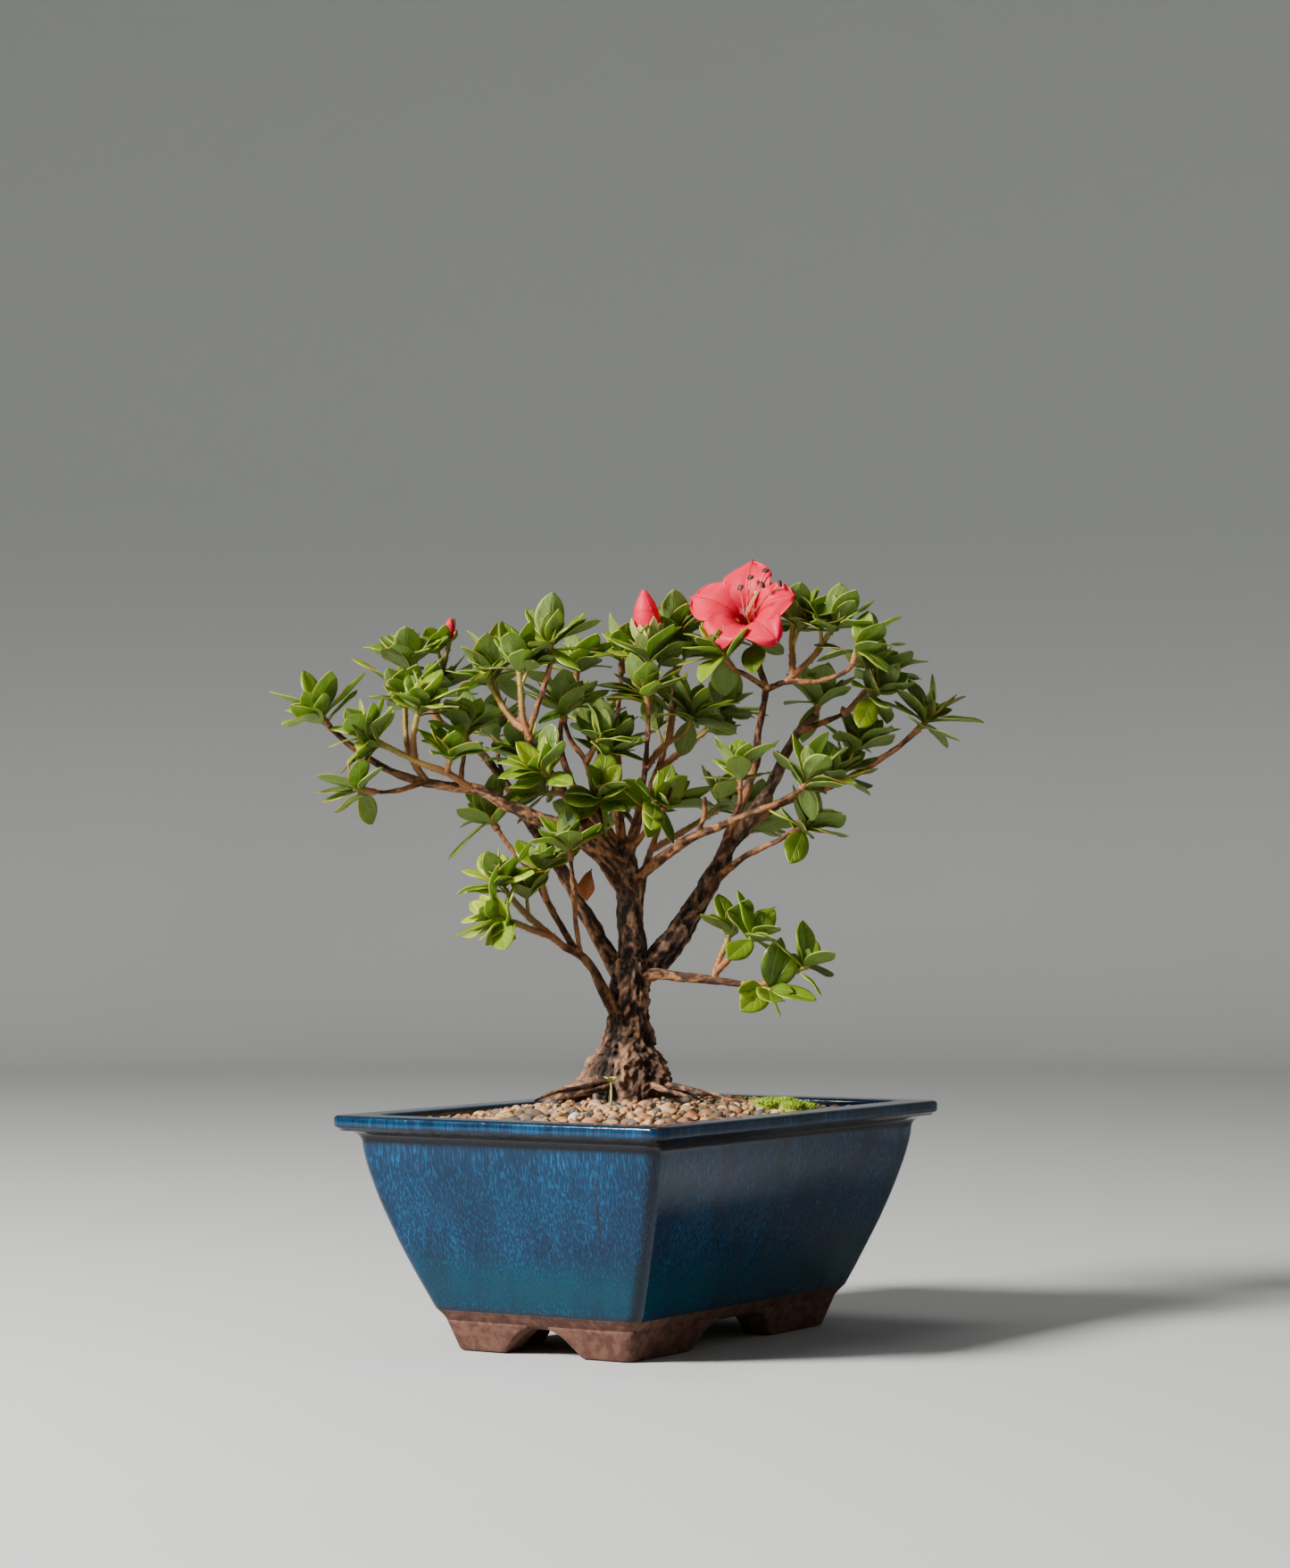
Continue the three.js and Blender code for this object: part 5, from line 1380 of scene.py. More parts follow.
@dataclass(frozen=True)
class PetalFinish(Finish):
    """Coral petals, deeper towards the throat and paler at the edge."""

    coral: Colour = rgb(0.76, 0.0, 0.036)
    edge: Colour = rgb(0.86, 0.01, 0.075)
    throat: Colour = rgb(0.36, 0.0, 0.01)

    def make(self) -> bpy.types.Material:
        """The petals' material."""
        made, wire, shader = new_material("Petal")
        patch = wire.group(self.effects.cloud, Size=0.006, Low=0.3, High=0.7)
        vein = wire.group(self.effects.veins, Pairs=9.0, Slant=1.1, Rib=0.09)
        along = wire.mark("along")
        colour = wire.mix(wire.ramp(along, 0.15, 0.6), self.throat, self.coral)
        pale = wire.maths("MAXIMUM", wire.ramp(along, 0.72, 1.0, 0.0, 0.75), vein.outputs["Margin"])
        colour = wire.mix(wire.times(pale, 0.75), colour, self.edge)
        colour = wire.mix(wire.times(patch.outputs[0], 0.25), colour, self.edge)
        colour = wire.mix(wire.times(vein.outputs["Midrib"], 0.4), colour, self.throat)
        colour = wire.mix(wire.times(vein.outputs["Veins"], 0.16), colour, self.throat)
        spots = wire.group(self.effects.cloud, Size=0.0011, Low=0.6, High=0.66)
        freckle = wire.times(spots.outputs[0], wire.mark("freckled"))
        colour = wire.mix(wire.times(freckle, wire.ramp(along, 0.7, 0.5)), colour, self.throat)
        wire.feed(shader.inputs["Base Color"], colour)
        wire.feed(shader.inputs["Roughness"], wire.between(patch.outputs[0], 0.42, 0.55))
        shader.inputs["Specular IOR Level"].default_value = 0.25
        height = wire.maths("ADD", vein.outputs["Veins"], wire.times(vein.outputs["Midrib"], 1.4))
        self.bump(wire, shader, height, 0.0003, 0.45)
        self.let_light_through(wire, shader, wire.mix(0.4, colour, rgb(1.0, 0.005, 0.04)), 0.35)
        return made


@dataclass(frozen=True)
class Tinted(Finish):
    """A finish of three colours told apart by each piece's own tint."""

    name: str = ""
    low: Colour = rgb(0.2, 0.2, 0.2)
    middle: Colour = rgb(0.4, 0.4, 0.4)
    high: Colour = rgb(0.6, 0.6, 0.6)
    roughness: float = 0.6
    spread: float = field(default=0.12, kw_only=True)
    patch_size: float = 0.003
    grain_size: float = 0.0008
    relief: float = 0.0003
    through: float = 0.0
    dust: float = 0.0
    metallic: float = 0.0

    def make(self) -> bpy.types.Material:
        """The material."""
        made, wire, shader = new_material(self.name)
        tint = wire.mark("tint")
        patch = wire.group(self.effects.cloud, Size=self.patch_size, Low=0.35, High=0.65)
        fine = wire.group(self.effects.grain, Size=self.grain_size, Pits=0.4)
        colour = wire.mix(wire.ramp(tint, 0.0, 0.5), self.low, self.middle)
        colour = wire.mix(wire.ramp(tint, 0.5, 1.0), colour, self.high)
        near = wire.mix(0.45, colour, self.middle)
        colour = wire.mix(patch.outputs[0], colour, near)
        dark = tuple(0.45 * c for c in self.low[:3]) + (1.0,)
        colour = wire.mix(wire.ramp(fine.outputs[0], 0.55, 0.28, 0.0, 0.6), colour, dark)
        if self.dust:
            settled = wire.group(self.effects.settled, Amount=self.dust)
            colour = wire.mix(settled.outputs[0], colour, rgb(0.5, 0.44, 0.36))
        wire.feed(shader.inputs["Base Color"], colour)
        low, high = max(self.roughness - self.spread, 0.05), min(self.roughness + self.spread, 1.0)
        wire.feed(shader.inputs["Roughness"], wire.ramp(patch.outputs[0], 0.0, 1.0, low, high))
        shader.inputs["Metallic"].default_value = self.metallic
        self.bump(wire, shader, fine.outputs[0], self.relief)
        if self.through:
            self.let_light_through(wire, shader, wire.mix(0.5, colour, self.high), self.through)
        return made


@dataclass(frozen=True)
class PebbleFinish(Finish):
    """Mixed pebbles: grey, brown, tan, cream and orange, by each one's tint."""

    kinds: tuple[tuple[float, Colour], ...] = (
        (0.0, rgb(0.035, 0.03, 0.025)),
        (0.14, rgb(0.11, 0.1, 0.09)),
        (0.3, rgb(0.1, 0.05, 0.025)),
        (0.44, rgb(0.2, 0.09, 0.03)),
        (0.6, rgb(0.42, 0.22, 0.07)),
        (0.76, rgb(0.52, 0.34, 0.16)),
        (0.9, rgb(0.33, 0.085, 0.02)),
        (1.0, rgb(0.6, 0.48, 0.32)),
    )

    def make(self) -> bpy.types.Material:
        """The pebbles' material."""
        made, wire, shader = new_material("Pebbles")
        ramp = wire.node("ValToRGB", None, Fac=wire.mark("tint"))
        ramp.color_ramp.interpolation = "LINEAR"
        stops = ramp.color_ramp.elements
        stops[0].position, stops[0].color = self.kinds[0]
        stops[1].position, stops[1].color = self.kinds[-1]
        for position, colour in self.kinds[1:-1]:
            stops.new(position).color = colour
        patch = wire.group(self.effects.cloud, Size=0.0022, Low=0.35, High=0.65)
        fine = wire.group(self.effects.grain, Size=0.0006, Pits=0.45)
        colour = wire.mix(wire.times(patch.outputs[0], 0.12), ramp.outputs[0], rgb(0.4, 0.24, 0.12))
        colour = wire.mix(wire.ramp(fine.outputs[0], 0.55, 0.28, 0.0, 0.5), colour, rgb(0.09, 0.06, 0.04))
        dust = wire.group(self.effects.settled, Amount=0.04)
        colour = wire.mix(dust.outputs[0], colour, rgb(0.6, 0.53, 0.43))
        wire.feed(shader.inputs["Base Color"], colour)
        wire.feed(shader.inputs["Roughness"], wire.between(patch.outputs[0], 0.55, 0.85))
        self.bump(wire, shader, fine.outputs[0], 0.0003)
        return made


class Palette:
    """Every finish of the tree, its pot and its filling."""

    def __init__(self) -> None:
        """Makes the materials."""
        shared = Effects()
        self.pot = PotGlaze(shared).make()
        self.bark = Bark(shared).make()
        self.stem = YoungStem(shared).make()
        self.leaf = LeafFinish(shared).make()
        self.petal = PetalFinish(shared).make()
        self.pebble = PebbleFinish(shared).make()
        self.filament = Tinted(
            shared,
            "Filament",
            rgb(0.6, 0.02, 0.03),
            rgb(0.8, 0.08, 0.08),
            rgb(0.9, 0.25, 0.2),
            0.45,
            through=0.2,
        ).make()
        self.anther = Tinted(
            shared,
            "Anther",
            rgb(0.03, 0.012, 0.012),
            rgb(0.09, 0.035, 0.025),
            rgb(0.2, 0.1, 0.06),
            0.7,
        ).make()
        self.young = Tinted(
            shared,
            "Young green",
            rgb(0.2, 0.26, 0.05),
            rgb(0.42, 0.48, 0.12),
            rgb(0.62, 0.62, 0.26),
            0.5,
            through=0.25,
        ).make()
        self.scale = Tinted(
            shared,
            "Bud scale",
            rgb(0.24, 0.14, 0.04),
            rgb(0.4, 0.4, 0.09),
            rgb(0.6, 0.56, 0.2),
            0.55,
            through=0.15,
        ).make()
        self.dried = Tinted(
            shared,
            "Dried leaf",
            rgb(0.1, 0.03, 0.012),
            rgb(0.3, 0.075, 0.018),
            rgb(0.45, 0.15, 0.04),
            0.7,
            through=0.1,
        ).make()
        self.grit = Tinted(
            shared,
            "Grit",
            rgb(0.06, 0.04, 0.028),
            rgb(0.14, 0.09, 0.055),
            rgb(0.3, 0.2, 0.12),
            0.92,
            patch_size=0.002,
            relief=0.0008,
        ).make()
        self.soil = Tinted(
            shared,
            "Soil",
            rgb(0.02, 0.014, 0.01),
            rgb(0.05, 0.034, 0.024),
            rgb(0.1, 0.07, 0.045),
            0.95,
            relief=0.001,
        ).make()
        self.moss = Tinted(
            shared,
            "Moss",
            rgb(0.1, 0.16, 0.01),
            rgb(0.26, 0.38, 0.015),
            rgb(0.5, 0.6, 0.03),
            0.85,
            through=0.2,
        ).make()
        self.plastic = Tinted(
            shared,
            "Black plastic",
            rgb(0.012, 0.012, 0.012),
            rgb(0.02, 0.02, 0.02),
            rgb(0.04, 0.04, 0.04),
            0.55,
            relief=0.0001,
        ).make()
        self.wire = Tinted(
            shared,
            "Dull aluminium wire",
            rgb(0.32, 0.3, 0.28),
            rgb(0.45, 0.43, 0.4),
            rgb(0.6, 0.58, 0.55),
            0.45,
            relief=0.00005,
            metallic=1.0,
        ).make()


# ---- Pot ----------------------------------------------------------------


def rounded_plan(
    half_x: float,
    half_y: float,
    corner: float,
    z: float,
    turn_steps: int,
    run_x: int,
    run_y: int,
) -> np.ndarray:
    """A rectangle with rounded corners at one height, counter-clockwise.

    Args:
        half_x: Half its length.
        half_y: Half its width.
        corner: Radius of its corners.
        z: Its height.
        turn_steps: Segments in each corner.
        run_x: Segments along each long side.
        run_y: Segments along each short side.

    Returns:
        Rows of x, y, z.
    """

    def on_corner(sx: int, sy: int, angle: float) -> list[float]:
        """A point of one corner's arc."""
        x = sx * (half_x - corner) + corner * math.cos(angle)
        y = sy * (half_y - corner) + corner * math.sin(angle)
        return [x, y, z]

    ring: list[list[float]] = []
    signs = ((1, 1), (-1, 1), (-1, -1), (1, -1))
    for number, (sx, sy) in enumerate(signs):
        for step in range(turn_steps + 1):
            angle = (number + step / turn_steps) * math.pi / 2
            ring.append(on_corner(sx, sy, angle))
        nx, ny = signs[(number + 1) % 4]
        first = np.array(ring[-1])
        angle = (number + 1) * math.pi / 2
        last = np.array(on_corner(nx, ny, angle))
        run = run_x if number % 2 == 0 else run_y
        for step in range(1, run):
            ring.append(list(first + (last - first) * step / run))
    return np.array(ring)


@dataclass
class Pot:
    """The glazed pot: a swelling wall under a lip, on four corner feet."""

    frame: PotFrame
    palette: Palette
    wall: float = 6.0
    lip_height: float = 5.0
    lip_round: float = 1.1
    rim_round: float = 1.5
    inner_round: float = 1.4
    lip_cove: float = 6.0
    neck_inset: float = 8.2
    base_inset: float = 28.7
    wall_curve: float = 1.35
    foot_height: float = 12.0
    foot_inset: float = 3.6
    foot_splay: float = 4.0
    foot_thickness: float = 12.0
    band_height: float = 4.5
    side_arch: tuple[float, float] = (20.0, 31.0)
    end_arch: tuple[float, float] = (8.0, 18.0)
    body_corner: float = 5.0
    lip_corner: float = 6.0
    glaze_wave: float = 0.22
    scar_at: float = 40.0

    @property
    def glaze_line(self) -> float:
        """Height at which the glaze stops."""
        return self.foot_height + self.band_height

    @property
    def neck(self) -> float:
        """Height of the top of the swelling wall."""
        return self.frame.rim - self.lip_height - self.lip_cove

    def wall_inset(self, z: float) -> float:
        """How far the wall stands in from the lip's edge at a height."""
        t = min(max((z - self.glaze_line) / (self.neck - self.glaze_line), 0.0), 1.0)
        return self.neck_inset + (self.base_inset - self.neck_inset) * (1 - t) ** self.wall_curve

    def profile(self) -> list[tuple[float, float, float, float, float]]:
        """The wall's section: inset, height, plan corner, glazed and thin."""
        rim, neck, line = self.frame.rim, self.neck, self.glaze_line
        foot_top = self.base_inset + self.foot_inset
        rows = [
            (foot_top + 2.5, FLOOR_UNDER, 3.0, 0.0, 0.0),
            (foot_top, self.foot_height, 4.0, 0.0, 0.0),
            (foot_top - 1.4, line - 2.4, 4.4, 0.0, 0.0),
            (self.base_inset + 0.9, line - 0.9, 4.8, 0.0, 0.0),
        ]
        for step in range(25):
            z = line + (neck - line) * step / 24
            thin = max(0.0, 1 - (z - line) / 2.5) * 0.6
            rows.append((self.wall_inset(z), z, self.body_corner, 1.0, thin))
        for step in range(1, 9):
            angle = step / 8 * math.pi / 2
            inset = self.neck_inset - 6.6 * (1 - math.cos(angle))
            thin = 0.55 + 0.45 * math.sin(angle)
            rows.append((inset, neck + 5.1 * math.sin(angle), self.body_corner + step / 8, 1.0, thin))
        for step in range(6):
            angle = step / 5 * math.pi / 2
            inset = self.lip_round * (1 - math.sin(angle))
            z = rim - self.lip_height + self.lip_round * (1 - math.cos(angle)) + 0.1
            rows.append((inset, z, self.lip_corner, 1.0, 0.75 - 0.1 * step))
        rows.append((0.0, rim - 3.0, self.lip_corner, 1.0, 0.0))
        for step in range(7):
            angle = step / 6 * math.pi / 2
            inset = self.rim_round * (1 - math.cos(angle))
            z = rim - self.rim_round * (1 - math.sin(angle))
            rows.append((inset, z, self.lip_corner, 1.0, 0.55 * math.sin(2 * angle)))
        inner = self.neck_inset + self.wall
        rows += [(4.0, rim, self.lip_corner, 1.0, 0.0), (9.0, rim, self.body_corner, 1.0, 0.0)]
        for step in range(5):
            angle = step / 4 * math.pi / 2
            inset = inner - self.inner_round * (1 - math.sin(angle))
            z = rim - self.inner_round * (1 - math.cos(angle))
            rows.append((inset, z, self.body_corner, 1.0, 0.5))
        rows.append((inner, rim - 5.5, self.body_corner, 1.0, 0.3))
        for step in range(9):
            z = neck - (neck - line - 3) * step / 8
            rows.append((self.wall_inset(z) + self.wall, z, self.body_corner, 0.0, 0.0))
        rows.append((self.base_inset + self.wall + 1, FLOOR_TOP, 2.5, 0.0, 0.0))
        return rows

    def body(self) -> Skin:
        """The wall, lip and floor as one closed skin, waved as by hand."""
        rings, marks = [], {"glazed": [], "thin": [], "low": [], "scar": []}
        half_x, half_y = self.frame.length / 2, self.frame.width / 2
        for inset, z, corner, glazed, thin in self.profile():
            ring = rounded_plan(half_x - inset, half_y - inset, corner, z, 8, 44, 110)
            rings.append(ring)
            out = np.minimum(half_x - inset - np.abs(ring[:, 0]), 30)
            out = out + np.minimum(half_y - inset - np.abs(ring[:, 1]), 30)
            at_corner = np.clip(1 - (out - 1.5) / 4.0, 0, 1) * (1.0 if glazed else 0.0)
            marks["glazed"].append(np.full(len(ring), glazed))
            marks["thin"].append(np.clip(thin + 0.8 * at_corner, 0, 1))
            marks["low"].append(np.full(len(ring), max(0.0, 1 - abs(z - 26) / 16)))
            run = np.exp(-(((ring[:, 1] + self.scar_at + 0.06 * (z - 60)) / 0.8) ** 2)) * (ring[:, 0] < 0)
            marks["scar"].append(run * math.exp(-(((z - 58) / 13) ** 4)) * glazed * 0.85)
        points = np.vstack(rings)
        waved = value_noise(points, 17.0, 3) * self.glaze_wave
        waved = waved + value_noise(points, 6.0, 4) * self.glaze_wave * 0.35
        out = points * [1 / half_x, 1 / half_y, 0]
        body_only = (points[:, 2] > self.foot_height) & (points[:, 2] < self.frame.rim - 0.5)
        points = points - unit(out + 1e-9) * (np.abs(waved) * body_only)[:, None]
        ends = np.array([[0, 0, rings[0][0, 2]], [0, 0, rings[-1][0, 2]]])
        values = {name: np.concatenate([*parts, [0.0, 0.0]]) for name, parts in marks.items()}
        return Skin(np.vstack([points, ends]), ring_faces(len(rings), len(rings[0])), values)

    def foot(self, side_x: int, side_y: int) -> Skin:
        """One corner foot: an angle in plan, splayed, with curved arch ends.

        Args:
            side_x: 1 or -1, the end of the pot it stands at.
            side_y: 1 or -1, the side of the pot it stands at.

        Returns:
            The foot's closed skin.
        """
        rings = []
        heights = [0.0, 0.25, 0.8, 2, 3.5, 5, 6.5, 7.8, 8.8, 9.6, 10.2, 10.6, 12.2]
        inner = self.base_inset + self.foot_inset + self.foot_splay + self.foot_thickness
        for z in heights:
            lean = self.base_inset + self.foot_inset + self.foot_splay * (1 - z / self.foot_height)
            tuck = 0.8 * (1 - math.sqrt(max(0.0, 1 - (1 - min(z / 0.8, 1)) ** 2)))
            rise = min(max((z - 6.0) / 4.6, 0.0), 1.0)
            fillet = 4.5 * (1 - math.sqrt(max(0.0, 1 - rise * rise)))
            share = min(z / 10.5, 1.0)
            arm_x = self.side_arch[1] + (self.side_arch[0] - self.side_arch[1]) * share - fillet + tuck
            arm_y = self.end_arch[1] + (self.end_arch[0] - self.end_arch[1]) * share - fillet * 0.8 + tuck
            out_x, out_y = self.frame.length / 2 - lean - tuck, self.frame.width / 2 - lean - tuck
            in_x, in_y = self.frame.length / 2 - inner + tuck, self.frame.width / 2 - inner + tuck
            corners = [
                (arm_x, out_y),
                (arm_x, in_y),
                (in_x, in_y),
                (in_x, arm_y),
                (out_x, arm_y),
                (out_x, out_y),
            ]
            radii = [1.4, 1.0, 2.0, 1.0, 1.4, 4.0]
            ring = []
            for number, (point, radius) in enumerate(zip(corners, radii)):
                here = np.array(point)
                before, after = np.array(corners[number - 1]), np.array(corners[(number + 1) % 6])
                start, end = here + unit(before - here) * radius, here + unit(after - here) * radius
                for t in np.linspace(0, 1, 6):
                    bend = (1 - t) ** 2 * start + 2 * t * (1 - t) * here + t * t * end
                    ring.append([side_x * bend[0], side_y * bend[1], z])
            rings.append(np.array(ring))
        points = ring_points(rings)
        points[:, :2] += (value_noise(points, 5.0, 9) * 0.12)[:, None] * (points[:, 2:] > 0.3)
        return Skin(points, ring_faces(len(rings), len(rings[0])))

    def build(self) -> None:
        """Makes the pot with its drain holes and its feet, and places both."""
        maker = Maker("glazed_pot")
        body = self.body()
        body.points = self.frame.from_pot(body.points)
        maker.add(body)
        piece = maker.build([self.palette.pot])
        for side in (-1, 1):
            self.drill(piece, side * DRAIN_SPACING / 2)
        feet = Maker("pot_feet")
        for side_x, side_y in product((-1, 1), repeat=2):
            foot = self.foot(side_x, side_y)
            foot.points = self.frame.from_pot(foot.points)
            feet.add(foot, glazed=0.0)
        feet_piece = feet.build([self.palette.pot])
        place(piece, "glaze", "pot")
        place(feet_piece, "glaze", "pot")

    def drill(self, piece: bpy.types.Object, x: float) -> None:
        """Cuts one drain hole through the floor at a place along the pot."""
        cutter_path = self.frame.from_pot(np.array([[x, 0.0, z] for z in (4.0, 12.0, 22.0)]))
        maker = Maker("drain_cutter")
        maker.add(tube_skin(cutter_path, np.full(3, DRAIN_RADIUS), 40))
        cutter = maker.build([self.palette.pot])
        cut = piece.modifiers.new("drain", "BOOLEAN")
        cut.operation = "DIFFERENCE"
        cut.solver = "EXACT"
        cut.object = cutter
        apply_all(piece)
        bpy.data.objects.remove(cutter, do_unlink=True)


def apply_all(piece: bpy.types.Object) -> None:
    """Applies every modifier of a piece."""
    solved = piece.evaluated_get(bpy.context.evaluated_depsgraph_get())
    mesh = bpy.data.meshes.new_from_object(solved)
    piece.modifiers.clear()
    old = piece.data
    piece.data = mesh
    bpy.data.meshes.remove(old)


@dataclass
class Drainage:
    """Moulded nets over the drain holes, each held by a bent wire."""

    frame: PotFrame
    palette: Palette
    cells: int = 3
    thickness: float = 1.2
    strand: float = 1.4
    wire_radius: float = 0.5
    strand_radius: float = 0.5
    clearance: float = 0.3
    tail: float = 9.0

    @property
    def pitch(self) -> float:
        """Distance between two strands of the net."""
        return DRAIN_RADIUS - self.wire_radius - 2 * self.clearance

    def net(self, name: str, x: float) -> None:
        """One net of rounded strands over a hole at x."""
        maker = Maker(f"drain_net_{name}")
        reach = (self.cells * self.pitch + self.strand) / 2
        height = FLOOR_TOP + self.clearance + self.thickness / 2
        for i in range(self.cells + 1):
            off = (i - self.cells / 2) * self.pitch
            for a, b in (((-reach, off), (reach, off)), ((off, -reach), (off, reach))):
                path = np.linspace([x + a[0], a[1], height], [x + b[0], b[1], height], 12)
                skin = tube_skin(self.frame.from_pot(path), np.full(12, self.strand_radius), 10)
                middle = self.frame.from_pot(path).mean(0)
                along = unit(np.array([b[0] - a[0], b[1] - a[1], 0.0]))
                side = np.array([-along[1], along[0], 0.0])
                offset = skin.points - middle
                wide = (offset @ side)[:, None] * side
                skin.points = skin.points + wide * (self.strand - 1.0)
                skin.points[:, 2] = height + (skin.points[:, 2] - height) * self.thickness
                maker.add(skin, tint=0.5)
        place(maker.build([self.palette.plastic]), "screen_plastic", f"drain_screen_{name}")

    def clip(self, name: str, x: float) -> None:
        """One wire over a net and out below the pot, at x."""
        over = FLOOR_TOP + self.clearance * 2 + self.thickness + self.wire_radius
        below = FLOOR_UNDER - self.clearance - self.wire_radius
        bend, reach = 1.5, self.pitch
        half = [
            [reach - bend, 0, over],
            [reach, 0, over - bend],
            [reach, 0, below + bend],
            [reach + bend, 0, below],
            [reach + self.tail, 0, below - 1],
        ]
        points = [[-p[0], p[1], p[2]] for p in reversed(half)] + half
        path = smooth_path(self.frame.from_pot(np.array(points, float) + [x, 0, 0]), 90)
        maker = Maker(f"net_wire_{name}")
        maker.add(tube_skin(path, np.full(90, self.wire_radius), 12, blunt=True), tint=0.5)
        place(maker.build([self.palette.wire]), "wire", f"screen_clip_{name}")

    def build(self) -> None:
        """Makes both nets and both wires."""
        for side, name in ((-1, "left"), (1, "right")):
            self.net(name, side * DRAIN_SPACING / 2)
            self.clip(name, side * DRAIN_SPACING / 2)


# ---- Filling ------------------------------------------------------------


@dataclass
class PottingMix:
    """Soil, pebbles, moss and a seedling at the tree's foot."""

    frame: PotFrame
    palette: Palette
    edge: float = 3.0
    mound: float = 9.0
    inset: float = 14.6
    tries: int = 9000
    trunk_room: float = 12.0
    sorts: tuple[tuple[float, float, float], ...] = ((2.9, 4.1, -0.4), (1.8, 2.8, -0.1), (0.9, 1.6, 0.3))
    seed: int = 11
    moss_length: float = 30.0
    moss_height: float = 4.5

    def height(self, x: float, y: float) -> float:
        """Height of the gravel over a point measured from the pot's middle."""
        half_x = self.frame.length / 2 - self.inset + 0.4
        half_y = self.frame.width / 2 - self.inset + 0.4
        away = min(1.0, math.hypot(x / half_x, y / half_y))
        bump = 0.7 * math.sin(x * 0.55 + 1.3 * math.sin(y * 0.4)) * math.cos(y * 0.6)
        return self.frame.rim - self.edge + self.mound * (1 - away) ** 0.8 + bump

    def bed(self) -> None:
        """The grit under the pebbles, as a closed slab with a lumpy top."""
        half_x, half_y = self.frame.length / 2 - self.inset, self.frame.width / 2 - self.inset
        rows, columns = 110, 160
        xs, ys = np.linspace(-half_x, half_x, columns), np.linspace(-half_y, half_y, rows)
        top = np.array([[x, y, self.height(x, y) - 2.6] for y in ys for x in xs])
        top[:, 2] += value_noise(top * [1, 1, 0], 2.2, 5) * 0.7 + value_noise(top * [1, 1, 0], 0.9, 6) * 0.3
        maker = Maker("grit_bed")
        maker.add(thick_sheet(self.frame.from_pot(top), 4.0, rows, columns, {}), tint=0.45)
        place(maker.build([self.palette.grit]), "gravel", "gravel_top_dressing")

    def stone(self, rng: random.Random) -> tuple[np.ndarray, list[list[int]]]:
        """One pebble about 1 across: a rounded lump, flattened."""
        work = bmesh.new()
        bmesh.ops.create_icosphere(work, subdivisions=3, radius=0.5)
        points = np.array([v.co for v in work.verts])
        faces = [[v.index for v in f.verts] for f in work.faces]
        work.free()
        seed = rng.randrange(1, 900)
        for _ in range(rng.choice((2, 3, 4))):
            cut = unit(np.array([rng.gauss(0, 1) for _ in range(3)]))
            level = rng.uniform(0.3, 0.42)
            over = points @ cut - level
            points = points - cut * (np.clip(over, 0, None) * 0.8)[:, None]
        lumps = 1 + 0.13 * value_noise(points, 0.55, seed) + 0.05 * value_noise(points, 0.2, seed + 1)
        points = points * lumps[:, None]
        return points * [1.0, rng.uniform(0.72, 0.95), rng.uniform(0.55, 0.8)], faces

    def pebbles(self) -> None:
        """Pebbles packed over the bed, none of them in the wood."""
        rng = random.Random(self.seed)
        stones = [self.stone(rng) for _ in range(14)]
        half_x, half_y = self.frame.length / 2 - self.inset - 0.4, self.frame.width / 2 - self.inset - 0.4
        trunk = self.frame.from_tree([-7, 0, 96])[:2] - [self.frame.centre_x, self.frame.centre_y]
        laid: dict[tuple[int, int], list[tuple[float, float, float]]] = {}
        maker = Maker("pebbles")
        for low, high, drop in self.sorts:
            for _ in range(self.tries):
                radius = rng.uniform(low, high)
                x = rng.uniform(-half_x + radius, half_x - radius)
                y = rng.uniform(-half_y + radius, half_y - radius)
                if math.hypot(x - trunk[0], y - trunk[1]) < self.trunk_room:
                    continue
                cell = (int(x // 8), int(y // 8))
                near = []
                for i, j in product((-1, 0, 1), repeat=2):
                    near += laid.get((cell[0] + i, cell[1] + j), [])
                if any(math.hypot(x - a, y - b) < 0.86 * (radius + r) for a, b, r in near):
                    continue
                laid.setdefault(cell, []).append((x, y, radius))
                points, faces = rng.choice(stones)
                turn = Matrix.Rotation(rng.uniform(0, FULL_TURN), 3, "Z")
                turn = turn @ Matrix.Rotation(rng.gauss(0, 0.35), 3, "X")
                turn = turn @ Matrix.Rotation(rng.gauss(0, 0.35), 3, "Y")
                turn = turn @ Matrix.Rotation(rng.uniform(0, 6.28), 3, "Z")
                spot = np.array([x, y, self.height(x, y) - radius * 0.45 + drop + rng.uniform(-0.4, 0.5)])
                placed = points @ np.array(turn).T * (2.1 * radius) + spot
                tris = np.array([[*f, f[-1]] for f in faces])
                maker.add(Skin(self.frame.from_pot(placed), tris), tint=rng.random())
        log.info("%d pebbles", len(maker.skins))
        place(maker.build([self.palette.pebble]), "gravel", "gravel_top_dressing")

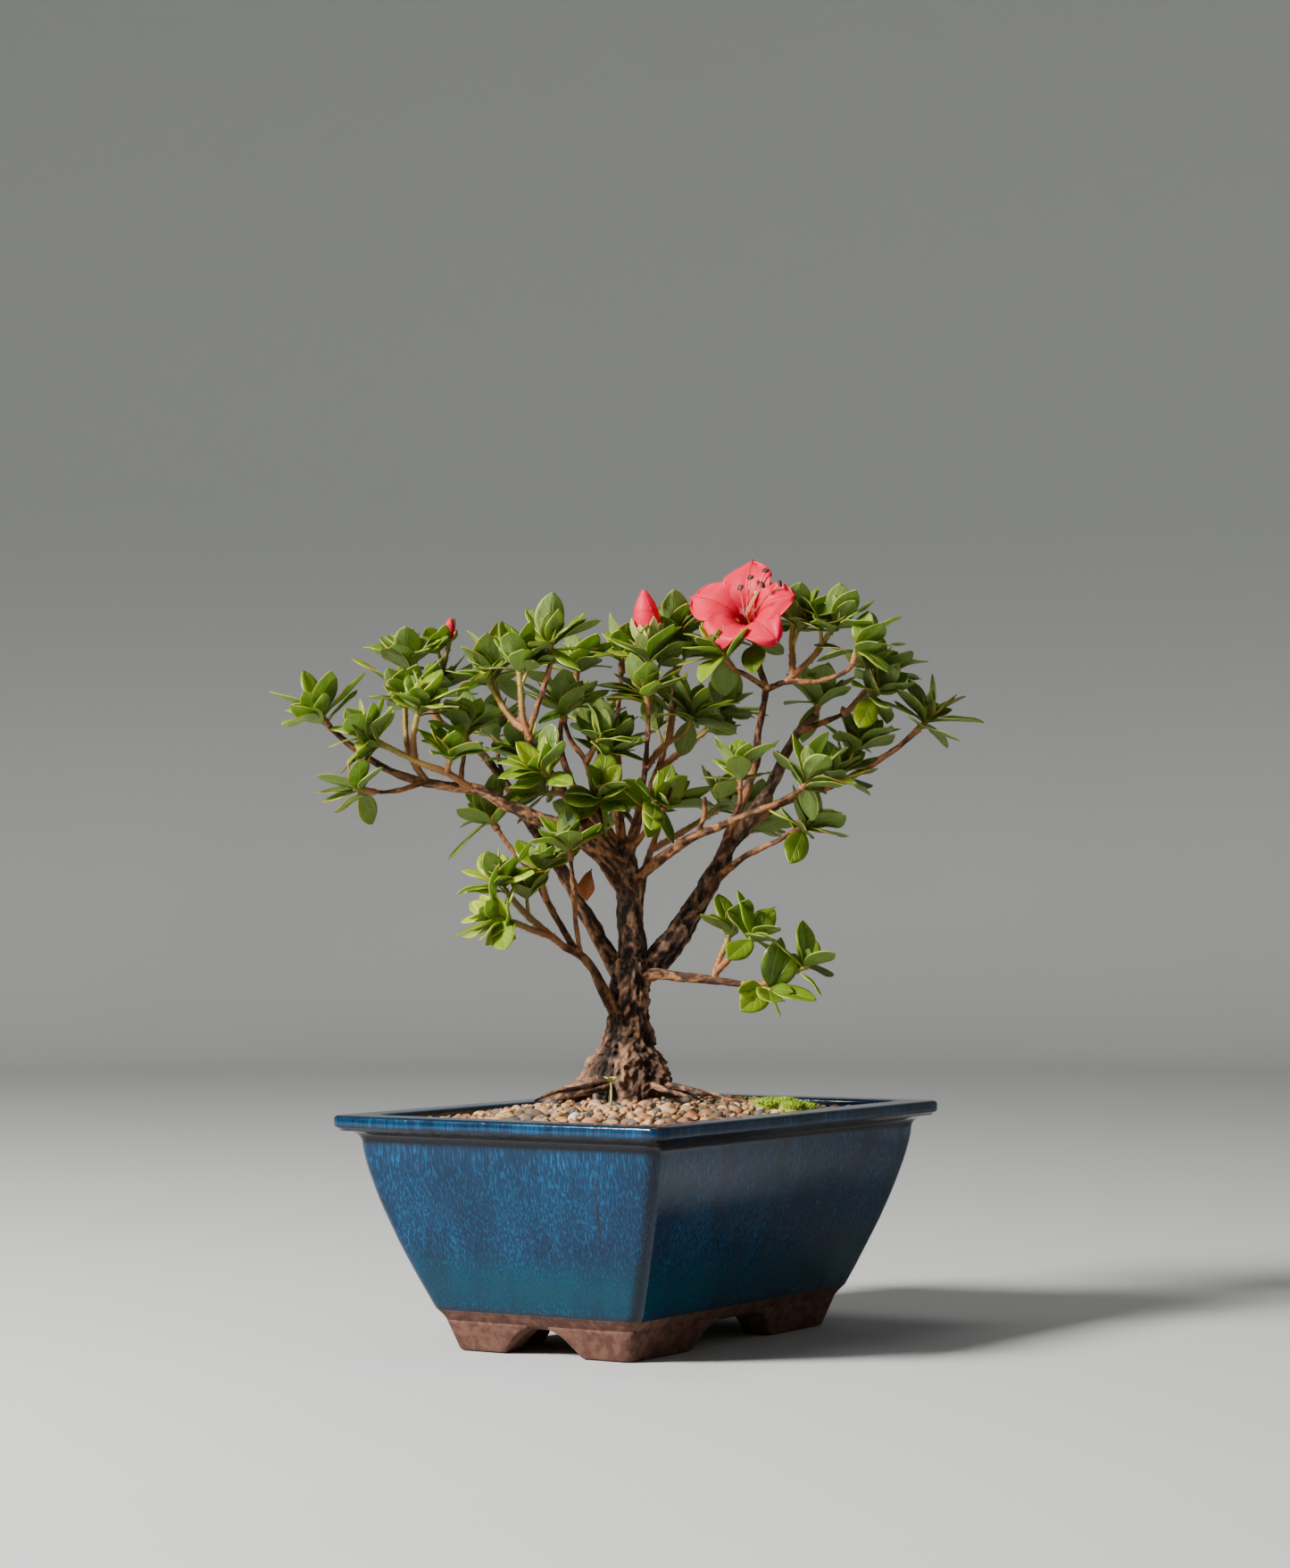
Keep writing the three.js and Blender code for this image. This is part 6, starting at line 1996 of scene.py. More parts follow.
    def cushion(self, maker: Maker, rng: random.Random, x0: float, y0: float, share: float) -> None:
        """Adds one low cushion of moss with its fine upright shoots.

        Args:
            maker: Takes the cushion.
            rng: Source of the shoots' places.
            x0: Its middle, along the pot.
            y0: Its middle, across the pot.
            share: Its size as a share of the whole patch.
        """
        base = self.height(x0, y0)
        rows, columns = 30, 30
        half_x, half_y = self.moss_length / 2 * share, self.moss_length / 3 * share
        top = []
        for u in np.linspace(-1, 1, rows):
            for v in np.linspace(-1, 1, columns):
                a, b = u * math.sqrt(1 - v * v / 2), v * math.sqrt(1 - u * u / 2)
                dome = math.sqrt(max(0.0, 1 - a * a - b * b))
                z = base - 2.2 + (self.moss_height * share + 1.0) * dome
                top.append([x0 + a * half_x, y0 + b * half_y, z])
        cushion = np.array(top)
        cushion[:, 2] += value_noise(cushion, 2.6, 31) * 0.9 + value_noise(cushion, 1.0, 32) * 0.5
        maker.add(thick_sheet(self.frame.from_pot(cushion), 1.4, rows, columns, {}), tint=0.3)
        for _ in range(int(1500 * share)):
            spot = cushion[rng.randrange(len(cushion))]
            spot = spot + [rng.uniform(-0.5, 0.5), rng.uniform(-0.5, 0.5), -0.2]
            lean = np.array([rng.gauss(0, 0.45), rng.gauss(0, 0.45), 1.0]) * rng.uniform(1.4, 3.0)
            path = self.frame.from_pot(np.array([spot, spot + lean * 0.6, spot + lean]))
            maker.add(tube_skin(path, np.array([0.26, 0.36, 0.06]), 5), tint=rng.uniform(0.35, 1.0))

    def moss(self) -> None:
        """Scattered low cushions of moss."""
        rng = random.Random(self.seed + 1)
        middle = self.frame.from_tree([56, 10, SHAPE_RIM])
        x0, y0 = middle[0] - self.frame.centre_x, middle[1] - self.frame.centre_y
        maker = Maker("moss")
        for x, y, share in ((0, 0, 0.62), (-11, 3, 0.42), (10, -3, 0.4), (4, 7, 0.34), (-6, -6, 0.3)):
            self.cushion(maker, rng, x0 + x, y0 + y, share)
        place(maker.build([self.palette.moss]), "moss", "moss_patch")

    def seedling(self) -> None:
        """A seedling with two seed leaves and a first pair above them."""
        foot = self.frame.from_tree([-14, -26, SHAPE_RIM]) - [self.frame.centre_x, self.frame.centre_y, 0]
        base = self.height(foot[0], foot[1])
        low = np.array([foot[0], foot[1], base - 1.0])
        top = low + [1.0, 0.6, 9.2]
        maker = Maker("seedling")
        path = smooth_path(self.frame.from_pot(np.array([low, (low + top) / 2 + [0.3, 0, 0], top])), 12)
        maker.add(tube_skin(path, np.linspace(0.5, 0.36, 12), 10), tint=0.6)
        node = path[-2]
        reaches = ([4.5, 1.5, 2.0], [-4.5, -1.5, 2.0], [-1.2, 2.6, 2.2], [1.2, -2.6, 2.0])
        for reach, width in zip(reaches, (3.0, 3.0, 2.0, 2.0)):
            blade = LeafBlade(width=width, thickness=0.45, fold=0.12, arch=0.5)
            maker.add(blade.grow(node, node + np.array(reach), UP), tint=0.75)
        place(maker.build([self.palette.young]), "young_green", "seedling")

    def build(self) -> None:
        """Makes the filling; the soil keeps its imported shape."""
        soil = self.frame.nodes["potting_soil"]
        soil.data.materials.clear()
        soil.data.materials.append(self.palette.soil)
        self.bed()
        self.pebbles()
        self.moss()
        self.seedling()


# ---- Wood ---------------------------------------------------------------


@dataclass
class Wood:
    """Trunk, roots, rootlets and limbs in one skin of flaky bark."""

    frame: PotFrame
    palette: Palette
    voxel: float = 0.42
    taper: float = 0.75
    rootlets: tuple[tuple[tuple[float, float, float], ...], ...] = (
        ((-12, -14, 102), (-18, -22, 100.5), (-26, -30, 99), (-35, -36, 97)),
        ((-16, -12, 103), (-26, -20, 101), (-36, -26, 99.5), (-44, -34, 96.5)),
        ((2, -13, 102), (8, -24, 100), (18, -32, 98)),
        ((6, -8, 102), (18, -16, 100), (30, -24, 97.5), (38, -28, 95.5)),
    )

    @staticmethod
    def bark_height(radius: np.ndarray | float, strength: float) -> np.ndarray | float:
        """How far the bark stands out on wood of a radius."""
        return np.clip(radius * 0.13, 0.25, 1.5) * strength

    @staticmethod
    def flare(radius: np.ndarray) -> np.ndarray:
        """How strongly the trunk is ribbed at a radius, as a share of it."""
        return np.clip((radius - 8.0) / 42, 0, 0.24)

    def relief(self, seed: int, strength: float) -> Relief:
        """The bark's relief on a limb.

        Args:
            seed: Picks the limb's own pattern.
            strength: Share of the full relief.

        Returns:
            A function for tube_skin.
        """

        def lift(radius: np.ndarray, along: np.ndarray, angle: np.ndarray) -> np.ndarray:
            """How far the bark stands out."""
            size = self.bark_height(radius, strength)
            at = np.stack([np.cos(angle) * radius, np.sin(angle) * radius, along * 0.42], 1)
            bend = at + np.stack([value_noise(at, 5.0, seed + 3)] * 3, 1) * 1.2
            plates = np.tanh(3.5 * value_noise(bend, 1.7, seed))
            flakes = np.tanh(2.5 * value_noise(bend * [1, 1, 1.6], 0.95, seed + 1))
            fine = value_noise(at * [1, 1, 2], 0.8, seed + 2)
            return size * (0.55 * plates + 0.4 * flakes + 0.25 * fine)

        return lift

    def limb(
        self,
        maker: Maker,
        places: np.ndarray,
        radii: np.ndarray,
        seed: int,
        young: float,
        strength: float = 1.0,
    ) -> None:
        """Adds one limb along smooth places with a radius at each."""
        sides = int(min(150, max(14, 2 * math.pi * radii.max() / 0.5)))
        skin = tube_skin(places, radii, sides, self.relief(seed, strength), blunt=True)
        skin.marks["lift"] = skin.marks["lift"] / self.bark_height(radii.mean(), strength)
        maker.add(skin, young=young)

    def trunk(self, maker: Maker) -> None:
        """The trunk, flared and ribbed where the roots leave it."""
        laid = np.array(TRUNK, float)
        rings, sides = 170, 170
        centre = smooth_path(self.frame.from_tree(laid[:, :3]), rings)
        heights = self.frame.from_tree(laid[:, :3])[:, 2]
        radii = np.interp(centre[:, 2], heights, laid[:, 3])
        bark = self.relief(5, 1.0)

        def lift(radius: np.ndarray, along: np.ndarray, angle: np.ndarray) -> np.ndarray:
            """Bark over the ribs that run down into the roots."""
            lobes = np.cos(5 * (angle - TREE_TURN) + 0.6) * 0.7
            lobes = lobes + np.cos(3 * angle + 1.1 + along * 0.02) * 0.45
            return radius * self.flare(radius) * lobes * 0.8 + bark(radius, along, angle) * 1.25

        skin = tube_skin(centre, radii, sides, lift)
        nominal = np.repeat(radii, sides)
        flared = self.flare(nominal) * nominal
        crest = skin.marks["lift"][: len(nominal)] / np.maximum(flared + 0.8, 0.8)
        skin.marks["lift"] = np.concatenate([crest, [0, 0]])
        maker.add(skin, young=0.0)

    def gather(self) -> Maker:
        """Every limb and root as a tube with its bark."""
        maker = Maker("trunk_and_limbs")
        self.trunk(maker)
        for number, (start, end, *points) in enumerate([*ROOTS, *LIMBS]):
            laid = self.frame.from_tree(points)
            count = max(12, int(path_length(laid) / 0.6))
            places = smooth_path(laid, count)
            t = np.linspace(0, 1, count)
            radii = start + (end - start) * t**self.taper
            wander = np.stack([value_noise(places, 9.0, 40 + number + k) for k in range(3)], 1)
            held = np.minimum(1, 6 * np.minimum(t, 1 - t))[:, None]
            places = places + wander * np.minimum(radii * 0.22, 0.7)[:, None] * held
            knots = 1 + 0.1 * value_noise(places, 7.0, 60 + number)
            knots = knots + 0.05 * value_noise(places, 2.5, 61 + number)
            young = min(1.0, max(0.0, (3.4 - radii.mean()) / 2.0))
            self.limb(maker, places, radii * knots, 100 + 7 * number, young)
        for number, points in enumerate(self.rootlets):
            places = smooth_path(self.frame.from_tree(points), 60)
            self.limb(maker, places, np.linspace(1.5, 0.55, 60), 400 + number, 0.25, 0.8)
        return maker

    def build(self) -> None:
        """Joins the limbs into one skin and carries their values over."""
        maker = self.gather()
        tree = kdtree.KDTree(sum(len(skin.points) for skin in maker.skins))
        lifts = np.concatenate([skin.marks["lift"] for skin in maker.skins])
        youth = np.concatenate([skin.marks["young"] for skin in maker.skins])
        for number, point in enumerate(np.vstack([skin.points for skin in maker.skins]) * MM):
            tree.insert(point, number)
        tree.balance()
        piece = maker.build([self.palette.bark])
        join = piece.modifiers.new("join", "REMESH")
        join.mode = "VOXEL"
        join.voxel_size = self.voxel * MM
        join.adaptivity = 0.0
        apply_all(piece)
        mesh = piece.data
        points = np.empty(len(mesh.vertices) * 3)
        mesh.vertices.foreach_get("co", points)
        nearest = [tree.find(p)[1] for p in points.reshape(-1, 3)]
        for name, values in (("lift", lifts), ("young", youth)):
            write_mark(mesh, name, values[nearest])
        mesh.materials.clear()
        mesh.materials.append(self.palette.bark)
        mesh.polygons.foreach_set("use_smooth", [True] * len(mesh.polygons))
        place(piece, "bark", "trunk_and_branches")


# ---- Leaves -------------------------------------------------------------

# The ways that a leaf may turn aside to find room: a turn about the upright,
# a lift, and a share of its length.
TURNS = (
    (0, 0, 1),
    (0.25, 0.1, 1),
    (-0.25, 0.1, 1),
    (0.15, 0.45, 1),
    (-0.15, 0.45, 1),
    (0.5, -0.2, 0.95),
    (-0.5, -0.2, 0.95),
    (0.8, 0.3, 0.9),
    (-0.8, 0.3, 0.9),
    (0, 0.8, 0.85),
    (1.3, 0.2, 0.85),
    (-1.3, 0.2, 0.85),
)

# Shoots that stay open, with few leaves.
SPARSE = ("low_right", "low_right_upright", "left_low", "flower_base", "flower_side")


@dataclass
class LeafBlade:
    """One leaf: widest past its middle, folded along its midrib."""

    width: float = 11.0
    thickness: float = 0.32
    fold: float = 0.22
    arch: float = 1.1
    droop: float = 0.0
    twist: float = 0.0
    wave: float = 0.0
    phase: float = 0.0
    curl: float = 0.35
    rows: int = 15
    columns: int = 9

    def grow(self, base: np.ndarray, tip: np.ndarray, up: np.ndarray) -> Skin:
        """The leaf between two points.

        Args:
            base: Where it leaves the stem.
            tip: Its point.
            up: The side that its upper face looks to.

        Returns:
            The leaf's closed skin with "along", "across" and "under" marks.
        """
        reach = tip - base
        length = float(np.linalg.norm(reach))
        forward = reach / length
        side = unit(np.cross(forward, up))
        top = np.cross(side, forward)
        t = np.linspace(0, 1, self.rows)[:, None]
        s = np.linspace(-1, 1, self.columns)[None, :]
        blade = np.clip((t - 0.05) / 0.95, 0, 1)
        outline = blade**0.9 * (1 - blade) ** 0.85 / 0.2975
        half = self.width / 2 * np.maximum(outline, 0)
        half = np.maximum(half, np.where(t < 0.15, 0.38, 0.06))
        away = np.abs(s)
        lift = half * away * self.fold - self.curl * half * away**3 * 0.45
        lift = lift + self.arch * 4 * (t - t * t) - self.droop * t**2 * (1 - t) * 4
        lift = lift + self.wave * away**2 * np.sin(9.0 * t + self.phase + s * 1.3) * outline
        turn = self.twist * (t - 0.3)
        wide = s * half * (1 - 0.12 * away * self.fold)
        x = wide * np.cos(turn)
        z = lift + wide * np.sin(turn)
        points = base + forward * (t * length)[..., None] + side * x[..., None] + top * z[..., None]
        points = points.reshape(-1, 3)
        marks = {"along": (t * np.ones_like(s)).ravel(), "across": (s * np.ones_like(t)).ravel()}
        return thick_sheet(points, self.thickness, self.rows, self.columns, marks)


@dataclass
class Foliage:
    """The leafy shoots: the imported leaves, and more that fill the crown."""

    frame: PotFrame
    palette: Palette
    length: float = 21.0
    width: float = 11.2
    stem_radius: float = 1.2
    stem_reach: float = 1.5
    match: float = 0.12
    seed: int = 71

    def candidates(self, reach: np.ndarray) -> list[np.ndarray]:
        """The ways a leaf may have turned aside, first choice first."""
        ways = []
        for turn, lift, share in TURNS:
            aim = turned(reach * share, UP, turn)
            hinge = np.cross(aim, UP)
            ways.append(turned(aim, hinge, lift))
        return ways

    def laid_reaches(self, tuft: Tuft, axis: np.ndarray, draw: Callable[[], float]) -> list[np.ndarray]:
        """Reaches of a tuft's leaves, in the tree's axes, before they turn aside.

        Args:
            tuft: The tuft.
            axis: The way its shoot grows.
            draw: The shoot's source of numbers.

        Returns:
            From the tuft's centre to each leaf's tip.
        """
        reaches = []
        for number, (x, z) in enumerate(tuft.tips):
            reach = np.array([x - tuft.at[0], 0.0, z - tuft.at[2]])
            flat = float(np.linalg.norm(reach))
            full = self.length * (0.92 + 0.16 * draw())
            depth = math.sqrt(max(full * full - flat * flat, 4))
            reach[1] = (0.8 if number % 2 else -1.0) * depth
            reaches.append(reach)
        u, v = across(axis)
        for number in range(tuft.fill):
            angle = 1.2 + number * GOLDEN_TURN + 0.4 * draw()
            slope = 1.25 - 0.5 * draw()
            length = self.length * (0.8 + 0.25 * draw())
            out = axis * math.cos(slope) + u * math.sin(slope) * math.cos(angle)
            out = out + v * math.sin(slope) * math.sin(angle)
            reaches.append(out * length)
        return reaches

    def blade(self, rng: random.Random, length: float) -> LeafBlade:
        """A leaf shape of its own for a leaf of a length."""
        return LeafBlade(
            width=self.width * min(max(length / self.length, 0.6), 1.15) * rng.uniform(0.9, 1.15),
            fold=rng.uniform(0.08, 0.42),
            arch=rng.uniform(0.7, 1.7),
            droop=rng.uniform(0.0, 1.6),
            twist=rng.gauss(0, 0.35),
            wave=rng.uniform(0.1, 0.55),
            phase=rng.uniform(0, 6.28),
            curl=rng.uniform(0.1, 0.8),
        )

    def stem(self, maker: Maker, points: list[list[float]], rng: random.Random) -> None:
        """A young stem with its short bristles."""
        laid = self.frame.from_tree(points)
        last = laid[-1] + unit(laid[-1] - laid[-2]) * self.stem_reach
        laid = np.vstack([laid[:-1], last])
        count = max(8, int(path_length(laid) / 0.9))
        path = smooth_path(laid, count)
        radii = self.stem_radius * np.linspace(1.2, 0.8, count)
        radii = radii * (1 + 0.12 * value_noise(path, 2.4, 90))
        fresh = np.linspace(-0.35, 1.0, count).clip(0, 1)
        skin = tube_skin(path, radii, 10, blunt=True)
        skin.marks["fresh"] = np.append(np.repeat(np.append(fresh, 1.0), 10), [0.0, 1.0])
        skin.finish = 1
        maker.add(skin)
        tangents = unit(np.gradient(path, axis=0))
        for _ in range(int(path_length(laid) * 6)):
            at = rng.randrange(1, count)
            u, v = across(tangents[at])
            angle = rng.uniform(0, FULL_TURN)
            out = spoke(u, v, angle)
            foot = path[at] + out * radii[at] * 0.9
            tip = foot + (out * rng.uniform(0.5, 1.0) + tangents[at] * rng.uniform(0.5, 1.3))
            hair = tube_skin(np.array([foot, (foot + tip) / 2, tip]), np.array([0.11, 0.08, 0.03]), 4)
            hair.finish = 1
            maker.add(hair, fresh=fresh[at] * 0.6)

    def leaf(
        self,
        maker: Maker,
        base: np.ndarray,
        aim: np.ndarray,
        up: np.ndarray,
        rng: random.Random,
        tone_and_sun: float,
    ) -> None:
        """Adds one leaf in the row frame, with its own tint."""
        length = float(np.linalg.norm(aim))
        skin = self.blade(rng, length).grow(base, base + aim, up)
        rust = rng.random() ** 1.6
        tint = min(max(tone_and_sun + rng.gauss(0, 0.2), 0.0), 1.0)
        maker.add(skin, tint=tint, rust=rust)

    def shoot(self, number: int, shoot: Shoot) -> None:
        """Builds one shoot in place of its node."""
        node = self.frame.nodes[f"shoot_{shoot.name}"]
        points = np.array([v.co for v in node.data.vertices]) / MM
        known = kdtree.KDTree(len(points))
        for at, point in enumerate(points):
            known.insert(point, at)
        known.balance()
        draw = plant_random(1000 + 37 * number)
        rng = random.Random(self.seed + number)
        maker = Maker(f"leafy_{shoot.name}")
        for stem in shoot.stems:
            self.stem(maker, stem, rng)
        missed = 0
        sparse = shoot.name in SPARSE
        for order, tuft in enumerate(shoot.tufts):
            stem = np.array(shoot.stems[min(order, len(shoot.stems) - 1)], float)
            axis = unit(unit(stem[-1] - stem[-2]) + 0.5 * UP)
            centre = self.frame.from_tree(tuft.at)
            up = self.frame.direction(axis + 0.6 * UP)
            tone_and_sun = tone_and_painted_sun_of(shoot.name, tuft.at)
            for reach in self.laid_reaches(tuft, axis, draw):
                ways = [self.frame.from_tree(np.array(tuft.at) + w) - centre for w in self.candidates(reach)]
                gaps = [known.find(centre + way)[2] for way in ways]
                best = int(np.argmin(gaps))
                if gaps[best] < self.match:
                    self.leaf(maker, centre, ways[best], up, rng, tone_and_sun)
                else:
                    missed += 1
            self.fill_out(maker, centre, self.frame.direction(axis), rng, tone_and_sun, 3 if sparse else 10)
        for stem in [] if sparse else shoot.stems:
            self.side_whorl(maker, self.frame.from_tree(stem), rng, tone_and_painted_sun_of(shoot.name, stem[-1]))
        log.info("%s: %d leaves without room", shoot.name, missed)
        piece = maker.build([self.palette.leaf, self.palette.stem])
        place(piece, "leaf", node.name)

    def fill_out(
        self,
        maker: Maker,
        centre: np.ndarray,
        axis: np.ndarray,
        rng: random.Random,
        tone_and_sun: float,
        count: int,
    ) -> None:
        """More leaves of a tuft: a spreading ring and an upright cup of new ones."""
        start = rng.uniform(0, 6.28)
        for number in range(count):
            inner = number >= count * 0.4
            slope = rng.uniform(0.25, 0.8) if inner else rng.uniform(0.9, 1.55)
            share = rng.uniform(0.45, 0.86) if inner else rng.uniform(0.75, 1.0)
            foot = centre - axis * (0.0 if inner else rng.uniform(0.5, 3.5))
            angle = start + number * GOLDEN_TURN
            self.splay(maker, foot, axis, angle, slope, share, rng, tone_and_sun + (0.22 if inner else -0.1))

    def splay(
        self,
        maker: Maker,
        foot: np.ndarray,
        axis: np.ndarray,
        angle: float,
        slope: float,
        share: float,
        rng: random.Random,
        tone_and_sun: float,
    ) -> None:
        """Adds a leaf that leaves a stem at an angle round it and a slope from it."""
        u, v = across(axis)
        out = axis * math.cos(slope) + spoke(u, v, angle) * math.sin(slope)
        self.leaf(maker, foot, out * self.length * share, axis, rng, tone_and_sun)

    def side_whorl(self, maker: Maker, laid: np.ndarray, rng: random.Random, tone_and_sun: float) -> None:
        """Adds a short side twig with a small whorl partway up a long stem."""
        if path_length(laid) < 20.0:
            return
        path = smooth_path(laid, 20)
        at = rng.randrange(9, 15)
        along = unit(path[at + 1] - path[at])
        u, v = across(along)
        angle = rng.uniform(0, FULL_TURN)
        out = unit(along * 0.7 + spoke(u, v, angle) * 0.6 + 0.5 * UP)
        top = path[at] + out * rng.uniform(6.0, 10.0)
        bent = smooth_path(np.array([path[at], (path[at] + top) / 2 + out, top]), 10)
        twig = tube_skin(bent, np.linspace(0.95, 0.7, 10), 8, blunt=True)
        twig.finish = 1
        maker.add(twig, fresh=0.6)
        for number in range(7):
            slope = rng.uniform(0.35, 1.25)
            share = rng.uniform(0.5, 0.85)
            self.splay(maker, top, out, angle + number * GOLDEN_TURN, slope, share, rng, tone_and_sun)

    def dried_leaf(self) -> None:
        """One curled brown leaf caught between the limbs."""
        base = self.frame.from_tree([-22, -4, 188])
        aim = self.frame.direction([-0.15, -0.35, -1.0]) * 14.0
        blade = LeafBlade(width=8.0, thickness=0.4, fold=0.6, arch=2.0, twist=0.9, wave=0.8, curl=1.2)
        maker = Maker("dried_leaf")
        maker.add(blade.grow(base, base + aim, self.frame.direction([-0.6, -0.8, 0.2])), tint=0.7)
        place(maker.build([self.palette.dried]), "leaf", "shoot_low_left_inner")

    def build(self) -> None:
        """Builds every shoot."""
        for number, shoot in enumerate(SHOOTS):
            self.shoot(number, shoot)
        self.dried_leaf()


def tone_and_painted_sun_of(name: str, at: list[float]) -> float:
    """How light a tuft's green is, from 0, dark, to 1, yellow-green: its own green, with painted sunlight on
    the tufts lit from the left.
    """
    # Painted sunlight: the listed tufts get a set value, yellow-green for those lit on the left.
    bright = {"low_left_bright": 0.95, "left_end": 0.75, "left_upper": 0.7, "low_left": 0.8, "low_right": 0.5}
    return bright.get(name, 0.5 + 0.12 * math.sin(at[0] * 0.3 + at[2] * 0.2))


# ---- Flower and buds ----------------------------------------------------


@dataclass(frozen=True)
class Petal:
    """One petal: its place round the throat, reach, half width and flare."""

    turn: float
    reach: float
    spread: float
    flare: float
    freckled: float = 0.0
    inside: float = 0.0


@dataclass
class Flower:
    """The open flower: five ruffled petals, stamens, pistil and calyx."""

    frame: PotFrame
    palette: Palette
    at: tuple[float, float, float] = (42.8, 2.6, 285.4)
    axis: tuple[float, float, float] = (-0.3, -0.8, 0.52)
    depth: float = 20.0
    tube_radius: float = 2.4
    petals: tuple[Petal, ...] = (
        Petal(0.0, 23.5, 10.6, 0.9, 1.0, 0.0),
        Petal(74.0, 21.5, 9.4, 0.8, 0.4, 0.5),
        Petal(132.0, 21.5, 8.6, 1.2, 0.0, 0.1),
        Petal(218.0, 20.0, 9.2, 1.2, 0.0, 0.4),
        Petal(286.0, 24.0, 10.4, 1.0, 0.4, 0.25),
    )
    throat: tuple[tuple[float, float], ...] = (
        (0.1, 1.5),
        (0.4, 2.2),
        (1.5, 2.6),
        (3.0, 2.9),
        (4.5, 3.4),
        (4.4, 3.0),
        (3.0, 2.5),
        (1.5, 2.1),
        (0.7, 1.4),
    )
    threads: tuple[tuple[float, float, float], ...] = (
        (8.3, 15.5, 18.0),
        (-0.6, 6.7, 19.0),
        (8.8, 7.3, 19.5),
        (15.0, 9.6, 17.0),
        (2.6, 12.0, 18.5),
    )

    def axes(self) -> tuple[np.ndarray, np.ndarray, np.ndarray, np.ndarray]:
        """The flower's base, its right, its upper side and its axis."""
        out = self.frame.direction(self.axis)
        upper = unit(UP - out * float(UP @ out))
        return self.frame.from_tree(self.at), np.cross(upper, out), upper, out

    def petal(self, shape: Petal, number: int) -> Skin:
        """One petal as a thin cupped sheet with a ruffled edge."""
        base, right, upper, out = self.axes()
        rows, columns = 34, 25
        t = np.linspace(0, 1, rows)[:, None]
        s = np.linspace(-1, 1, columns)[None, :]
        angle = math.radians(shape.turn)
        away = right * math.sin(angle) + upper * math.cos(angle)
        aside = np.cross(out, away)
        bell = np.clip((t - 0.22) / 0.78, 0, 1)
        wide = 1.7 + (shape.spread - 1.7) * np.sin(np.pi * np.clip(bell, 0, 1) ** 0.8 * 0.62) ** 0.9
        tip_round = np.sqrt(np.clip(1 - np.clip((t - 0.6) / 0.4, 0, 1) ** 2.4, 0, 1))
        wide = wide * np.maximum(tip_round, 0.04)
        notch = 1 + 0.05 * np.exp(-((s / 0.2) ** 2)) * (t > 0.5)
        radius = self.tube_radius + (shape.reach - self.tube_radius) * (t**1.7) * notch
        rise = self.depth * 0.86 * (1 - (1 - t) ** 1.9) * (1 - 0.28 * shape.flare * t**3)
        cup = 0.16 * shape.spread * np.abs(s) ** 2 * (1 - 0.9 * t) - 1.2 * t**2 * np.abs(s) ** 2
        ruffle = 1.15 * t**1.5 * np.abs(s) ** 1.5 * np.sin(17 * t + 2.6 * s * np.sign(s) + number * 1.9)
        ruffle = ruffle + 0.7 * t**6 * np.sin(5.5 * s + number * 2.1)
        groove = -0.45 * np.exp(-((s / 0.11) ** 2)) * t * (1 - t) * 4
        hang = rise + cup + ruffle + groove - shape.inside * t
        bend = wide * np.sin(s * 1.05) / math.sin(1.05)
        curve = wide * (1 - np.cos(s * 1.0)) * 0.5 * (1 - t)
        points = (
            base
            + away * (radius - curve)[..., None]
            + aside * bend[..., None]
            + out * (hang + 0.3)[..., None]
        )
        marks = {
            "along": (t * np.ones_like(s)).ravel(),
            "across": (s * np.ones_like(t)).ravel(),
            "freckled": np.full(rows * columns, shape.freckled),
        }
        return thick_sheet(points.reshape(-1, 3), 0.35, rows, columns, marks)

    def corolla(self) -> None:
        """The five petals, with a short tube where they join."""
        maker = Maker("petals")
        for number, shape in enumerate(self.petals):
            maker.add(self.petal(shape, number))
        base, right, upper, out = self.axes()
        angles = np.linspace(0, FULL_TURN, 40, endpoint=False)
        ways = spokes(right, upper, angles)
        lobes = (1 + 0.06 * np.cos(5 * angles))[:, None]
        rings = [base + out * distance + ways * radius * lobes for distance, radius in self.throat]
        maker.add(Skin(ring_points(rings), ring_faces(len(rings), len(angles))), along=0.2, across=0.5)
        place(maker.build([self.palette.petal]), "petal", "flower_corolla")

    def thread(
        self,
        maker: Maker,
        end: tuple[float, float, float],
        radius: float,
        lean: float,
        tint: float,
    ) -> np.ndarray:
        """Adds one thread from the throat and returns its last two points."""
        base, right, upper, out = self.axes()
        x, y, z = end
        middle = base + out * (z * 0.55) + (right * x + upper * y) * 0.2 - upper * lean
        tip = base + right * x + upper * y + out * z
        low = base + out * 5.0 + (right * x + upper * y) * 0.04
        path = smooth_path(np.array([base + out * 1.2, low, middle, tip]), 34)
        maker.add(tube_skin(path, np.linspace(radius, radius * 0.75, 34), 8, blunt=True), tint=tint)
        return path[-2:]

    def stamens(self) -> None:
        """Five curved threads with two-lobed dark anthers."""
        threads, anthers = Maker("filaments"), Maker("anthers")
        for number, end in enumerate(self.threads):
            ends = self.thread(threads, end, 0.4, 1.0, 0.55 + 0.08 * number)
            along = unit(ends[1] - ends[0])
            u, v = across(along)
            for side in (-1, 1):
                lobe = np.linspace(-1.6, 1.6, 12)[:, None] * (v * 0.9 + along * 0.4)
                path = ends[1] + u * side * 0.5 + lobe
                swell = 0.75 * np.sqrt(np.clip(1 - np.linspace(-1, 1, 12) ** 2, 0.02, 1))
                anthers.add(tube_skin(path, swell, 12), tint=0.4 + 0.1 * side)
        place(threads.build([self.palette.filament]), "filament", "flower_stamens")
        place(anthers.build([self.palette.anther]), "filament", "flower_stamens")

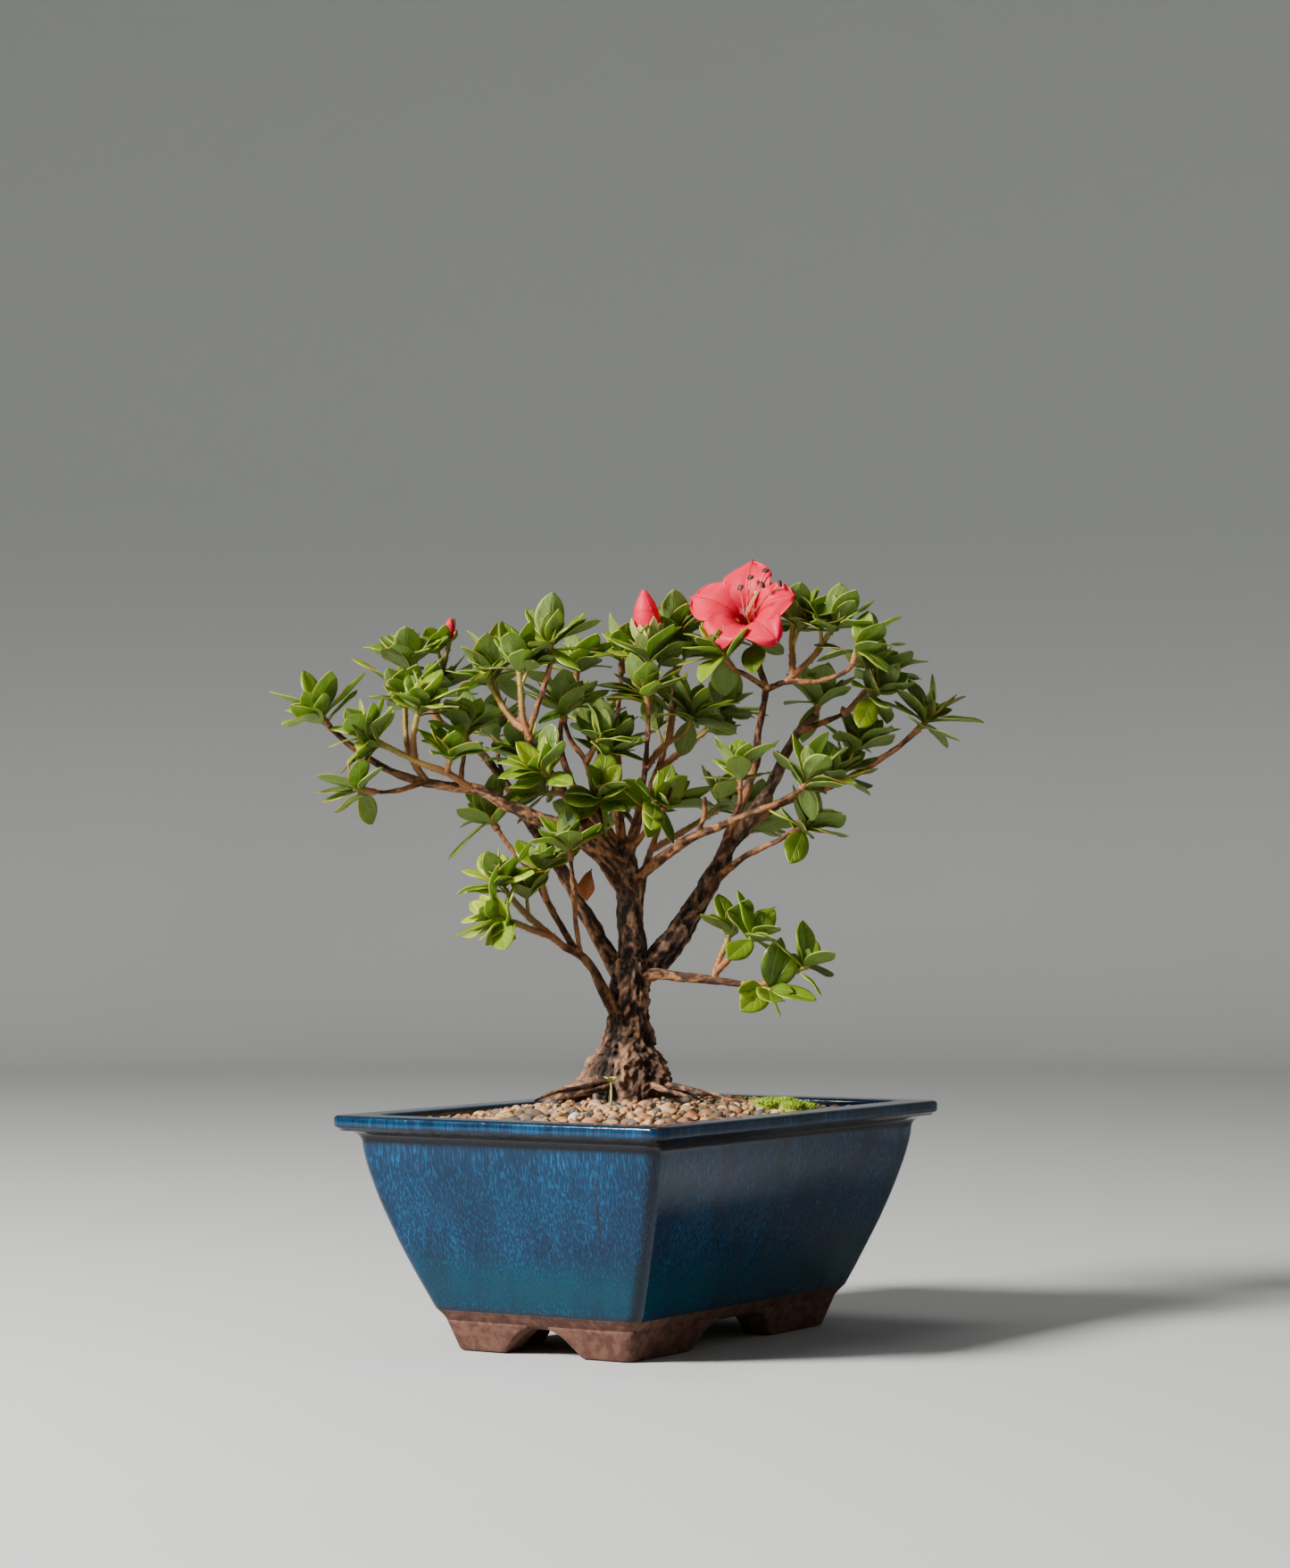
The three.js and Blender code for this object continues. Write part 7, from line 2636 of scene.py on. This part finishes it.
    def pistil(self) -> None:
        """The long pale style with a lobed tip."""
        maker = Maker("pistil")
        ends = self.thread(maker, (8.0, 1.5, 22.0), 0.42, 0.4, 0.8)
        along = unit(ends[1] - ends[0])
        u, v = across(along)
        for number in range(5):
            out = spoke(u, v, number * 2 * math.pi / 5)
            path = ends[1] + out * 0.5 + np.linspace(-0.5, 0.6, 8)[:, None] * along
            swell = 0.5 * np.sqrt(np.clip(1 - np.linspace(-1, 1, 8) ** 2, 0.05, 1))
            maker.add(tube_skin(path, swell, 10), tint=0.95)
        place(maker.build([self.palette.young]), "young_green", "flower_pistil")

    def calyx(self) -> None:
        """Stalk and five pointed sepals under the flower."""
        base, right, upper, out = self.axes()
        maker = Maker("calyx")
        start = self.frame.from_tree([43.2, 3.6, 282.4])
        path = smooth_path(np.array([start, base - out * 1.6, base - out * 0.1]), 20)
        maker.add(tube_skin(path, np.linspace(0.85, 1.55, 20), 14), tint=0.45)
        for number in range(5):
            away = spoke(right, upper, number * 2 * math.pi / 5 + 0.3)
            foot = base - out * 0.9 + away * 0.7
            blade = LeafBlade(width=2.8, thickness=0.35, fold=0.2, arch=0.4, curl=0.2)
            maker.add(blade.grow(foot, foot + away * 5.6 + out * 1.6, out), tint=0.6)
        place(maker.build([self.palette.young]), "young_green", "flower_calyx")

    def build(self) -> None:
        """Makes the flower's parts."""
        self.corolla()
        self.stamens()
        self.pistil()
        self.calyx()


@dataclass
class Bud:
    """A closed bud: petals rolled into a point, with scales round its foot."""

    frame: PotFrame
    palette: Palette
    name: str
    at: tuple[float, float, float]
    axis: tuple[float, float, float]
    length: float
    diameter: float
    scales: int

    def body(self) -> Skin:
        """The rolled petals, their edges as spiral ridges."""
        out = self.frame.direction(self.axis)
        u, v = across(out)
        base = self.frame.from_tree(self.at)
        rows, columns = 44, 60
        angles = np.linspace(0, FULL_TURN, columns, endpoint=False)
        ways = spokes(u, v, angles)
        rings = []
        for t in np.linspace(0, 1, rows):
            swell = (math.sin(math.pi * min(t * 0.86 + 0.1, 1.0) ** 0.85)) ** 0.85
            radius = self.diameter / 2 * max(swell, 0.05)
            phase = (5 * angles + 4.4 * t) % (2 * math.pi) / (2 * math.pi)
            edge = np.exp(-((phase / 0.11) ** 2)) - 0.5 * np.exp(-(((1 - phase) / 0.07) ** 2))
            ridge = 1 + (0.02 + 0.13 * t) * (0.9 * edge + 0.35 * phase) * min(1.0, 3 * (1 - t) + 0.25)
            rings.append(base + out * (t * self.length) + ways * (radius * ridge)[:, None])
        points = ring_points(rings)
        along = np.append(np.repeat(np.linspace(0.55, 0.95, rows), columns), [0.55, 0.95])
        marks = {"along": along, "across": np.full(len(points), 0.5)}
        return Skin(points, ring_faces(rows, columns), marks)

    def scale_ring(self, maker: Maker, stalk_from: tuple[float, float, float]) -> None:
        """Pointed scales that clasp the bud's foot, on its stalk."""
        out = self.frame.direction(self.axis)
        u, v = across(out)
        base = self.frame.from_tree(self.at)
        start = self.frame.from_tree(stalk_from)
        path = smooth_path(np.array([start, base - out * 0.6]), 10)
        maker.add(tube_skin(path, np.linspace(0.8, self.diameter * 0.16, 10), 12), tint=0.35)
        for number in range(self.scales):
            away = spoke(u, v, number * GOLDEN_TURN)
            tall = self.length * (0.5 if number % 2 else 0.38)
            foot = base - out * 0.5 + away * 0.5
            tip = base + out * tall + away * self.diameter * (0.62 if number % 2 else 0.56)
            blade = LeafBlade(width=self.diameter * 0.46, thickness=0.4, fold=-0.35, arch=-0.9, curl=0.0)
            maker.add(blade.grow(foot, tip, out - away), tint=0.3 + 0.6 * (number % 3) / 2)

    def build(self, stalk_from: tuple[float, float, float], scale_nodes: tuple[str, ...]) -> None:
        """Makes the bud and its scales.

        Args:
            stalk_from: Where its stalk leaves the shoot, in the tree's axes.
            scale_nodes: Nodes that the scales stand for.
        """
        bud = Maker(f"{self.name}_petals")
        bud.add(self.body(), tint=0.5)
        place(bud.build([self.palette.petal]), "petal", self.name)
        scales = Maker(f"{self.name}_scales")
        self.scale_ring(scales, stalk_from)
        place(scales.build([self.palette.scale]), "bud_scale", *(scale_nodes or (self.name,)))


# ---- Studio -------------------------------------------------------------


class Lamp(Enum):
    """The studio's soft lamps: place and size in metres, and power in watts."""

    KEY = ((-1.62, 0.8, 1.25), 0.55, 158.0)
    FRONT = ((-1.9, 0.75, 0.6), 1.2, 3.0)
    TOP = ((0.0, 0.3, 2.1), 1.0, 9.0)


@dataclass
class Studio:
    """A pale sweep, soft lamps and the camera."""

    middle: Vector
    reach: float = 2.4
    bend: float = 0.9
    wall: float = 3.0
    below: float = 0.0002
    eye: tuple[float, float, float] = (-1.2861, -0.8051, 0.1762)
    heading: tuple[float, float] = (0.8501, 0.5266)
    pitch: float = 1.744
    lens: float = 86.07

    def sweep(self) -> None:
        """The pale floor, rising all round into a grey wall."""
        profile = [(self.reach * s, 0.0) for s in (0.1, 0.25, 0.5, 0.75, 1.0)]
        for step in range(1, 17):
            angle = step / 16 * math.pi / 2
            profile.append((self.reach + self.bend * math.sin(angle), self.bend * (1 - math.cos(angle))))
        profile.append((self.reach + self.bend, self.wall))
        work = bmesh.new()
        columns = 96
        turns = [2 * math.pi * i / columns for i in range(columns)]
        rings = []
        for radius, z in profile:
            height = z - self.below
            spots = [(radius * math.cos(turn), radius * math.sin(turn), height) for turn in turns]
            rings.append([work.verts.new(spot) for spot in spots])
        hub = work.verts.new((0, 0, -self.below))
        for i in range(columns):
            work.faces.new((hub, rings[0][i], rings[0][(i + 1) % columns]))
            for low, high in zip(rings, rings[1:]):
                work.faces.new((low[i], high[i], high[(i + 1) % columns], low[(i + 1) % columns]))
        mesh = bpy.data.meshes.new("studio_sweep")
        work.to_mesh(mesh)
        work.free()
        mesh.polygons.foreach_set("use_smooth", [True] * len(mesh.polygons))
        mesh.materials.append(self.paint())
        floor = new_object("studio_sweep", mesh)
        floor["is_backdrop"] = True

    def paint(self) -> bpy.types.Material:
        """The sweep's material: pale on the floor and grey up the wall."""
        made, wire, shader = new_material("Pale sweep")
        place_at = wire.node("TexCoord").outputs["Object"]
        noise = wire.node("TexNoise", Vector=place_at, Scale=3.0, Detail=3.0)
        height = wire.node("SeparateXYZ", Vector=place_at).outputs["Z"]
        pale = wire.mix(noise.outputs[0], rgb(0.46, 0.455, 0.44), rgb(0.5, 0.495, 0.48))
        grey = rgb(0.27, 0.28, 0.262)
        wire.feed(shader.inputs["Base Color"], wire.mix(wire.ramp(height, 0.02, 0.7), pale, grey))
        shader.inputs["Roughness"].default_value = 0.9
        shader.inputs["Specular IOR Level"].default_value = 0.2
        return made

    def lamp(self, lamp: Lamp) -> None:
        """One soft lamp aimed at the tree's middle."""
        at, size, power = lamp.value
        data = bpy.data.lights.new(lamp.name.lower(), "AREA")
        data.shape = "DISK"
        data.size = size
        data.energy = power
        made = new_object(lamp.name.lower(), data)
        made.location = at
        made.rotation_euler = (self.middle - Vector(at)).to_track_quat("-Z", "Y").to_euler()

    def camera(self) -> None:
        """The camera at the tree's front, a little below its crown."""
        data = bpy.data.cameras.new("camera")
        data.sensor_width = 36.0
        data.lens = self.lens
        made = new_object("camera", data)
        made.location = self.eye
        forward = Vector((*self.heading, math.tan(math.radians(self.pitch)))).normalized()
        made.rotation_euler = forward.to_track_quat("-Z", "Y").to_euler()
        bpy.context.scene.camera = made

    def build(self) -> None:
        """Sets up the sweep, the lamps, the sky and the camera."""
        self.camera()
        self.sweep()
        for lamp in Lamp:
            self.lamp(lamp)
        world = bpy.data.worlds.new("studio")
        bpy.context.scene.world = world
        world.use_nodes = True
        sky = world.node_tree.nodes["Background"]
        sky.inputs["Color"].default_value = rgb(0.9, 0.94, 1.0)
        sky.inputs["Strength"].default_value = 0.18


def main() -> None:
    """Builds the tree, its pot and the studio."""
    logging.basicConfig(level=logging.INFO, format="%(message)s")
    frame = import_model()
    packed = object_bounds()
    pot_frame = PotFrame.read(frame["nodes"])
    palette = Palette()
    Studio((packed[0] + packed[1]) / 2).build()
    Pot(pot_frame, palette).build()
    Drainage(pot_frame, palette).build()
    PottingMix(pot_frame, palette).build()
    Wood(pot_frame, palette).build()
    Foliage(pot_frame, palette).build()
    Flower(pot_frame, palette).build()
    Bud(pot_frame, palette, "centre_bud", (1, -3, 278.5), (-0.09, -0.05, 1), 22.0, 11.0, 9).build(
        (1, -3, 276.6), ("centre_bud_scales",)
    )
    Bud(pot_frame, palette, "left_bud", (-82, 40, 283.5), (0.1, 0, 1), 9.0, 4.8, 5).build(
        (-82, 40, 282.0), ()
    )


if __name__ == "__main__":
    main()
